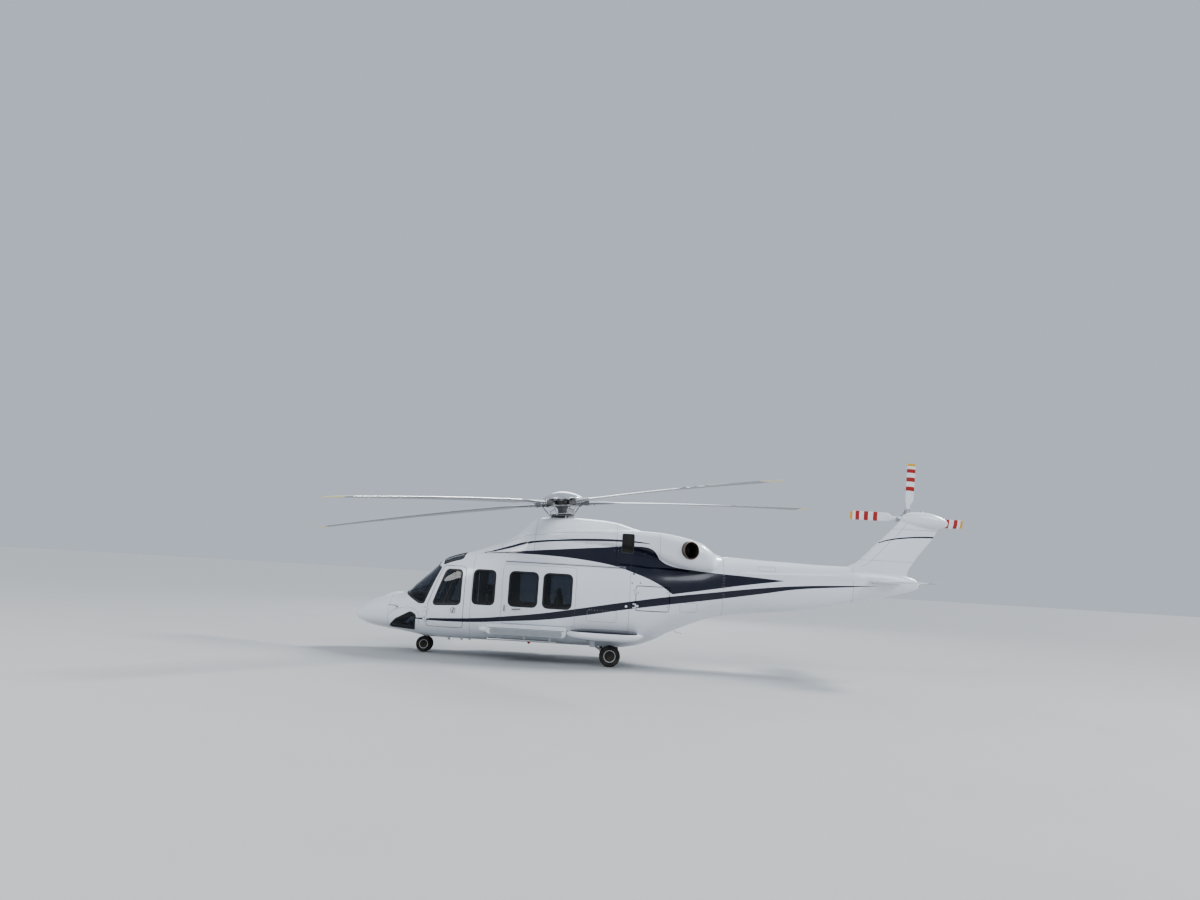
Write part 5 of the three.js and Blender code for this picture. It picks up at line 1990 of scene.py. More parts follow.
@dataclass
class Hinge:
    """Knuckles on an upright pin line, on the leaf and on the frame.

    Args:
        x: Station of the pin line.
        y: Its place across, on the port side.
        heights: Middle height of each leaf knuckle.
        leaf_x: How far aft the leaf's tab reaches.
        frame_x: How far forward the frame's tabs reach.
        depth: How far inboard the tabs reach.
        radius: Of a knuckle.
        half: Half height of a leaf knuckle.
        outer: Height of a frame knuckle.
    """

    x: float
    y: float
    heights: tuple[float, ...]
    leaf_x: float
    frame_x: float
    depth: float
    radius: float = 0.013
    half: float = 0.023
    outer: float = 0.030

    def knuckle(self, stock: Stock, low: float, high: float, reach: float) -> None:
        """One knuckle with its tab.

        Args:
            stock: Where the shapes are added.
            low: Its lowest height.
            high: Its highest height.
            reach: How far along the body its tab reaches.
        """
        rim = 0.003
        stock.turned((self.x, self.y, low), Z_AXIS, [
            (0, 0), (0, self.radius - rim), (rim, self.radius), (high - low - rim, self.radius),
            (high - low, self.radius - rim), (high - low, 0)], 20)
        x0, x1 = sorted((self.x, reach))
        stock.block((x0, self.y + 0.004, low), (x1, self.y + self.depth * 0.6, high), 0.003)

    def leaf(self) -> Stock:
        """The port leaf's knuckles."""
        stock = Stock()
        for z in self.heights:
            self.knuckle(stock, z - self.half, z + self.half, self.leaf_x)
        return stock

    def frame(self) -> Stock:
        """The port frame's knuckles."""
        stock = Stock()
        for z in self.heights:
            for low, high in ((z - self.half - self.outer, z - self.half - 0.0005),
                              (z + self.half + 0.0005, z + self.half + self.outer)):
                self.knuckle(stock, low, high, self.frame_x)
        return stock


CREW_HINGE = Hinge(1.795, -1.010, (0.820, 1.020), 1.860, 1.720, 0.064)
BAGGAGE_HINGE = Hinge(BAGGAGE_DOOR_START - 0.008, -1.108, (1.330, 1.640), 6.420, 6.290, 0.040)


@dataclass
class Doors:
    """Pilots' doors, sliding cabin doors and hold doors, with what opens them.

    Args:
        pitch: Distance between the rings of a leaf.
        foot: How far off the skin a lever's ends are.
        stand: How far off the skin the lever is between them.
    """

    pitch: float = 0.04
    foot: float = 0.002
    stand: float = 0.022

    def leaf(self, name: str, outline: Outline, cutters: Sequence[tuple[Stock, Cut]]) -> bpy.types.Object:
        """A port leaf cut out of the wall of the body.

        Args:
            name: The piece's name.
            outline: The door's outline.
            cutters: Each cutter, with what it does.

        Returns:
            The leaf.
        """
        xs = [x for x, _ in outline]
        stations = spaced(min(xs) - 0.12, max(xs) + 0.12, self.pitch)
        leaf = Stock().loft(wall_rings(stations, 0.0, WALL), loop=True).made(name, PAINT.material())
        for cutter, how in cutters:
            carve(leaf, cutter, how)
        dress_skin(leaf, HULL, LINING.material())
        return leaf

    def build(self) -> None:
        """Makes every door on both sides."""
        crew = self.leaf("crew_door_leaf", CREW_DOOR, [(side_prism(CREW_DOOR), Cut.KEEP),
                                                       (side_prism(CREW_WINDOW), Cut.AWAY)])
        self.place(crew, "crew_door", "pilot_door", CREW_HINGE)
        cabin = self.leaf("cabin_door_leaf", CABIN_DOOR, [
            (side_prism(CABIN_DOOR), Cut.KEEP), (side_prism(DOOR_WINDOWS[0]), Cut.AWAY),
            (side_prism(DOOR_WINDOWS[1]), Cut.AWAY)])
        self.place(cabin, "cabin_door", "airframe", None)
        hold = self.leaf("baggage_door_leaf", BAGGAGE_DOOR, [(baggage_prism(BAGGAGE_DOOR), Cut.KEEP)])
        self.place(hold, "baggage_door", "hold_door", BAGGAGE_HINGE)
        for side in Side:
            self.fittings(side)

    def place(self, port: bpy.types.Object, node: str, body: str, hinge: Hinge | None) -> None:
        """Puts a leaf and its twin on their bodies, with their hinges.

        Args:
            port: The port leaf.
            node: The CAD node, without its side.
            body: Its body, without its side.
            hinge: What it turns on, or None.
        """
        for side, leaf in both_sides(port, f"{node}_leaf", Side.LEFT).items():
            ride = body if body == "airframe" else f"{body}_{side.label}"
            rode(leaf, ride, "skin_white", f"{node}_{side.label}")
            if hinge is None:
                continue
            for kind, stock, carrier in (("leaf", hinge.leaf(), ride), ("frame", hinge.frame(), "airframe")):
                stock.on(side, Side.LEFT)
                rode(stock.made(f"{node}_{kind}_hinge_{side.label}", PLAIN_WHITE.material()), carrier,
                     "skin_white")

    def handle(self, stock: Stock, x: float, z: float, side: Side, length: float, lean: float) -> None:
        """A lever along the skin, on two short posts.

        Args:
            stock: Where the shapes are added.
            x: The station.
            z: The height.
            side: Which side it is on.
            length: The lever's length.
            lean: How far it leans up from level, in radians.
        """
        run, rise = length / 2 * math.cos(lean), length / 2 * math.sin(lean)
        marks = [(-1.0, self.foot), *((mark, self.stand) for mark in np.linspace(-0.84, 0.84, 8)),
                 (1.0, self.foot)]
        path = [HULL.side(x + mark * run, z + mark * rise, side.value, proud) for mark, proud in marks]
        stock.tube(path, 0.008, 12)

    def fittings(self, side: Side) -> None:
        """Handles, their recessed plates and the rail of the sliding door.

        Args:
            side: Which side it is on.
        """
        plate = resampled(hull_path(rounded(rectangle(2.325, 2.435, 0.955, 1.065), 0.055, 10), side), 0.012,
                          True)
        crew = Stock()
        edging(crew, plate, HULL, ((-0.004, -0.002), (-0.003, 0.003), (0.003, 0.003), (0.004, -0.002)))
        self.handle(crew, 2.385, 1.010, side, 0.085, math.radians(70))
        rode(crew.made(f"crew_door_handle_{side.label}", DARK_METAL.material()), f"pilot_door_{side.label}",
             "skin_white")
        cabin = Stock()
        self.handle(cabin, 3.500, 1.120, side, 0.110, math.radians(90))
        self.handle(cabin, 3.760, 1.115, side, 0.180, math.radians(4))
        rode(cabin.made(f"cabin_door_handles_{side.label}", DARK_METAL.material()), "airframe", "skin_white")
        hold = Stock()
        for x, z in ((7.060, 1.340), (7.060, 1.660)):
            spot = HULL.side(x, z, side.value, 0.001)
            hold.turned(spot, HULL.facing(spot), [(0, 0), (0, 0.016), (0.004, 0.015), (0.005, 0)], 20)
        rode(hold.made(f"baggage_door_latches_{side.label}", ALLOY.material()), f"hold_door_{side.label}",
             "skin_white")
        self.rail(side)

    def rail(self, side: Side) -> None:
        """The track over the cabin door, as a dark slot of painted shade with a lip above and below.

        Args:
            side: Which side it is on.
        """
        line = [(x, 2.133 + 0.004 * math.sin((x - 3.45) / 2.66 * math.pi))
                for x in np.linspace(3.45, 6.11, 54)]
        lips = Stock()
        for height, size in ((0.020, 0.0065), (-0.020, 0.0085)):
            path = [HULL.side(x, z + height, side.value, 0.004) for x, z in line]
            lips.tube(path, size, 10, 0.7)
        rode(lips.made(f"door_rail_{side.label}", PLAIN_WHITE.material()), "airframe", "skin_white")
        # Painted shade: a near-black strip stands for the shade in the track's channel
        slot = Stock()
        slot.tube([HULL.side(x, z, side.value, -0.001) for x, z in line], 0.016, 12, 0.35)
        rode(slot.made(f"door_rail_slot_{side.label}", SEAL.material()), "airframe", "skin_white")


@dataclass
class Cowlings:
    """The cowlings over the gearbox and engines, with their intakes and exhausts.

    Args:
        wall: Thickness of the shell.
        pitch: Distance between its rings.
        floor: Height of its underside.
        mouth: First and last station, lowest and highest place of an intake.
        exhaust: Root of the port exhaust pipe.
        exhaust_yaw: How far outboard it points from aft, in radians.
        exhaust_length: Its length.
        outer: Its outer radius.
        inner: Its inner radius.
    """

    wall: float = 0.030
    pitch: float = 0.045
    floor: float = 2.165
    mouth: tuple[float, float, float, float] = (6.000, 6.265, 2.475, 2.895)
    exhaust: Vector = Vector((7.410, -0.665, 2.610))
    exhaust_yaw: float = math.radians(62)
    exhaust_length: float = 0.300
    outer: float = 0.196
    inner: float = 0.180

    def solid(self, inset: float) -> Stock:
        """The cowling's outer or inner form as one closed solid.

        Args:
            inset: How far inside the skin.

        Returns:
            The solid.
        """
        stations = np.concatenate([spaced(2.62 + inset, 5.88, self.pitch),
                                   spaced(5.88, 8.32 - inset, self.pitch)[1:]])
        rings = []
        for station in stations:
            arc = COWL.ring(station, inset)
            width = abs(arc[0][1])
            under = [(station, -width * math.cos(a), self.floor + inset + 0.03 * (1 - math.sin(a)))
                     for a in np.linspace(0.1, math.pi - 0.1, 16)]
            rings.append([tuple(p) for p in arc] + under)
        return Stock().loft(rings)

    def pipe_axis(self) -> Vector:
        """The direction that the port exhaust blows in."""
        return Vector((math.cos(self.exhaust_yaw), -math.sin(self.exhaust_yaw), 0))

    def build(self) -> None:
        """Makes the two shells and what is on them."""
        mast = Vector((math.sin(MAST_TILT), 0, -math.cos(MAST_TILT)))
        hull = Stock().loft([HULL.ring(s, 0.022) for s in spaced(2.2, 8.8, 0.15)])
        for name, node, start, end in (("main_cowling_skin", "main_cowling", 2.0, SPLIT["cowl"] - 0.0025),
                                       ("engine_cowling_skin", "engine_cowling", SPLIT["cowl"] + 0.0025,
                                        9.0)):
            shell = self.solid(0.0).made(name, PAINT.material())
            carve(shell, self.solid(self.wall), Cut.AWAY)
            carve(shell, Stock().block((start, -2, 1.5), (end, 2, 4)), Cut.KEEP)
            carve(shell, hull, Cut.AWAY)
            if node == "main_cowling":
                hole = Stock().turned(Vector((MAST_X, 0, HUB_HEIGHT)) + mast * 0.10, mast,
                                      [(0, 0), (0, 0.155), (0.60, 0.155), (0.60, 0)], 48)
                carve(shell, hole, Cut.AWAY)
            else:
                for side in (-1, 1):
                    mouth = Stock().prism(rounded(rectangle(*self.mouth), 0.03),
                                          *sorted((side * 0.50, side * 1.3)))
                    carve(shell, mouth, Cut.AWAY)
                    bore = Stock().turned(self.exhaust, self.pipe_axis(),
                                          [(-0.02, 0), (-0.02, self.outer + 0.006), (0.9, self.outer + 0.006),
                                           (0.9, 0)], 48)
                    carve(shell, bore if side < 0 else bore.mirrored(), Cut.AWAY)
            dress_skin(shell, COWL, DARK_METAL.material(), 0.15)
            rode(shell, "airframe", "skin_white" if node == "main_cowling" else "skin_navy", node)
        for side in Side:
            self.exhausts(side)
            self.intake(side)
        self.joints()

    def intake(self, side: Side) -> None:
        """The screen over an engine's air intake: a dark panel, which is the screen's mesh and painted shade
        of the duct behind it, wires across it, and its rim.

        Args:
            side: Which side it is on.
        """
        x0, x1, z0, z1 = self.mouth
        outward = Vector((0, side.value, 0))
        # A near-black sheet behind the wires: the screen's mesh, and painted shade of the duct, which is not
        # built
        panel = Stock().loft([
            row + [point - outward * 0.01 for point in reversed(row)]
            for row in ([self.on_cowl(x, z, side, -0.016) for z in np.linspace(z0 - 0.015, z1 + 0.015, 18)]
                        for x in np.linspace(x0 - 0.015, x1 + 0.015, 10))])
        rode(panel.made(f"intake_screen_{side.label}", MESH_SCREEN_AND_SHADE.material(), 80), "airframe", "machinery")
        upright = [[(x, z) for z in np.linspace(z0, z1, 14)] for x in spaced(x0 + 0.01, x1 - 0.01, 0.02)]
        level = [[(x, z) for x in np.linspace(x0, x1, 10)] for z in spaced(z0 + 0.01, z1 - 0.01, 0.02)]
        wires = [Route([self.on_cowl(x, z, side, -0.010) for x, z in line], [outward])
                 for line in upright + level]
        rode(grow(f"intake_mesh_{side.label}", Trees.beads(), wires, DARK_METAL, Radius=0.0022), "airframe",
             "machinery")
        rim = [self.on_cowl(x, z, side, 0.001) for x, z in evenly(rounded(rectangle(*self.mouth), 0.03))]
        rode(grow(f"intake_rim_{side.label}", Trees.beads(), [Route(rim, [outward], True)], SEAM,
                  Radius=0.006), "airframe", "skin_white")

    @staticmethod
    def on_cowl(x: float, z: float, side: Side, proud: float = 0.0) -> Vector:
        """The outermost point of the cowling's skin at a station and height.

        Args:
            x: The station.
            z: The height.
            side: Which side it is on.
            proud: How far off the skin, outwards.

        Returns:
            The point, in layout coordinates.
        """
        heights, widths = Cowlings.section(x)
        rise = heights - z
        cross = np.nonzero(rise[:-1] * rise[1:] <= 0)[0]
        if len(cross) == 0:
            width = widths[np.argmin(np.abs(rise))]
        else:
            share = rise[cross] / (rise[cross] - rise[cross + 1] + 1e-12)
            width = np.max(widths[cross] + share * (widths[cross + 1] - widths[cross]))
        return Vector((x, side.value * (float(width) + proud), z))

    @staticmethod
    @cache
    def section(x: float) -> tuple[np.ndarray, np.ndarray]:
        """Heights and half widths of the cowling's skin at a station, from its base up.

        Args:
            x: The station.

        Returns:
            The heights and the half widths.
        """
        angle = np.linspace(0.0, 1.45, 160)
        reach = COWL.reach(np.full_like(angle, x), angle)
        return COWL.BASE + reach * np.sin(angle), reach * np.cos(angle)

    def exhausts(self, side: Side) -> None:
        """The exhaust pipe with its rolled lip, and the cone inside it.

        Args:
            side: Which side it is on.
        """
        length, outer, inner = self.exhaust_length, self.outer, self.inner
        pipe = Stock().turned(self.exhaust, self.pipe_axis(), [
            (0.010, outer - 0.02), (0.06, outer), (length - 0.014, outer), (length - 0.004, outer + 0.003),
            (length, outer - 0.002), (length + 0.001, (outer + inner) / 2), (length, inner + 0.002),
            (length - 0.02, inner), (0.02, inner - 0.012), (0.010, outer - 0.02)], 64)
        soot = Stock().turned(self.exhaust, self.pipe_axis(), [
            (0.004, 0), (0.004, inner - 0.004), (0.02, inner - 0.006), (0.022, 0.075), (0.09, 0.06),
            (0.15, 0.02), (0.16, 0)], 48)
        for stock, name, finish in ((pipe, "exhaust_pipe", PIPE), (soot, "exhaust_core", SOOT)):
            stock.on(side, Side.LEFT)
            nodes = [f"exhaust_{side.label}"] if name == "exhaust_pipe" else []
            rode(stock.made(f"{name}_{side.label}", finish.material()), "airframe", "exhaust_metal", *nodes)

    def joints(self) -> None:
        """Panel joints, latches and drain fasteners of the cowlings."""
        seams, studs = [], []
        for station in (3.30, 4.05, 6.85):
            seams.append(skin_route([Vector(p) for p in COWL.ring(station)[8:-8]], COWL))
        for side in Side:
            for angle, start, end in ((38, 3.35, 5.86), (62, 5.90, 8.0)):
                line = [COWL.side(x, angle, side.value) for x in np.linspace(start, end, 60)]
                seams.append(skin_route(line, COWL))
            for station in (4.09, 5.84, 5.92, 6.81):
                line = [COWL.side(station, angle, side.value) for angle in np.linspace(20, 86, 24)]
                studs.append(skin_route(line, COWL))
        rode(grow("cowling_joints", Trees.beads(), seams, SEAM, Radius=0.0022), "airframe", "skin_white")
        rode(grow("cowling_fasteners", Trees.studs(), studs, ALLOY, Pitch=0.085, Radius=0.007, Height=0.003,
                  Sides=10), "airframe", "skin_white")


@dataclass
class Wing:
    """A lifting surface of aerofoil sections.

    Args:
        sections: For each section, its leading edge point, its chord and its thickness.
        chord: Direction of the chord, aft.
        thick: Direction of the thickness.
    """

    sections: Sequence[tuple[Vector, float, float]]
    chord: Vector
    thick: Vector

    # Share of the chord and of the half thickness
    PROFILE = ((0.0, 0.0), (0.004, 0.14), (0.015, 0.28), (0.04, 0.46), (0.09, 0.68), (0.16, 0.86),
               (0.26, 0.98), (0.36, 1.0), (0.50, 0.92), (0.65, 0.74), (0.80, 0.48), (0.92, 0.23), (1.0, 0.05))

    def ring(self, front: Vector, chord: float, thickness: float) -> list[Vector]:
        """One section as a closed ring.

        Args:
            front: The leading edge.
            chord: Distance from there to the trailing edge.
            thickness: The greatest thickness.

        Returns:
            The points, in layout coordinates.
        """
        upper = [front + self.chord * chord * a + self.thick * thickness / 2 * b for a, b in self.PROFILE]
        lower = [front + self.chord * chord * a - self.thick * thickness / 2 * b for a, b in self.PROFILE[1:]]
        return upper + lower[::-1]

    def stock(self) -> Stock:
        """The whole surface as a closed shape."""
        return Stock().loft([self.ring(*section) for section in self.sections])


@dataclass
class Tail:
    """Fin, gearbox fairing, stabilisers and the strakes of the boom."""

    # height, leading edge, trailing edge, half thickness
    FIN = ((2.150, 10.950, 12.640, 0.170), (2.400, 11.120, 12.660, 0.150), (2.490, 11.260, 12.690, 0.145),
           (2.580, 11.460, 12.750, 0.140), (2.780, 11.680, 12.880, 0.125), (3.050, 11.940, 13.100, 0.110),
           (3.360, 12.260, 13.320, 0.100), (3.580, 12.450, 13.400, 0.090), (3.700, 12.565, 13.385, 0.080))
    # place across, leading edge, trailing edge, half thickness
    STABILISER = ((0.060, 11.700, 12.440, 0.040), (1.100, 11.740, 12.430, 0.034),
                  (2.050, 11.790, 12.400, 0.026), (2.100, 11.835, 12.380, 0.014))
    # station, height of the edge, skin's place across, how far it stands out
    STRAKE = ((8.680, 2.160, 0.430, 0.008), (9.100, 2.165, 0.385, 0.042), (11.200, 2.230, 0.232, 0.042),
              (11.600, 2.235, 0.215, 0.008))
    # distance along the gearbox fairing, half width, half height, middle height
    POD = ((-0.560, 0.006, 0.006, 3.668), (-0.520, 0.060, 0.058, 3.672), (-0.430, 0.118, 0.115, 3.676),
           (-0.300, 0.160, 0.158, 3.676), (-0.120, 0.186, 0.182, 3.668), (0.080, 0.190, 0.185, 3.658),
           (0.280, 0.170, 0.162, 3.640), (0.430, 0.128, 0.122, 3.622), (0.520, 0.082, 0.080, 3.612),
           (0.556, 0.030, 0.030, 3.610), (0.560, 0.006, 0.006, 3.610))
    POD_X = 13.040
    STABILISER_HEIGHT = 2.170

    def build(self) -> None:
        """Makes the tail's fixed surfaces."""
        heights, fronts, backs, halves = zip(*self.FIN)
        tracks = [Track(heights, column) for column in (fronts, backs, halves)]
        sections = []
        for z in np.linspace(heights[0], heights[-1], 42):
            front, back, half = (float(track(z)) for track in tracks)
            sections.append((Vector((front, 0, z)), back - front, 2 * half))
        fin = Wing(sections, Vector(X_AXIS), Vector(Y_AXIS)).stock()
        rode(fin.made("fin_skin", PAINT.material(), 50), "airframe", "skin_white", "tail_fin")
        self.pod()
        for side in Side:
            self.stabiliser(side)
            self.strake(side)
        self.joints(tracks)

    def pod(self) -> None:
        """The fairing of the tail gearbox, and the shaft out to the tail rotor."""
        along, widths, heights, middles = zip(*self.POD)
        tracks = [Track(along, column) for column in (widths, heights, middles)]
        rings = []
        for a in np.sin(np.linspace(-math.pi / 2, math.pi / 2, 36)) * 0.56:
            width, height, middle = (float(track(a)) for track in tracks)
            rings.append([(self.POD_X + a, width * math.cos(t), middle + height * math.sin(t))
                          for t in np.linspace(0, 2 * math.pi, 40, endpoint=False)])
        rode(Stock().loft(rings).made("gearbox_fairing", PAINT.material()), "airframe", "skin_white",
             "tail_gearbox")
        lean = Matrix.Translation(TAIL_HUB) @ Matrix.Rotation(TAIL_CANT, 4, "X")
        shaft = Stock().turned((0, -0.340, 0), Y_AXIS, [
            (0, 0), (0, 0.105), (0.10, 0.098), (0.13, 0.070), (0.20, 0.062), (0.274, 0.058), (0.2785, 0.054),
            (0.2785, 0)], 36).moved(lean)
        rode(shaft.made("tail_rotor_shaft_housing", CASTING.material()), "airframe", "machinery")

    def stabiliser(self, side: Side) -> None:
        """One half of the stabiliser.

        Args:
            side: Which side it is on.
        """
        sections = [(Vector((front, side.value * y, self.STABILISER_HEIGHT)), back - front, 2 * half)
                    for y, front, back, half in self.STABILISER]
        wing = Wing(sections, Vector(X_AXIS), Vector(Z_AXIS))
        rode(wing.stock().made(f"stabiliser_skin_{side.label}", PLAIN_WHITE.material(), 50), "airframe",
             "skin_white", f"stabiliser_{side.label}")
        root = resampled([HULL.side(x, self.STABILISER_HEIGHT + z, side.value, 0.002) for x, z in rounded(
            rectangle(11.67, 12.47, -0.055, 0.055), 0.05)], 0.02, True)
        collar = Stock()
        edging(collar, root, HULL, ((-0.02, -0.005), (-0.015, 0.006), (0.015, 0.004), (0.02, -0.005)))
        rode(collar.made(f"stabiliser_root_{side.label}", PLAIN_WHITE.material()), "airframe", "skin_white")

    def strake(self, side: Side) -> None:
        """The long ledge on the boom.

        Args:
            side: Which side it is on.
        """
        xs, zs, skins, outs = zip(*self.STRAKE)
        tracks = [Track(xs, column) for column in (zs, skins, outs)]
        rings = []
        for x in np.linspace(xs[0], xs[-1], 60):
            z, _, out = (float(track(x)) for track in tracks)
            edge = HULL.side(x, z, side.value, out)
            low, high = HULL.side(x, z - 0.115, side.value, -0.004), HULL.side(x, z + 0.06, side.value,
                                                                               -0.004)
            inside = HULL.side(x, z, side.value, -0.03)
            lip = HULL.side(x, z + 0.012, side.value, out)
            rings.append([low, edge, lip, high, inside])
        rode(Stock().loft(rings).made(f"boom_strake_{side.label}", PAINT.material(), 30), "airframe",
             "skin_white")

    def joints(self, tracks: Sequence[Track]) -> None:
        """Panel joints of the fin and static wicks on the trailing edges.

        Args:
            tracks: The fin's edges and half thickness.
        """
        seams = []
        for side in Side:
            for z in (2.66, 3.42):
                front, back, half = (float(track(z)) for track in tracks)
                line = [Vector((front + a * (back - front), side.value * (half * b + 0.0005), z)) for a,
                        b in Wing.PROFILE]
                seams.append(Route(line, [Vector((0, side.value, 0))]))
            spar = [Vector((float(tracks[0](z)) + 0.2 * float(tracks[1](z) - tracks[0](z)),
                            side.value * (float(tracks[2](z)) * 0.91 + 0.0015), z))
                    for z in np.linspace(2.5, 3.6, 30)]
            seams.append(Route(spar, [Vector((0, side.value, 0))]))
        rode(grow("fin_joints", Trees.beads(), seams, SEAM, Radius=0.002), "airframe", "skin_white")
        wicks = Stock()
        for side in Side:
            for y in (1.55, 1.80, 2.02):
                base = Vector((12.405, side.value * y, self.STABILISER_HEIGHT))
                wicks.tube([base, base + Vector((0.03, 0, 0)), base + Vector((0.13, 0, -0.004))],
                           [0.004, 0.0025, 0.0015], 8)
        rode(wicks.made("static_wicks", DARK_METAL.material()), "airframe", "skin_white")


UP_MAST = Matrix.Translation((MAST_X, 0, HUB_HEIGHT)) @ Matrix.Rotation(-MAST_TILT, 4, "Y")
ON_TAIL = Matrix.Translation(TAIL_HUB) @ Matrix.Rotation(TAIL_CANT, 4, "X")


@dataclass
class BladeSection:
    """One section of a rotor blade.

    Args:
        radius: Distance from the hub.
        chord: Width of the blade.
        thick: Its thickness.
        sweep: How far it is set back.
        twist: Its pitch in degrees.
        blunt: 1 for an oval root, 0 for an aerofoil.
    """

    radius: float
    chord: float
    thick: float
    sweep: float
    twist: float
    blunt: float = 0.0

    # Share of the chord ahead of the blade's line, and depth of the underside over the upper side's
    LEAD = 0.3
    BELLY = 0.75

    def ring(self, height: float) -> list[Vector]:
        """The section's outline, x along the blade, y ahead and z up.

        Args:
            height: The height of the blade's line.

        Returns:
            The points, in layout coordinates.
        """
        count = len(Wing.PROFILE)
        upper = []
        for index, (along, thick) in enumerate(Wing.PROFILE):
            angle = math.pi * index / (count - 1)
            oval = ((1 - math.cos(angle)) / 2, math.sin(angle))
            upper.append((along + (oval[0] - along) * self.blunt, thick + (oval[1] - thick) * self.blunt))
        points = upper + [(a, -b * (self.BELLY + (1 - self.BELLY) * self.blunt)) for a, b in upper[:0:-1]]
        turn = math.radians(self.twist)
        ring = []
        for along, thick in points:
            y, z = (self.LEAD - along) * self.chord, thick * self.thick / 2
            ring.append(Vector((self.radius, y * math.cos(turn) - z * math.sin(turn) - self.sweep,
                                height + y * math.sin(turn) + z * math.cos(turn))))
        return ring


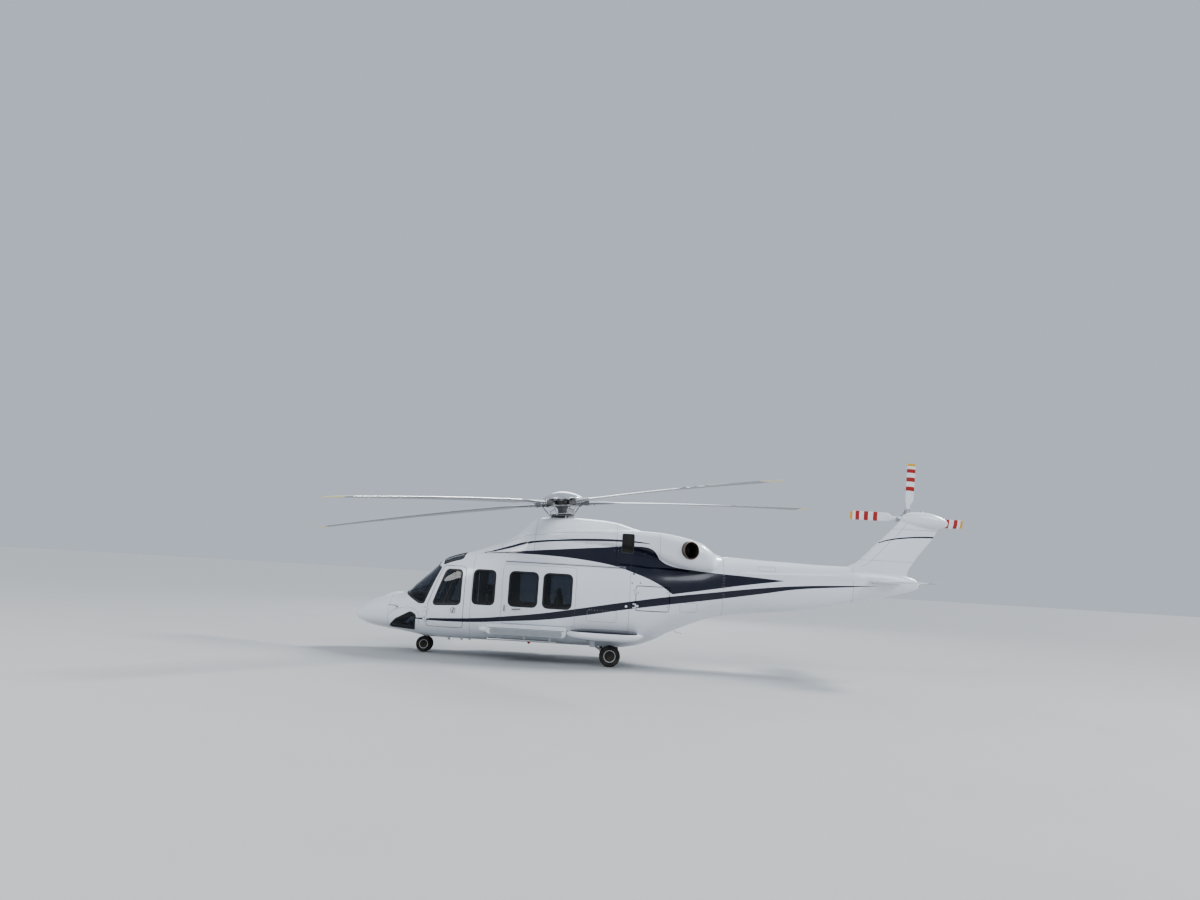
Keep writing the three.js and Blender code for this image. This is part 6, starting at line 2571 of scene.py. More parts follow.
@dataclass
class MainRotor:
    """Five blades on a hub under a domed cap, over a swashplate.

    Args:
        blades: How many there are.
        first: Azimuth of the first, in degrees from aft towards starboard.
        root: Where a blade begins.
        tip: Where it ends.
        droop: How far its tip hangs.
    """

    blades: int = 5
    first: float = -52.4
    root: float = 0.640
    tip: float = 6.700
    droop: float = 0.220

    SECTIONS = (BladeSection(0.645, 0.120, 0.084, 0.0, 0.0, 1.0), BladeSection(0.800, 0.125, 0.080, 0.0, 1.0,
                                                                               0.9),
                BladeSection(1.150, 0.155, 0.068, 0.0, 4.0, 0.45), BladeSection(1.300, 0.280, 0.052, 0.0, 5.5,
                                                                                0.1),
                BladeSection(1.420, 0.368, 0.046, 0.0, 6.0), BladeSection(1.560, 0.372, 0.044, 0.0, 6.0),
                BladeSection(3.300, 0.370, 0.044, 0.0, 4.0), BladeSection(5.000, 0.370, 0.042, 0.0, 1.0),
                BladeSection(6.250, 0.370, 0.038, 0.0, -1.0), BladeSection(6.450, 0.345, 0.033, 0.014, -1.0),
                BladeSection(6.600, 0.285, 0.025, 0.050, -1.0), BladeSection(6.690, 0.205, 0.014, 0.092,
                                                                             -1.0))

    def hang(self, radius: float) -> float:
        """Height of the drooping blade at a radius."""
        share = max(radius - self.root, 0) / (self.tip - self.root)
        return -self.droop * share**1.6

    def azimuths(self) -> list[float]:
        """Azimuth of each blade, in radians."""
        return [math.radians(self.first + 360 / self.blades * step) for step in range(self.blades)]

    def build(self) -> None:
        """Makes the blades and the head."""
        for index, azimuth in enumerate(self.azimuths(), 1):
            self.blade(index, UP_MAST @ Matrix.Rotation(azimuth, 4, "Z"))
        self.head()
        self.arms()
        self.controls()

    def blade(self, index: int, place: Matrix) -> None:
        """One blade with its cuff, trim tab and root bolts.

        Args:
            index: Its number, from 1.
            place: Where it goes.
        """
        radii = [section.radius for section in self.SECTIONS]
        tracks = {name: Track(radii, [getattr(section, name) for section in self.SECTIONS])
                  for name in ("chord", "thick", "sweep", "twist", "blunt")}
        stops = sorted(set(np.round(np.concatenate([
            np.linspace(0.645, 1.6, 26), np.linspace(1.6, 6.25, 48), np.linspace(6.25, 6.69, 14)]), 4)))
        rings = []
        for radius in stops:
            section = BladeSection(radius, *(float(tracks[name](radius)) for name in
                                            ("chord", "thick", "sweep", "twist", "blunt")))
            rings.append(section.ring(self.hang(radius)))
        stock = Stock().loft(rings).moved(place)
        rode(stock.made(f"blade_{index}", BLADE.material(), 50), "main_rotor", "blade", f"main_blade_{index}")
        cuff = Stock()
        for side in (-1, 1):
            for x in (0.70, 0.80):
                cuff.turned((x, 0.012, side * 0.042), (0, 0, side),
                            [(-0.02, 0), (-0.02, 0.020), (0.004, 0.020), (0.006, 0.012),
                        (0.018, 0.012), (0.020, 0)], 6)
        cuff.block((0.650, -0.075, -0.050), (0.668, 0.060, 0.050), 0.012)
        rode(cuff.moved(place).made(f"blade_root_bolts_{index}", ALLOY.material()), "main_rotor", "blade")
        edge = Stock()
        outline = [self.section_edge(tracks, radius) for radius in np.linspace(1.6, 6.2, 60)]
        edge.tube(outline, 0.0045, 8)
        rode(edge.moved(place).made(f"blade_erosion_strip_{index}", STEEL.material()), "main_rotor", "blade")
        tab = Stock()
        for radius in (4.4, 4.7, 5.0):
            y = -0.69 * 0.37
            tab.block((radius - 0.11, y - 0.022, self.hang(radius) - 0.007),
                      (radius + 0.11, y + 0.02, self.hang(radius) - 0.003),
                      0.001)
        rode(tab.moved(place).made(f"blade_trim_tabs_{index}", ALLOY.material()), "main_rotor", "blade")

    def section_edge(self, tracks: dict[str, Track], radius: float) -> Vector:
        """The leading edge's place at a radius, in the blade's own directions.

        Args:
            tracks: The blade's sizes by name.
            radius: Distance from the hub.

        Returns:
            The point.
        """
        chord, sweep, twist = (float(tracks[name](radius)) for name in ("chord", "sweep", "twist"))
        y = BladeSection.LEAD * chord - 0.003
        turn = math.radians(twist)
        return Vector((radius, y * math.cos(turn) - sweep, self.hang(radius) + y * math.sin(turn)))

    def head(self) -> None:
        """The mast, the hub plates and the domed cap."""
        cap = Stock().turned((0, 0, 0), Z_AXIS, [
            (0.064, 0.0), (0.064, 0.440), (0.060, 0.466), (0.062, 0.478), (0.070, 0.492), (0.083, 0.498),
            (0.098, 0.492), (0.118, 0.474), (0.142, 0.446), (0.168, 0.402), (0.193, 0.350), (0.215, 0.296),
            (0.236, 0.232), (0.254, 0.166), (0.266, 0.098), (0.273, 0.046), (0.275, 0.0)], 80).moved(UP_MAST)
        rode(cap.made("hub_cap", CAP_ALLOY.material(), 60), "main_rotor", "rotor_metal", "rotor_hub")
        bolts = Stock().turned((0.455, 0, 0.100), (0.42, 0, 1), [(-0.006, 0), (-0.006, 0.011), (0.006, 0.011),
                                                                 (0.008, 0)], 6)
        bolts.copied([UP_MAST @ Matrix.Rotation(a, 4, "Z") for a in circle(20)])
        rode(bolts.made("hub_cap_bolts", STEEL.material()), "main_rotor", "rotor_metal")
        plates = Stock()
        for low, high in ((-0.078, -0.046), (0.046, 0.076)):
            plates.join(self.star(low, high))
        rode(plates.moved(UP_MAST).made("hub_plates", ALLOY.material(), 30), "main_rotor", "rotor_metal")
        core = Stock().turned((0, 0, 0), Z_AXIS, [
            (-0.115, 0), (-0.115, 0.128), (-0.095, 0.140), (-0.080, 0.205), (0.060, 0.205), (0.062, 0)], 48)
        core.turned((0, 0, 0), Z_AXIS, [(-0.420, 0.095), (-0.420, 0.118), (-0.300, 0.118), (-0.285, 0.105),
                                        (-0.150, 0.105), (-0.110, 0.125), (-0.105, 0.0), (-0.42, 0.0)], 48)
        rode(core.moved(UP_MAST).made("mast_and_sleeve", CASTING.material()), "main_rotor", "rotor_metal")

    def star(self, low: float, high: float) -> Stock:
        """A plate with five rounded lobes.

        Args:
            low: Its lowest height.
            high: Its highest height.

        Returns:
            The plate.
        """
        outline = []
        for angle in circle(120):
            lobe = 0.5 + 0.5 * math.cos(self.blades * (angle - self.azimuths()[0]))
            radius = 0.215 + 0.150 * lobe**1.6
            outline.append((radius * math.cos(angle), radius * math.sin(angle)))
        rim = 0.004
        return Stock().loft([[(x * share, y * share, z) for x, y in outline] for z, share in (
            (low, 0.985), (low + rim, 1.0), (high - rim, 1.0), (high, 0.985))])

    def arms(self) -> None:
        """Bearings, sleeves, pitch horns and lag dampers between hub and blades."""
        for index, azimuth in enumerate(self.azimuths(), 1):
            place = UP_MAST @ Matrix.Rotation(azimuth, 4, "Z")
            bearing = Stock()
            for x in np.arange(0.255, 0.345, 0.018):
                bearing.turned((x, 0, 0), X_AXIS, [(0, 0), (0, 0.045), (0.004, 0.052), (0.012, 0.052),
                                                   (0.016, 0.045), (0.016, 0)], 28)
            rode(bearing.moved(place).made(f"blade_bearing_{index}", RUBBER.material()), "main_rotor",
                 "rotor_metal")
            sleeve = Stock().turned((0, 0, 0), X_AXIS, [
                (0.345, 0), (0.345, 0.062), (0.360, 0.070), (0.395, 0.070), (0.410, 0.058), (0.530, 0.054),
                (0.600, 0.056), (0.615, 0.066), (0.640, 0.066), (0.642, 0)], 32)
            sleeve.block((0.560, -0.075, -0.052), (0.640, 0.060, -0.034), 0.006)
            sleeve.block((0.560, -0.075, 0.034), (0.640, 0.060, 0.052), 0.006)
            sleeve.tube([(0.470, 0.030, -0.040), (0.470, 0.075, -0.050), (0.470, 0.110, -0.055)],
                        [0.034, 0.026, 0.022], 14)
            rode(sleeve.moved(place).made(f"blade_sleeve_{index}", CASTING.material(), 45), "main_rotor",
                 "rotor_metal")
            link = Stock().tube([(0.470, 0.110, -0.045), (0.462, 0.108, -0.062), (0.310, 0.062, -0.262),
                                 (0.300, 0.060, -0.275)], [0.016, 0.010, 0.010, 0.016], 14)
            link.tube([(0.430, 0.098, -0.104), (0.342, 0.072, -0.220)], 0.0145, 6)
            for x, y, z in ((0.470, 0.110, -0.045), (0.300, 0.060, -0.275)):
                link.turned((x, y, z - 0.014), Z_AXIS, [(0, 0), (0, 0.018), (0.028, 0.018), (0.028, 0)], 20)
            rode(link.moved(place).made(f"pitch_link_{index}", STEEL.material()), "main_rotor", "rotor_metal")
            damper = Stock().turned((0.200, -0.115, 0.0), (0.94, -0.34, -0.05), [
                (0, 0), (0, 0.018), (0.045, 0.018), (0.050, 0.033), (0.060, 0.036), (0.175, 0.036),
                (0.185, 0.030), (0.190, 0.012), (0.260, 0.012), (0.265, 0.020), (0.290, 0.020), (0.290, 0)],
                                    28)
            rode(damper.moved(place).made(f"lag_damper_{index}", DARK_METAL.material()), "main_rotor",
                 "rotor_metal")

    def controls(self) -> None:
        """Both rings of the swashplate, its scissors, and the three jacks under it."""
        turning = Stock().turned((0, 0, 0), Z_AXIS, [
            (-0.274, 0.125), (-0.274, 0.290), (-0.270, 0.305), (-0.256, 0.305), (-0.252, 0.290),
            (-0.248, 0.230), (-0.240, 0.210), (-0.240, 0.125), (-0.274, 0.125)], 64)
        for azimuth in self.azimuths():
            x = 0.300 * math.cos(azimuth) - 0.060 * math.sin(azimuth)
            y = 0.300 * math.sin(azimuth) + 0.060 * math.cos(azimuth)
            turning.turned((x, y, -0.290), Z_AXIS, [(0, 0), (0, 0.024), (0.030, 0.024), (0.034, 0.018),
                                                    (0.034, 0)], 20)
        for step in (0, 1):
            angle = self.azimuths()[0] + math.radians(36 + 180 * step)
            direction = Vector((math.cos(angle), math.sin(angle), 0))
            turning.tube([direction * 0.27 + Vector((0, 0, -0.258)), direction * 0.31 + Vector((0, 0, -0.19)),
                          direction * 0.16 + Vector((0, 0, -0.115))], 0.013, 10)
        rode(turning.moved(UP_MAST).made("swashplate_turning", ALLOY.material()), "main_rotor", "rotor_metal")
        fixed = Stock().turned((0, 0, 0), Z_AXIS, [
            (-0.310, 0.128), (-0.310, 0.262), (-0.304, 0.270), (-0.290, 0.270), (-0.284, 0.262),
            (-0.284, 0.128), (-0.310, 0.128)], 56)
        jacks = Stock()
        for angle in (math.radians(70), math.radians(180), math.radians(290)):
            x, y = 0.245 * math.cos(angle), 0.245 * math.sin(angle)
            fixed.block((x - 0.028, y - 0.028, -0.322), (x + 0.028, y + 0.028, -0.296), 0.008)
            jacks.tube([(x, y, -0.300), (x, y, -0.480)], 0.014, 16)
            jacks.tube([(x, y, -0.470), (x, y, -0.740)], 0.026, 20)
        rode(fixed.moved(UP_MAST).made("swashplate_fixed", CASTING.material()), "main_rotor", "rotor_metal")
        rode(jacks.moved(UP_MAST).made("control_jacks", CHROME.material()), "airframe", "machinery")


@dataclass
class TailRotor:
    """Four banded blades on a canted hub.

    Args:
        blades: How many there are.
        pitch: Their pitch in degrees.
    """

    blades: int = 4
    pitch: float = 8.0

    # radius, chord, thickness, how blunt
    SECTIONS = ((0.120, 0.090, 0.060, 1.0), (0.330, 0.095, 0.055, 0.8), (0.410, 0.160, 0.042, 0.2),
                (0.460, 0.205, 0.034, 0.0), (0.520, 0.212, 0.033, 0.0), (1.270, 0.215, 0.026, 0.0),
                (1.325, 0.195, 0.018, 0.0), (1.348, 0.150, 0.011, 0.0))

    def build(self) -> None:
        """Makes the blades in one piece and the hub over them."""
        columns = list(zip(*self.SECTIONS))
        tracks = [Track(columns[0], column) for column in columns[1:]]
        rings = []
        for radius in np.concatenate([np.linspace(0.12, 0.55, 16), np.linspace(0.58, 1.348, 22)]):
            chord, thick, blunt = (float(track(radius)) for track in tracks)
            rings.append([Vector((p.x, -p.z, p.y)) for p in
                          BladeSection(radius, chord, thick, 0.0, self.pitch, blunt).ring(0.0)])
        blade = Stock().loft(rings)
        turns = [Matrix.Rotation(a, 4, "Y") for a in circle(self.blades)]
        blade.copied([ON_TAIL @ turn for turn in turns])
        rode(blade.made("tail_blades", TAIL_BLADE_PAINT.material(), 50), "tail_rotor_body", "blade",
             "tail_rotor")
        hub = Stock().turned((0, 0, 0), Y_AXIS, [
            (-0.060, 0), (-0.060, 0.142), (-0.052, 0.150), (0.050, 0.150), (0.060, 0.142), (0.062, 0.075),
            (0.105, 0.070), (0.110, 0.062), (0.110, 0)], 48)
        fork = Stock()
        for sign in (-1, 1):
            fork.block((0.110, sign * 0.045 - 0.008, -0.052), (0.262, sign * 0.045 + 0.008, 0.052), 0.006)
        fork.tube([(0.235, -0.060, 0), (0.235, 0.060, 0)], 0.016, 18)
        fork.tube([(0.190, 0.020, 0.055), (0.150, 0.105, 0.075)], 0.010, 12)
        fork.copied(turns)
        spider = Stock().turned((0, 0, 0), Y_AXIS, [(0.100, 0), (0.100, 0.120), (0.108, 0.124),
                                                    (0.122, 0.124), (0.130, 0.118), (0.150, 0.04),
                                                    (0.155, 0)], 40)
        for stock, name, finish in ((hub, "tail_hub", CASTING), (fork, "tail_forks", STEEL),
                                    (spider, "tail_spider", ALLOY)):
            rode(stock.moved(ON_TAIL).made(name, finish.material()), "tail_rotor_body", "blade")


@dataclass
class Wheel:
    """A tyre on a bolted rim.

    Args:
        radius: Of the tyre.
        width: Of the tyre.
        bore: Radius of the axle's hole.
        ribs: Grooves around the tread.
    """

    radius: float
    width: float
    bore: float
    ribs: int = 4

    def tyre(self) -> Stock:
        """The tyre about the y axis, its tread grooved."""
        half, bead = self.width / 2, self.radius * 0.56
        profile = [(-half * 0.70, bead), (-half * 0.86, bead + 0.006),
                   (-half * 0.98, bead + (self.radius - bead) * 0.35),
                   (-half, bead + (self.radius - bead) * 0.52),
                   (-half * 0.96, bead + (self.radius - bead) * 0.72),
                   (-half * 0.86, bead + (self.radius - bead) * 0.88), (-half * 0.72, self.radius - 0.004)]
        tread = []
        pitch = half * 1.30 / (self.ribs + 1)
        for step in range(1, self.ribs + 1):
            y = -half * 0.65 + pitch * step
            crown = self.radius * (1 - 0.012 * (y / half) ** 2)
            tread += [(y - 0.0035, crown), (y - 0.0022, crown - 0.006), (y + 0.0022, crown - 0.006),
                      (y + 0.0035, crown)]
        mirrored = [(-y, r) for y, r in reversed(profile)]
        inner = [(half * 0.45, bead - 0.004), (-half * 0.45, bead - 0.004), (-half * 0.70, bead)]
        return Stock().turned((0, 0, 0), Y_AXIS, profile + tread + mirrored + inner, 80)

    def rim(self, outside: int) -> Stock:
        """The rim with its holes, hub and bolts, dished on its outer face.

        Args:
            outside: 1 for a wheel that faces starboard and -1 for port.

        Returns:
            The rim's shape.
        """
        half, bead = self.width / 2, self.radius * 0.56
        stock = Stock().turned((0, 0, 0), (0, outside, 0), [
            (-half * 0.74, bead - 0.012), (-half * 0.76, bead + 0.004), (-half * 0.66, bead + 0.006),
            (-half * 0.5, bead - 0.010), (half * 0.5, bead - 0.010), (half * 0.66, bead + 0.006),
            (half * 0.76, bead + 0.004), (half * 0.74, bead - 0.012),
            (half * 0.30, bead - 0.022), (half * 0.12, bead * 0.70), (half * 0.16, bead * 0.42),
            (half * 0.52, bead * 0.34), (half * 0.56, bead * 0.28), (half * 0.56, self.bore),
            (-half * 0.56, self.bore), (-half * 0.56, bead * 0.34),
            (-half * 0.10, bead * 0.42), (-half * 0.10, bead * 0.80), (-half * 0.45, bead - 0.024),
            (-half * 0.74, bead - 0.012)], 64)
        bolts = Stock().turned((0, outside * half * 0.14, bead * 0.56), (0, outside, 0),
                               [(-0.004, 0), (-0.004, 0.010), (0.012, 0.010), (0.013, 0)], 6)
        bolts.copied([Matrix.Rotation(a, 4, "Y") for a in circle(9)])
        return stock.join(bolts)

    def cap(self, outside: int) -> Stock:
        """The hub cap over the axle's end.

        Args:
            outside: The same as the rim's.

        Returns:
            The cap's shape.
        """
        half, size = self.width / 2, self.radius * 0.56 * 0.27
        return Stock().turned((0, 0, 0), (0, outside, 0),
                              [(half * 0.50, 0), (half * 0.50, size), (half * 0.62, size * 0.92),
                               (half * 0.68, size * 0.6), (half * 0.70, 0)], 36)


@dataclass
class LandingGear:
    """Main wheels on trailing arms and a steered nose leg with two wheels.

    Args:
        axle: Place of the starboard main axle.
        pivot: Place of its trunnion.
        arm_y: Place across of the trailing arm.
        roof: Height of the wheel well's roof, where the leg ends.
        nose: Place of the nose axle.
        nose_spread: Distance of each nose wheel from the middle.
    """

    axle: Vector = Vector((5.850, 1.050, 0.228))
    pivot: Vector = Vector((5.460, 1.050, 0.455))
    arm_y: float = 0.930
    roof: float = 0.700
    nose: Vector = Vector((1.620, 0.0, 0.175))
    nose_spread: float = 0.105

    def build(self) -> None:
        """Makes the main legs, the nose leg and every wheel."""
        for side in Side:
            self.main(side)
        self.nose_leg()
        self.nose_wheels()

    def main(self, side: Side) -> None:
        """One main wheel with its leg.

        Args:
            side: Which side it is on.
        """
        wheel = Wheel(0.228, 0.165, 0.0247)
        place = Matrix.Translation((self.axle.x, side.value * self.axle.y, self.axle.z))
        body = f"wheel_{side.label}"
        rode(wheel.tyre().moved(place).made(f"main_tyre_{side.label}", RUBBER.material(), 35), body, "tyre",
             f"main_wheel_{side.label}")
        rode(wheel.rim(side.value).moved(place).made(f"main_rim_{side.label}", GEAR_PAINT.material(), 30),
             body, "tyre")
        leg = Stock()
        leg.block((self.pivot.x - 0.055, 1.060, 0.405), (self.pivot.x + 0.055, 1.130, self.roof - 0.001),
                  0.008)
        leg.turned((self.pivot.x, self.arm_y - 0.024, self.pivot.z), Y_AXIS, [
            (0, 0), (0, 0.030), (0.004, 0.034), (0.176, 0.034), (0.180, 0.030), (0.180, 0)], 32)
        arm = [Vector((self.pivot.x, self.arm_y, self.pivot.z)).lerp(Vector((self.axle.x, self.arm_y,
                                                                             self.axle.z)), t)
               for t in np.linspace(0, 1, 12)]
        leg.tube(arm, [0.026 - 0.005 * math.sin(math.pi * t) for t in np.linspace(0, 1, 12)], 20, 1.25)
        for point in (arm[0], arm[-1]):
            leg.turned(point - Vector((0, 0.026, 0)), Y_AXIS,
                       [(0, 0), (0, 0.034), (0.004, 0.038), (0.046, 0.038), (0.050, 0.034),
                           (0.050, 0)], 28)
        axle = Stock().turned((self.axle.x, self.arm_y - 0.03, self.axle.z), Y_AXIS, [
            (0, 0), (0, 0.0235), (0.190, 0.0235), (0.193, 0.020), (0.195, 0)], 28)
        strut = Stock().tube([(5.745, self.arm_y, 0.315), (5.695, self.arm_y, 0.420)], 0.016, 20)
        strut.turned((5.745, self.arm_y, 0.290), Z_AXIS, [(0, 0), (0, 0.022), (0.03, 0.022), (0.03, 0)], 20)
        brake = Stock().turned((self.axle.x, self.arm_y + 0.010, self.axle.z), Y_AXIS, [
            (0, 0), (0, 0.075), (0.006, 0.082), (0.022, 0.082), (0.026, 0.075), (0.026, 0)], 36)
        pipe = Stock().tube([(self.pivot.x, self.arm_y - 0.034, 0.560),
                             (self.pivot.x + 0.02, self.arm_y - 0.040, 0.470),
                             (self.pivot.x + 0.20, self.arm_y - 0.034, 0.360),
                             (self.axle.x - 0.05, self.arm_y - 0.032, 0.270),
                             (self.axle.x - 0.02, self.arm_y + 0.004, 0.262)], 0.005, 8)
        pieces = ((leg, "main_leg_arm", GEAR_PAINT), (axle, "main_axle", STEEL),
                  (strut, "main_strut", CHROME), (brake, "main_brake", DARK_METAL),
                  (pipe, "brake_pipe", RUBBER))
        for stock, name, finish in pieces:
            stock.on(side, Side.RIGHT)
            nodes = [f"main_leg_{side.label}"] if name == "main_leg_arm" else []
            rode(stock.made(f"{name}_{side.label}", finish.material()), "airframe", "gear_steel", *nodes)
        rode(wheel.cap(side.value).moved(place).made(f"main_hub_cap_{side.label}", ALLOY.material()), body,
             "tyre")

    def nose_leg(self) -> None:
        """The oleo, its fork hub, torque links, steering collar and lamp."""
        x, z = self.nose.x, self.nose.z
        leg = Stock().turned((x, 0, 0), Z_AXIS, [
            (0.300, 0), (0.300, 0.050), (0.306, 0.056), (0.330, 0.056), (0.336, 0.042), (0.478, 0.042),
            (0.482, 0.062), (0.555, 0.062), (0.5594, 0.056), (0.5594, 0)], 40)
        leg.block((x - 0.030, -0.010, 0.500), (x + 0.098, 0.010, 0.520), 0.004)
        fork = Stock().turned((x, -0.050, z), Y_AXIS, [
            (0, 0.0168), (0, 0.032), (0.004, 0.036), (0.096, 0.036), (0.100, 0.032), (0.100, 0.0168),
            (0, 0.0168)], 36)
        fork.turned((x, 0, z), Z_AXIS, [(0.020, 0), (0.020, 0.034), (0.060, 0.034), (0.080, 0.030),
                                        (0.085, 0)], 32)
        links = Stock()
        for low, high in (((x + 0.034, 0, z + 0.030), (x + 0.105, 0, 0.268)),
                          ((x + 0.105, 0, 0.268), (x + 0.050, 0, 0.326))):
            for sign in (-1, 1):
                start, end = Vector(low) + Vector((0, sign * 0.022, 0)), Vector(high) + Vector((0,
                                                                                                sign * 0.014,
                                                                                                0))
                links.tube([start, end], 0.007, 12)
        links.tube([(x + 0.105, -0.022, 0.268), (x + 0.105, 0.022, 0.268)], 0.010, 16)
        chrome = Stock().turned((x, 0, 0), Z_AXIS, [(z + 0.06, 0), (z + 0.06, 0.0275), (0.305, 0.0275),
                                                    (0.305, 0)], 36)
        lamp = Stock().turned((x - 0.064, 0, 0.400), (-1, 0, -0.15), [
            (-0.022, 0), (-0.022, 0.020), (0.004, 0.040), (0.014, 0.043), (0.018, 0.040), (0.018, 0)], 32)
        lens = Stock().turned((x - 0.064, 0, 0.400), (-1, 0, -0.15),
                              [(0.017, 0), (0.017, 0.037), (0.022, 0.030), (0.025, 0)], 32)
        pieces = ((leg, "nose_oleo", GEAR_PAINT), (fork, "nose_axle_housing", GEAR_PAINT),
                  (links, "nose_torque_links", STEEL), (chrome, "nose_piston", CHROME),
                  (lamp, "taxi_lamp", DARK_METAL), (lens, "taxi_lamp_lens", CLEAR_LENS))
        for stock, name, finish in pieces:
            nodes = ["nose_leg"] if name == "nose_oleo" else []
            rode(stock.made(name, finish.material()), "nose_gear", "gear_steel", *nodes)

    def nose_wheels(self) -> None:
        """Both nose wheels on their shared axle."""
        wheel = Wheel(0.175, 0.095, 0.0155, 3)
        tyres, rims = Stock(), Stock()
        for sign in (-1, 1):
            place = Matrix.Translation((self.nose.x, sign * self.nose_spread, self.nose.z))
            tyres.join(wheel.tyre().moved(place))
            rims.join(wheel.rim(sign).moved(place)).join(wheel.cap(sign).moved(place))
        axle = Stock().turned((self.nose.x, -0.118, self.nose.z), Y_AXIS,
                              [(0, 0), (0, 0.0155), (0.236, 0.0155), (0.236, 0)], 28)
        rode(tyres.made("nose_tyres", RUBBER.material(), 35), "nose_wheel_pair", "tyre", "nose_wheels")
        rode(rims.made("nose_rims", GEAR_PAINT.material(), 30), "nose_wheel_pair", "tyre")
        rode(axle.made("nose_axle", STEEL.material()), "nose_wheel_pair", "tyre")


def hull_solid(start: float, end: float, inset: float) -> Stock:
    """A plain solid of the body between two stations, for cutting what meets it."""
    return Stock().loft([HULL.ring(station, inset) for station in spaced(start, end, 0.06)])


@dataclass
class Powerplant:
    """The main gearbox and the two engines under the cowlings, with the shafts between them.

    Args:
        deck: Height that the gearbox stands on.
        engine_y: Place across of each engine.
        engine_z: Height of the engines' middle line.
    """

    deck: float = 2.430
    engine_y: float = 0.545
    engine_z: float = 2.665

    def build(self) -> None:
        """Makes the castings, the shafts and the ducts to the exhausts."""
        plant = Stock().turned((4.640, 0, self.deck), Z_AXIS, [
            (0, 0), (0, 0.40), (0.10, 0.41), (0.13, 0.36), (0.30, 0.32), (0.40, 0.24), (0.44, 0.24),
            (0.46, 0.19), (0.46, 0)], 48)
        ducts = Stock()
        for sign in (-1, 1):
            y, z = sign * self.engine_y, self.engine_z
            plant.turned((6.200, y, z), X_AXIS, [
                (0, 0), (0, 0.09), (0.05, 0.13), (0.07, 0.155), (0.22, 0.160), (0.25, 0.13), (0.50, 0.12),
                (0.52, 0.150), (0.66, 0.155), (0.70, 0.13), (0.94, 0.12), (0.94, 0)], 36)
            plant.tube([(4.90, sign * 0.25, z), (5.50, sign * 0.42, z), (6.22, y, z)], 0.05, 20)
            plant.block((6.45, y - 0.10, z - 0.185), (6.95, y + 0.10, z - 0.12), 0.01)
            ducts.tube([(7.10, y, z), (7.28, sign * 0.58, z - 0.02), (7.40, sign * 0.66, 2.610)],
                       (0.12, 0.14, 0.15), 32)
        rode(plant.made("gearbox_and_engines", CASTING.material()), "airframe", "machinery", "powerplant")
        rode(ducts.made("engine_ducts", PIPE.material()), "airframe", "machinery")


@dataclass
class Sponsons:
    """The fairings on the belly's sides that the main wheels fold into.

    Args:
        roundness: Exponent of the sections.
        well: Stations, distances across and roof of the wheel's recess.
        bed: How deep the fairing sits in the body.
    """

    roundness: float = 0.75
    well: tuple[float, ...] = (5.340, 6.160, 0.880, 1.200, 0.700)
    bed: float = 0.015

    # station, middle across, half width, middle height, half height
    SECTIONS = (
        (4.900, 1.150, 0.060, 0.660, 0.030), (5.000, 1.135, 0.180, 0.663, 0.080),
        (5.250, 1.130, 0.330, 0.665, 0.115), (5.600, 1.140, 0.378, 0.665, 0.125),
        (6.100, 1.140, 0.378, 0.665, 0.125), (6.300, 1.130, 0.330, 0.665, 0.110),
        (6.480, 1.110, 0.200, 0.680, 0.065), (6.560, 1.100, 0.060, 0.690, 0.020))

    def build(self) -> None:
        """Makes both fairings, each with its wheel well and the lip round it."""
        columns = list(zip(*self.SECTIONS))
        tracks = [Track(columns[0], column) for column in columns[1:]]
        turn = np.linspace(0, 2 * math.pi, 72, endpoint=False)
        rings = []
        for station in np.linspace(columns[0][0], columns[0][-1], 64):
            across, half, height, tall = (float(track(station)) for track in tracks)
            ys = across + half * signed_power(np.cos(turn), self.roundness)
            zs = height + tall * signed_power(np.sin(turn), self.roundness)
            rings.append([(station, y, z) for y, z in zip(ys, zs)])
        shell = Stock().loft(rings).made("sponson_shell", DECK_PAINT.material(), 45)
        x0, x1, y0, y1, roof = self.well
        carve(shell, Stock().block((x0, y0, 0.300), (x1, y1, roof)), Cut.AWAY)
        carve(shell, hull_solid(4.70, 6.80, self.bed), Cut.AWAY)
        smooth(shell.data, 35)
        for side, piece in both_sides(shell, "sponson_shell", Side.RIGHT).items():
            rode(piece, "airframe", "skin_white", f"sponson_{side.label}")
            lip = Stock()
            for x in (x0 - 0.012, x1 + 0.012):
                lip.tube([(x, y0 + 0.02, 0.545), (x, y1, 0.545)], 0.008, 10)
            lip.tube([(x0 - 0.012, y1 + 0.010, 0.545), (x1 + 0.012, y1 + 0.010, 0.545)], 0.008, 10)
            lip.on(side, Side.RIGHT)
            rode(lip.made(f"wheel_well_lip_{side.label}", SEAL.material()), "airframe", "skin_white")


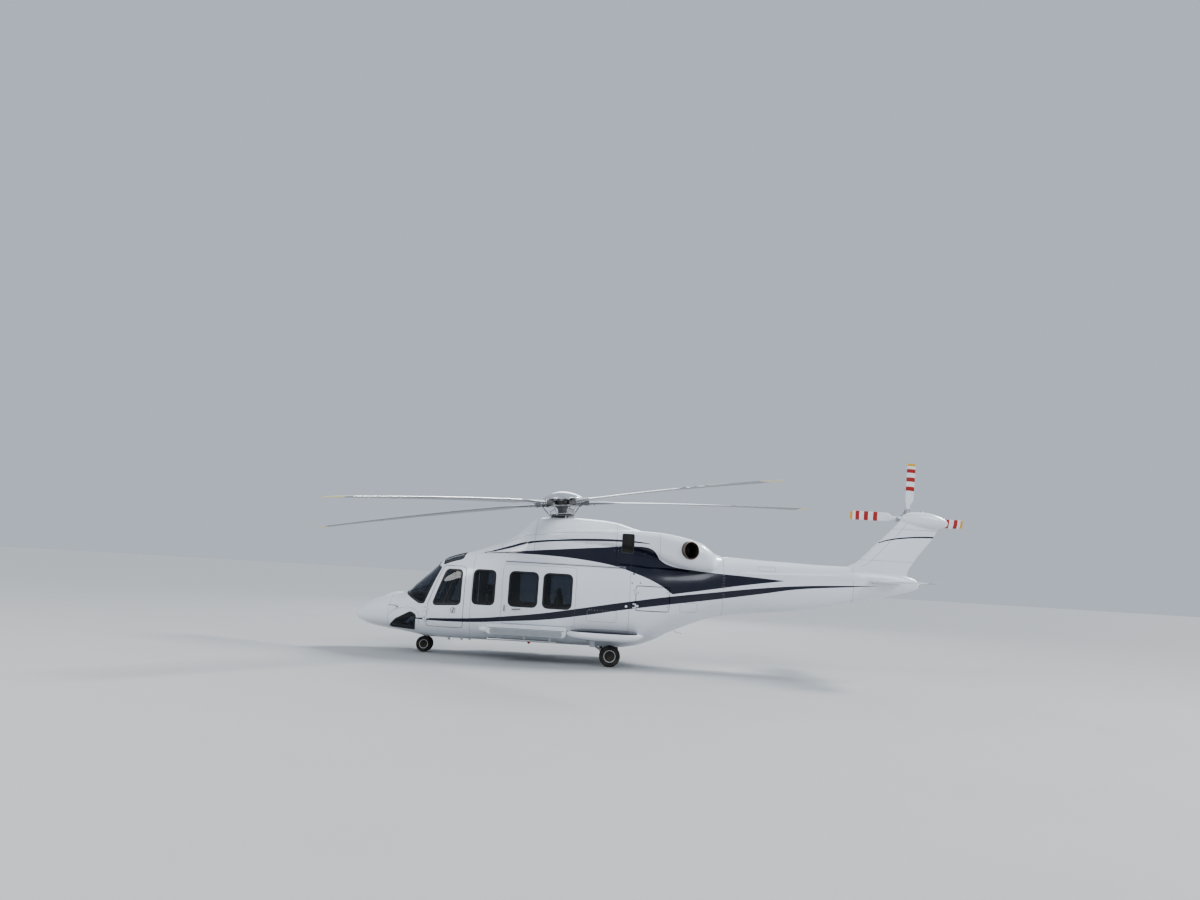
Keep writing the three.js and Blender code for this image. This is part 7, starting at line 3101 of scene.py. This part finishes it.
@dataclass
class Steps:
    """The long step fairings under the cabin doors, with their boards.

    Args:
        span: First and last station of a fairing.
        heights: Its lowest and highest place.
        reach: Inner and outer distance across.
        corner: Radius of its ends.
        board: Lowest and highest corner of the starboard board.
        brackets: Stations of the board's brackets.
    """

    span: tuple[float, float] = (3.140, 4.890)
    heights: tuple[float, float] = (0.550, 0.790)
    reach: tuple[float, float] = (0.860, 1.240)
    corner: float = 0.110
    board: tuple[Point, Point] = ((3.200, 1.100, 0.457), (4.690, 1.370, 0.485))
    brackets: tuple[float, ...] = (3.400, 3.960, 4.520)

    def build(self) -> None:
        """Makes each fairing with its bands, nose cap, board and brackets."""
        outline = rounded(rectangle(*self.span, *self.heights), self.corner, 10)
        inner, outer = self.reach
        depths = ((inner, 0.0), (outer - 0.035, 0.0), (outer - 0.012, 0.007), (outer, 0.024))
        fairing = Stock().loft([[(x, y, z) for x, z in grown(outline, -inset)] for y, inset in depths])
        body = fairing.made("step_fairing_shell", PLAIN_WHITE.material(), 35)
        carve(body, hull_solid(3.00, 5.05, 0.015), Cut.AWAY)
        for side, piece in both_sides(body, "step_fairing_shell", Side.RIGHT).items():
            rode(piece, "airframe", "skin_white", f"step_fairing_{side.label}")
            self.trim(side)

    def trim(self, side: Side) -> None:
        """The bands, cap, board and brackets of one side; the grey lower panel is painted shade below the
        white band.

        Args:
            side: Which side it is on.
        """
        (x0, y0, z0), (x1, y1, z1) = self.board
        outer = self.reach[1]
        band, lower, cap, line = Stock(), Stock(), Stock(), Stock()
        band.prism(rounded(rectangle(3.200, 4.830, 0.712, 0.774), 0.03), outer - 0.006, outer + 0.003)
        # The grey lower panel is painted shade, darker than the white band above it
        lower.prism(rounded(rectangle(3.235, 4.795, 0.572, 0.690), 0.04), outer - 0.006, outer + 0.002)
        line.prism(rectangle(3.185, 4.845, 0.697, 0.706), outer - 0.006, outer + 0.002)
        cap.turned((3.190, 1.070, 0.645), (-1, 0, 0), [
            (0, 0), (0, 0.080), (0.05, 0.080), (0.12, 0.068), (0.18, 0.045), (0.215, 0.020), (0.222, 0)], 40)
        board = Stock().block(*self.board, 0.008)
        arms = Stock()
        for station in self.brackets:
            arms.loft([[(station, near, z), (station + 0.050, near, z), (station + 0.050, far, z),
                        (station, far, z)]
                       for near, far, z in ((1.135, 1.185, z1 - 0.002), (1.100, 1.190, 0.600))])
        treads = Route([(x, side.value * (y0 + y1) / 2, z1 + 0.002) for x in np.linspace(x0 + 0.03, x1 - 0.03,
                                                                                         12)],
                       [Vector(Z_AXIS)])
        pieces = ((band, "step_band", PLAIN_WHITE), (lower, "step_panel", STEP_SHADE),
                  (cap, "step_cap", PLAIN_WHITE), (line, "step_seam", SEAM),
                  (board, "step_board", ALLOY), (arms, "step_brackets", GEAR_PAINT))
        for stock, name, finish in pieces:
            stock.on(side, Side.RIGHT)
            rode(stock.made(f"{name}_{side.label}", finish.material()), "airframe", "skin_white")
        rode(grow(f"step_treads_{side.label}", Trees.slats(), [treads], DARK_METAL, Pitch=0.05,
                  Size=(0.014, y1 - y0 - 0.03, 0.005)), "airframe", "skin_white")


@dataclass
class Cushion:
    """One padded block of a seat, before it is stuffed.

    Args:
        low: Its lowest corner, from the middle of the seat's front edge on the ground.
        high: Its highest corner.
        channels: Heights of sewn channels across its face, from the ground.
    """

    low: Point
    high: Point
    channels: tuple[float, ...] = ()


@dataclass
class Seats:
    """The crew's seats and three rows of three, with stuffed covers.

    Args:
        pitch: Distance between the seats of a row.
        voxel: Size of the cushions' mesh.
        pressure: How hard they are stuffed.
        swell: How far a point may move as they are.
        start: How far inside its final place a cushion starts.
        channel: Half height and depth of a sewn channel.
    """

    pitch: float = 0.505
    voxel: float = 0.015
    pressure: float = 4.0
    swell: float = 0.022
    start: float = 0.010
    channel: tuple[float, float] = (0.016, 0.010)

    CUSHIONS = (Cushion((0.010, -0.235, 0.820), (0.420, 0.235, 0.950)),
                Cushion((0.385, -0.230, 0.930), (0.490, 0.230, 1.440), (1.080, 1.230)),
                Cushion((0.395, -0.150, 1.455), (0.480, 0.150, 1.610)))
    CREW = {"crew_seat_left": -0.430, "crew_seat_right": 0.430}
    ROWS = {"seat_row_1": (3.020, True), "seat_row_2": (4.180, False), "seat_row_3": (5.300, False)}

    def build(self) -> None:
        """Makes one seat's cushions, and puts them in every place."""
        pads = [self.stuffed(index, cushion) for index, cushion in enumerate(self.CUSHIONS)]
        for node, across in self.CREW.items():
            self.group(node, pads, [Matrix.Translation((2.080, across, 0))])
        for node, (station, backward) in self.ROWS.items():
            turn = Matrix.Rotation(math.pi, 4, "Z") if backward else Matrix()
            front = station + 0.460 if backward else station
            self.group(node, pads, [Matrix.Translation((front, step * self.pitch, 0)) @ turn
                                    for step in (-1, 0, 1)])
        for pad in pads:
            bpy.data.objects.remove(pad)

    def stuffed(self, index: int, cushion: Cushion) -> bpy.types.Object:
        """A cushion blown up by a cloth simulation, then sewn.

        Args:
            index: Its number.
            cushion: Its block.

        Returns:
            The cushion.
        """
        low = Vector(cushion.low) + Vector((self.start,) * 3)
        high = Vector(cushion.high) - Vector((self.start,) * 3)
        pad = Stock().block(low, high, 0.03).made(f"cushion_{index}", LEATHER.material(), 180)
        remesh = pad.modifiers.new("even mesh", "REMESH")
        remesh.mode, remesh.voxel_size = "VOXEL", self.voxel
        self.apply(pad)
        before = [vertex.co.copy() for vertex in pad.data.vertices]
        cloth = pad.modifiers.new("stuffing", "CLOTH")
        cloth.settings.use_pressure = True
        cloth.settings.uniform_pressure_force = self.pressure
        cloth.settings.effector_weights.gravity = 0
        cloth.point_cache.frame_start, cloth.point_cache.frame_end = 1, 20
        for frame_number in range(1, 21):
            bpy.context.scene.frame_set(frame_number)
        self.apply(pad)
        bpy.context.scene.frame_set(1)
        for vertex, place in zip(pad.data.vertices, before):
            moved = vertex.co - place
            vertex.co = place + moved * min(1.0, self.swell / max(moved.length, 1e-6))
        middle = (cushion.low[0] + cushion.high[0]) / 2
        for height in cushion.channels:
            for vertex in pad.data.vertices:
                place = vertex.co + ORIGIN
                if place.x < middle:
                    vertex.co.x += self.channel[1] * math.exp(-((place.z - height) / self.channel[0]) ** 2)
        smooth(pad.data, 80)
        return pad

    @staticmethod
    def apply(pad: bpy.types.Object) -> None:
        """Keeps what the modifiers make of a mesh, and takes them off.

        Args:
            pad: The mesh's object.
        """
        result = bpy.data.meshes.new_from_object(pad.evaluated_get(bpy.context.evaluated_depsgraph_get()))
        pad.modifiers.clear()
        pad.data = result

    def welts(self, pads: Sequence[bpy.types.Object]) -> list[list[Vector]]:
        """Piping round the rim of the pan and of the back, lying on the stuffed covers.

        Args:
            pads: The stuffed cushions.

        Returns:
            A path for each cushion.
        """
        paths = []
        for pad, cushion in zip(pads, self.CUSHIONS):
            (x0, y0, z0), (x1, y1, z1) = cushion.low, cushion.high
            if z1 - z0 < x1 - x0:
                rim = [(x, y, z1 - 0.030) for x, y in rounded([(x0, y0), (x1, y0), (x1, y1), (x0, y1)], 0.05)]
            else:
                rim = [(x0 + 0.022, y, z) for y, z in rounded([(y0, z0), (y1, z0), (y1, z1), (y0, z1)], 0.05)]
            path = resampled([Vector(point) for point in rim], 0.02, True)
            paths.append([pad.closest_point_on_mesh(point - ORIGIN)[1] + ORIGIN for point in path])
        return paths

    def group(self, node: str, pads: Sequence[bpy.types.Object], places: Sequence[Matrix]) -> None:
        """The cushions, piping, frames and belts of the seats that one node stands for.

        Args:
            node: The CAD node.
            pads: One seat's cushions.
            places: Where the seats go.
        """
        shift = Matrix.Translation(ORIGIN)
        copies = []
        for place in places:
            for pad in pads:
                mesh = pad.data.copy()
                mesh.transform(shift.inverted() @ place @ shift)
                copy = bpy.data.objects.new(pad.name, mesh)
                bpy.context.scene.collection.objects.link(copy)
                copies.append(copy)
        covers = combine(f"{node}_cushions", copies)
        rode(covers, "airframe", "seat_cover", node)
        routes = [Route([place @ point for point in path], [Vector(Z_AXIS)], True)
                  for place in places for path in self.welts(pads)]
        rode(grow(f"{node}_piping", Trees.beads(), routes, THREAD, Radius=0.004), "airframe", "seat_cover")
        base, straps, buckles = Stock(), Stock(), Stock()
        base.block((0.030, -0.215, 0.548), (0.415, 0.215, 0.600), 0.01)
        base.block((0.060, -0.190, 0.598), (0.385, 0.190, 0.760), 0.02)
        base.block((0.015, -0.232, 0.758), (0.440, 0.232, 0.825), 0.02)
        base.block((0.480, -0.225, 0.790), (0.515, 0.225, 1.430), 0.014)
        for y in (-0.07, 0.07):
            base.tube([(0.475, y, 1.420), (0.470, y, 1.500)], 0.008, 10)
        for y in (-0.09, 0.09):
            straps.tube([(0.500, y, 1.445), (0.430, y, 1.452), (0.372, y, 1.380), (0.365, y, 1.150),
                         (0.350, y * 0.8, 1.000), (0.270, y * 0.3, 0.966)], 0.022, 10, 0.08)
            straps.tube([(0.400, y * 2.5, 0.940), (0.330, y * 2.0, 0.968), (0.270, y * 0.3, 0.970)], 0.022,
                        10, 0.08)
        buckles.turned((0.270, 0, 0.962), Z_AXIS, [(0, 0), (0, 0.030), (0.010, 0.030), (0.014, 0.024),
                                                   (0.014, 0)], 24)
        for stock, name, finish in ((base, "frame", TRIM), (straps, "belts", SEAL),
                                    (buckles, "buckles", STEEL)):
            rode(stock.copied(places).made(f"{node}_{name}", finish.material()), "airframe", "cabin_trim")


@dataclass
class Cabin:
    """The floor, and the instrument panel with its controls.

    Args:
        floor_top: Height of the carpet.
        panel: Stations, half width and heights of the instrument panel.
        screens: Place across of each display.
        pedestal_top: Height of the console between the crew.
    """

    floor_top: float = 0.545
    panel: tuple[float, ...] = (1.385, 1.500, 0.555, 0.900, 1.195)
    screens: tuple[float, ...] = (-0.400, -0.155, 0.155, 0.400)
    pedestal_top: float = 0.925

    def build(self) -> None:
        """Makes the floor, the panel, the console and the sticks."""
        floor = Stock().block((2.006, -1.200, 0.502), (6.215, 1.200, self.floor_top)).made(
            "cabin_carpet", CARPET.material())
        carve(floor, hull_solid(1.90, 6.30, WALL + 0.003), Cut.KEEP)
        rode(floor, "airframe", "cabin_trim", "cabin_floor")
        self.dashboard()
        self.controls()

    def dashboard(self) -> None:
        """The panel under its hood, four displays and the console."""
        x0, x1, half, z0, z1 = self.panel
        desk = Stock().prism([(x0, z0), (x1 - 0.02, z0), (x1, z0 + 0.02), (x1 - 0.006, z1), (x0, z1)], -half,
                             half)
        desk.block((1.425, -0.128, 0.682), (1.895, 0.128, self.pedestal_top), 0.012)
        hood = Stock()
        rows = []
        for y in np.linspace(-half - 0.02, half + 0.02, 25):
            lift = 0.018 * (1 - (y / half) ** 4)
            rows.append([(1.300, y, z1 - 0.035 + lift), (1.420, y, z1 + 0.004 + lift),
                         (x1 + 0.055, y, z1 + 0.006 + lift), (x1 + 0.060, y, z1 - 0.004 + lift),
                         (x1 + 0.050, y, z1 - 0.012 + lift), (1.300, y, z1 - 0.050 + lift)])
        hood.loft(rows)
        glass, frames, dials = Stock(), Stock(), Stock()
        for y in self.screens:
            frames.block((x1 - 0.006, y - 0.112, z0 + 0.040), (x1 + 0.004, y + 0.112, z0 + 0.230), 0.003)
            glass.block((x1 - 0.002, y - 0.098, z0 + 0.054), (x1 + 0.006, y + 0.098, z0 + 0.216), 0.002)
        for y, z in ((0.0, 1.02), (0.0, 1.10)):
            dials.turned((x1 - 0.005, y, z), X_AXIS, [(0, 0), (0, 0.033), (0.012, 0.033), (0.014, 0.028),
                                                      (0.010, 0.026), (0.010, 0)], 28)
        keys = [Route([(x, y, self.pedestal_top + 0.002) for x in np.linspace(1.52, 1.86, 12)],
                      [Vector(Z_AXIS)])
                for y in np.linspace(-0.095, 0.095, 6)]
        rode(desk.made("instrument_desk", TRIM.material()), "airframe", "cabin_trim", "instrument_panel")
        for stock, name, finish in ((hood, "glare_shield", TRIM), (frames, "display_frames", DARK_METAL),
                                    (glass, "displays", SCREEN), (dials, "standby_dials", DARK_METAL)):
            rode(stock.made(name, finish.material()), "airframe", "cabin_trim")
        rode(grow("console_keys", Trees.studs(), keys, ALLOY, Pitch=0.03, Radius=0.008, Height=0.006,
                  Sides=10), "airframe", "cabin_trim")

    def controls(self) -> None:
        """Sticks, levers and pedals for both pilots."""
        sticks, grips = Stock(), Stock()
        for y in (-0.430, 0.430):
            sticks.tube([(1.960, y, self.floor_top), (1.960, y, 0.640), (1.900, y, 0.800), (1.870, y, 0.960)],
                        (0.020, 0.016, 0.013, 0.013), 14)
            grips.turned((1.868, y, 0.950), (-0.12, 0, 1), [(0, 0), (0, 0.019), (0.03, 0.022), (0.09, 0.018),
                                                            (0.13, 0.023), (0.15, 0.016), (0.15, 0)], 20)
            lever = y - 0.270
            sticks.tube([(2.420, lever, 0.600), (2.100, lever, 0.760)], 0.014, 14)
            grips.turned((2.110, lever, 0.755), (-1, 0, 0.5),
                         [(0, 0), (0, 0.020), (0.12, 0.020), (0.13, 0.014), (0.13, 0)], 20)
            for foot in (y - 0.075, y + 0.075):
                sticks.block((1.600, foot - 0.045, 0.640), (1.625, foot + 0.045, 0.760), 0.006)
                sticks.tube([(1.612, foot, 0.650), (1.560, foot, 0.560)], 0.010, 10)
        rode(sticks.made("control_sticks", DARK_METAL.material()), "airframe", "cabin_trim")
        rode(grips.made("control_grips", TRIM.material()), "airframe", "cabin_trim")


@dataclass
class SmallFittings:
    """Lamps, antennas, probes, wipers and the nose's hump."""

    def build(self) -> None:
        """Makes the single pieces, then those on each side."""
        aerials = Stock()
        for station, low in ((2.150, 0.290), (2.440, 0.300), (2.620, 0.310)):
            top = HULL.belly(station, 0.0).z + 0.006
            blades = ((top, 0.045, 0.0), ((top + low) / 2, 0.034, 0.012), (low, 0.018, 0.026))
            aerials.loft([[(station + shift + chord * math.cos(a), 0.006 * math.sin(a), z)
                           for a in circle(16)]
                          for z, chord, shift in blades])
        aft = HULL.belly(7.290, 0.0)
        aerials.tube([aft, aft + Vector((0.030, 0, -0.040)), aft + Vector((0.200, 0, -0.075))], 0.008, 10)
        rode(aerials.made("belly_aerials", PLAIN_WHITE.material()), "airframe", "skin_white")
        hump = []
        for t in np.linspace(-1, 1, 15):
            size = math.sqrt(max(1 - t * t, 0.0004))
            x = 0.820 + 0.245 * t
            floor = HULL.top(x, 0.0).z - 0.012
            hump.append([(x, 0.130 * size * math.cos(a),
                          floor + (0.052 * size if math.sin(a) > 0 else 0.004) * math.sin(a))
                         for a in circle(32)])
        rode(Stock().loft(hump).made("nose_hump", PAINT.material(), 60), "airframe", "skin_white")
        self.lamps()
        for side in Side:
            self.per_side(side)

    def lamps(self) -> None:
        """The beacon on the fin and the lamp in the tail cone."""
        dome = [(0, 0), (0, 0.040), (0.035, 0.038), (0.060, 0.024), (0.068, 0.010), (0.070, 0)]
        base = Stock().turned((12.990, 0, 3.740), Z_AXIS, [(0, 0), (0, 0.050), (0.058, 0.046), (0.060, 0)],
                              32)
        rode(base.made("beacon_base", PLAIN_WHITE.material()), "airframe", "skin_white")
        rode(Stock().turned((12.990, 0, 3.799), Z_AXIS, dome, 32).made("beacon", RED_LENS.material()),
             "airframe", "skin_white")
        tip = Stock().turned((12.925, 0, 2.140), X_AXIS, [(0, 0), (0, 0.036), (0.015, 0.034), (0.030, 0.022),
                                                          (0.036, 0)], 28)
        rode(tip.made("tail_lamp", AMBER_LENS.material()), "airframe", "skin_white")
        roof = Stock().turned(HULL.belly(4.000, 0.0, -0.004), (0, 0, -1), dome, 32)
        rode(roof.made("belly_beacon", RED_LENS.material()), "airframe", "skin_white")

    def per_side(self, side: Side) -> None:
        """The probe, lamps, wiper and vents of one side.

        Args:
            side: Which side it is on.
        """
        probe = Stock()
        root = HULL.side(1.090, 1.000, side.value)
        out = HULL.facing(root)
        probe.turned(root - out * 0.004, out, [(0, 0), (0, 0.028), (0.008, 0.024), (0.010, 0)], 24)
        probe.tube([root, root + out * 0.070, root + out * 0.095 + Vector((-0.020, 0, 0)),
                    root + out * 0.098 - Vector((0.16, 0, 0))], (0.012, 0.011, 0.010, 0.007), 14)
        rode(probe.made(f"pitot_probe_{side.label}", STEEL.material()), "airframe", "skin_white")
        discs = Stock()
        for x, z, radius in ((6.290, 2.020, 0.022), (6.350, 2.100, 0.016), (6.260, 1.820, 0.014),
                             (6.440, 1.830, 0.014)):
            spot = HULL.side(x, z, side.value, -0.002)
            discs.turned(spot, HULL.facing(spot),
                         [(0, 0), (0, radius), (0.006, radius), (0.009, radius * 0.7), (0.009, 0)], 24)
        rode(discs.made(f"side_ports_{side.label}", DARK_METAL.material()), "airframe", "skin_white")
        lamp = HULL.side(6.150, 1.310, side.value, -0.004)
        lens = CLEAR_LENS if side is Side.LEFT else GREEN_LENS
        rode(Stock().turned(lamp, HULL.facing(lamp), [(0, 0), (0, 0.030), (0.016, 0.026), (0.026, 0.012),
                                                      (0.028, 0)], 28).made(
            f"side_lamp_{side.label}", lens.material()), "airframe", "skin_white")
        wiper = Stock()
        foot = HULL.side(1.330, 1.345, side.value, 0.010)
        tip = HULL.side(1.760, 1.500, side.value, 0.014)
        wiper.tube([foot, foot.lerp(tip, 0.5) + Vector((0, side.value * 0.014, 0.008)), tip], 0.006, 10)
        blade = [HULL.side(x, z, side.value, 0.008) for x,
                 z in ((1.600, 1.300), (1.700, 1.430), (1.770, 1.560), (1.840, 1.700))]
        wiper.tube(blade, 0.005, 8)
        rode(wiper.made(f"wiper_{side.label}", SEAL.material()), "airframe", "window")


@dataclass
class Studio:
    """A wide pale floor, soft lamps, and the camera.

    Args:
        ground: Height of the floor in the frame.
        eye: Place of the camera.
        pitch: How far it looks up, in radians.
        roll: How far it leans, in radians.
        lens: Its focal length in millimetres.
    """

    ground: float = -ORIGIN.z
    eye: tuple[float, float, float] = (0.847, -19.856, 1.593)
    pitch: float = math.radians(8.537)
    roll: float = math.radians(3.342)
    lens: float = 25.38

    # place, size, power, colour
    LAMPS = (((-16.0, -20.0, 17.0), 12.0, 2300.0, (1.0, 0.98, 0.95)),
             ((18.0, -12.0, 14.0), 10.0, 1100.0, (0.94, 0.97, 1.0)),
             ((2.0, 24.0, 12.0), 12.0, 900.0, (0.95, 0.97, 1.0)))
    SUN = ((9.0, 5.0, 8.5), 2.6, math.radians(16), (1.0, 0.975, 0.94))

    def build(self) -> None:
        """Makes the floor, the world, the lamps and the camera."""
        rings = [[Vector((radius * math.cos(a), radius * math.sin(a), self.ground)) + ORIGIN
                  for a in circle(96)] for radius in (0.02, 12.0, 60.0, 400.0)]
        Stock().loft(rings, cap=False).made("studio_floor", FLOOR.material(), 60)
        world = bpy.data.worlds.new("studio")
        world.use_nodes = True
        world.node_tree.nodes["Background"].inputs[0].default_value = (0.80, 0.88, 1.0, 1.0)
        world.node_tree.nodes["Background"].inputs[1].default_value = 0.55
        bpy.context.scene.world = world
        bpy.context.scene.view_settings.look = "AgX - Medium High Contrast"
        place, strength, angle, colour = self.SUN
        data = bpy.data.lights.new("soft_sun", "SUN")
        data.energy, data.angle, data.color = strength, angle, colour
        sun = bpy.data.objects.new(data.name, data)
        sun.rotation_euler = (-Vector(place)).to_track_quat("-Z", "Y").to_euler()
        bpy.context.scene.collection.objects.link(sun)
        for index, (place, size, power, colour) in enumerate(self.LAMPS):
            data = bpy.data.lights.new(f"softbox_{index}", "AREA")
            data.shape, data.size, data.energy, data.color = "DISK", size, power, colour
            lamp = bpy.data.objects.new(data.name, data)
            lamp.location = place
            lamp.rotation_euler = (Vector((1.5, 0, 1.5)) - Vector(place)).to_track_quat("-Z", "Y").to_euler()
            bpy.context.scene.collection.objects.link(lamp)
        self.camera()

    def camera(self) -> None:
        """Puts the camera where the photograph was taken from."""
        data = bpy.data.cameras.new("photograph")
        data.lens, data.sensor_width, data.clip_end = self.lens, 36.0, 900.0
        camera = bpy.data.objects.new("photograph", data)
        sin_p, cos_p, sin_r, cos_r = (f(a) for a in (self.pitch, self.roll) for f in (math.sin, math.cos))
        right = Vector((cos_r, 0, sin_r))
        ahead = Vector((-sin_r * sin_p, cos_p, cos_r * sin_p))
        upward = Vector((-sin_r * cos_p, -sin_p, cos_r * cos_p))
        turn = Matrix((right, upward, -ahead)).transposed()
        camera.matrix_world = Matrix.Translation(self.eye) @ turn.to_4x4()
        bpy.context.scene.collection.objects.link(camera)
        bpy.context.scene.camera = camera


def main() -> None:
    """Builds the helicopter and its studio."""
    logging.basicConfig(level=logging.INFO, format="%(message)s")
    for group in (Airframe(), Windows(), Doors(), Cowlings(), Powerplant(), Tail(), MainRotor(), TailRotor(),
                  LandingGear(), Sponsons(), Steps(), Cabin(), Seats(), SmallFittings(), Studio()):
        group.build()


if __name__ == "__main__":
    main()
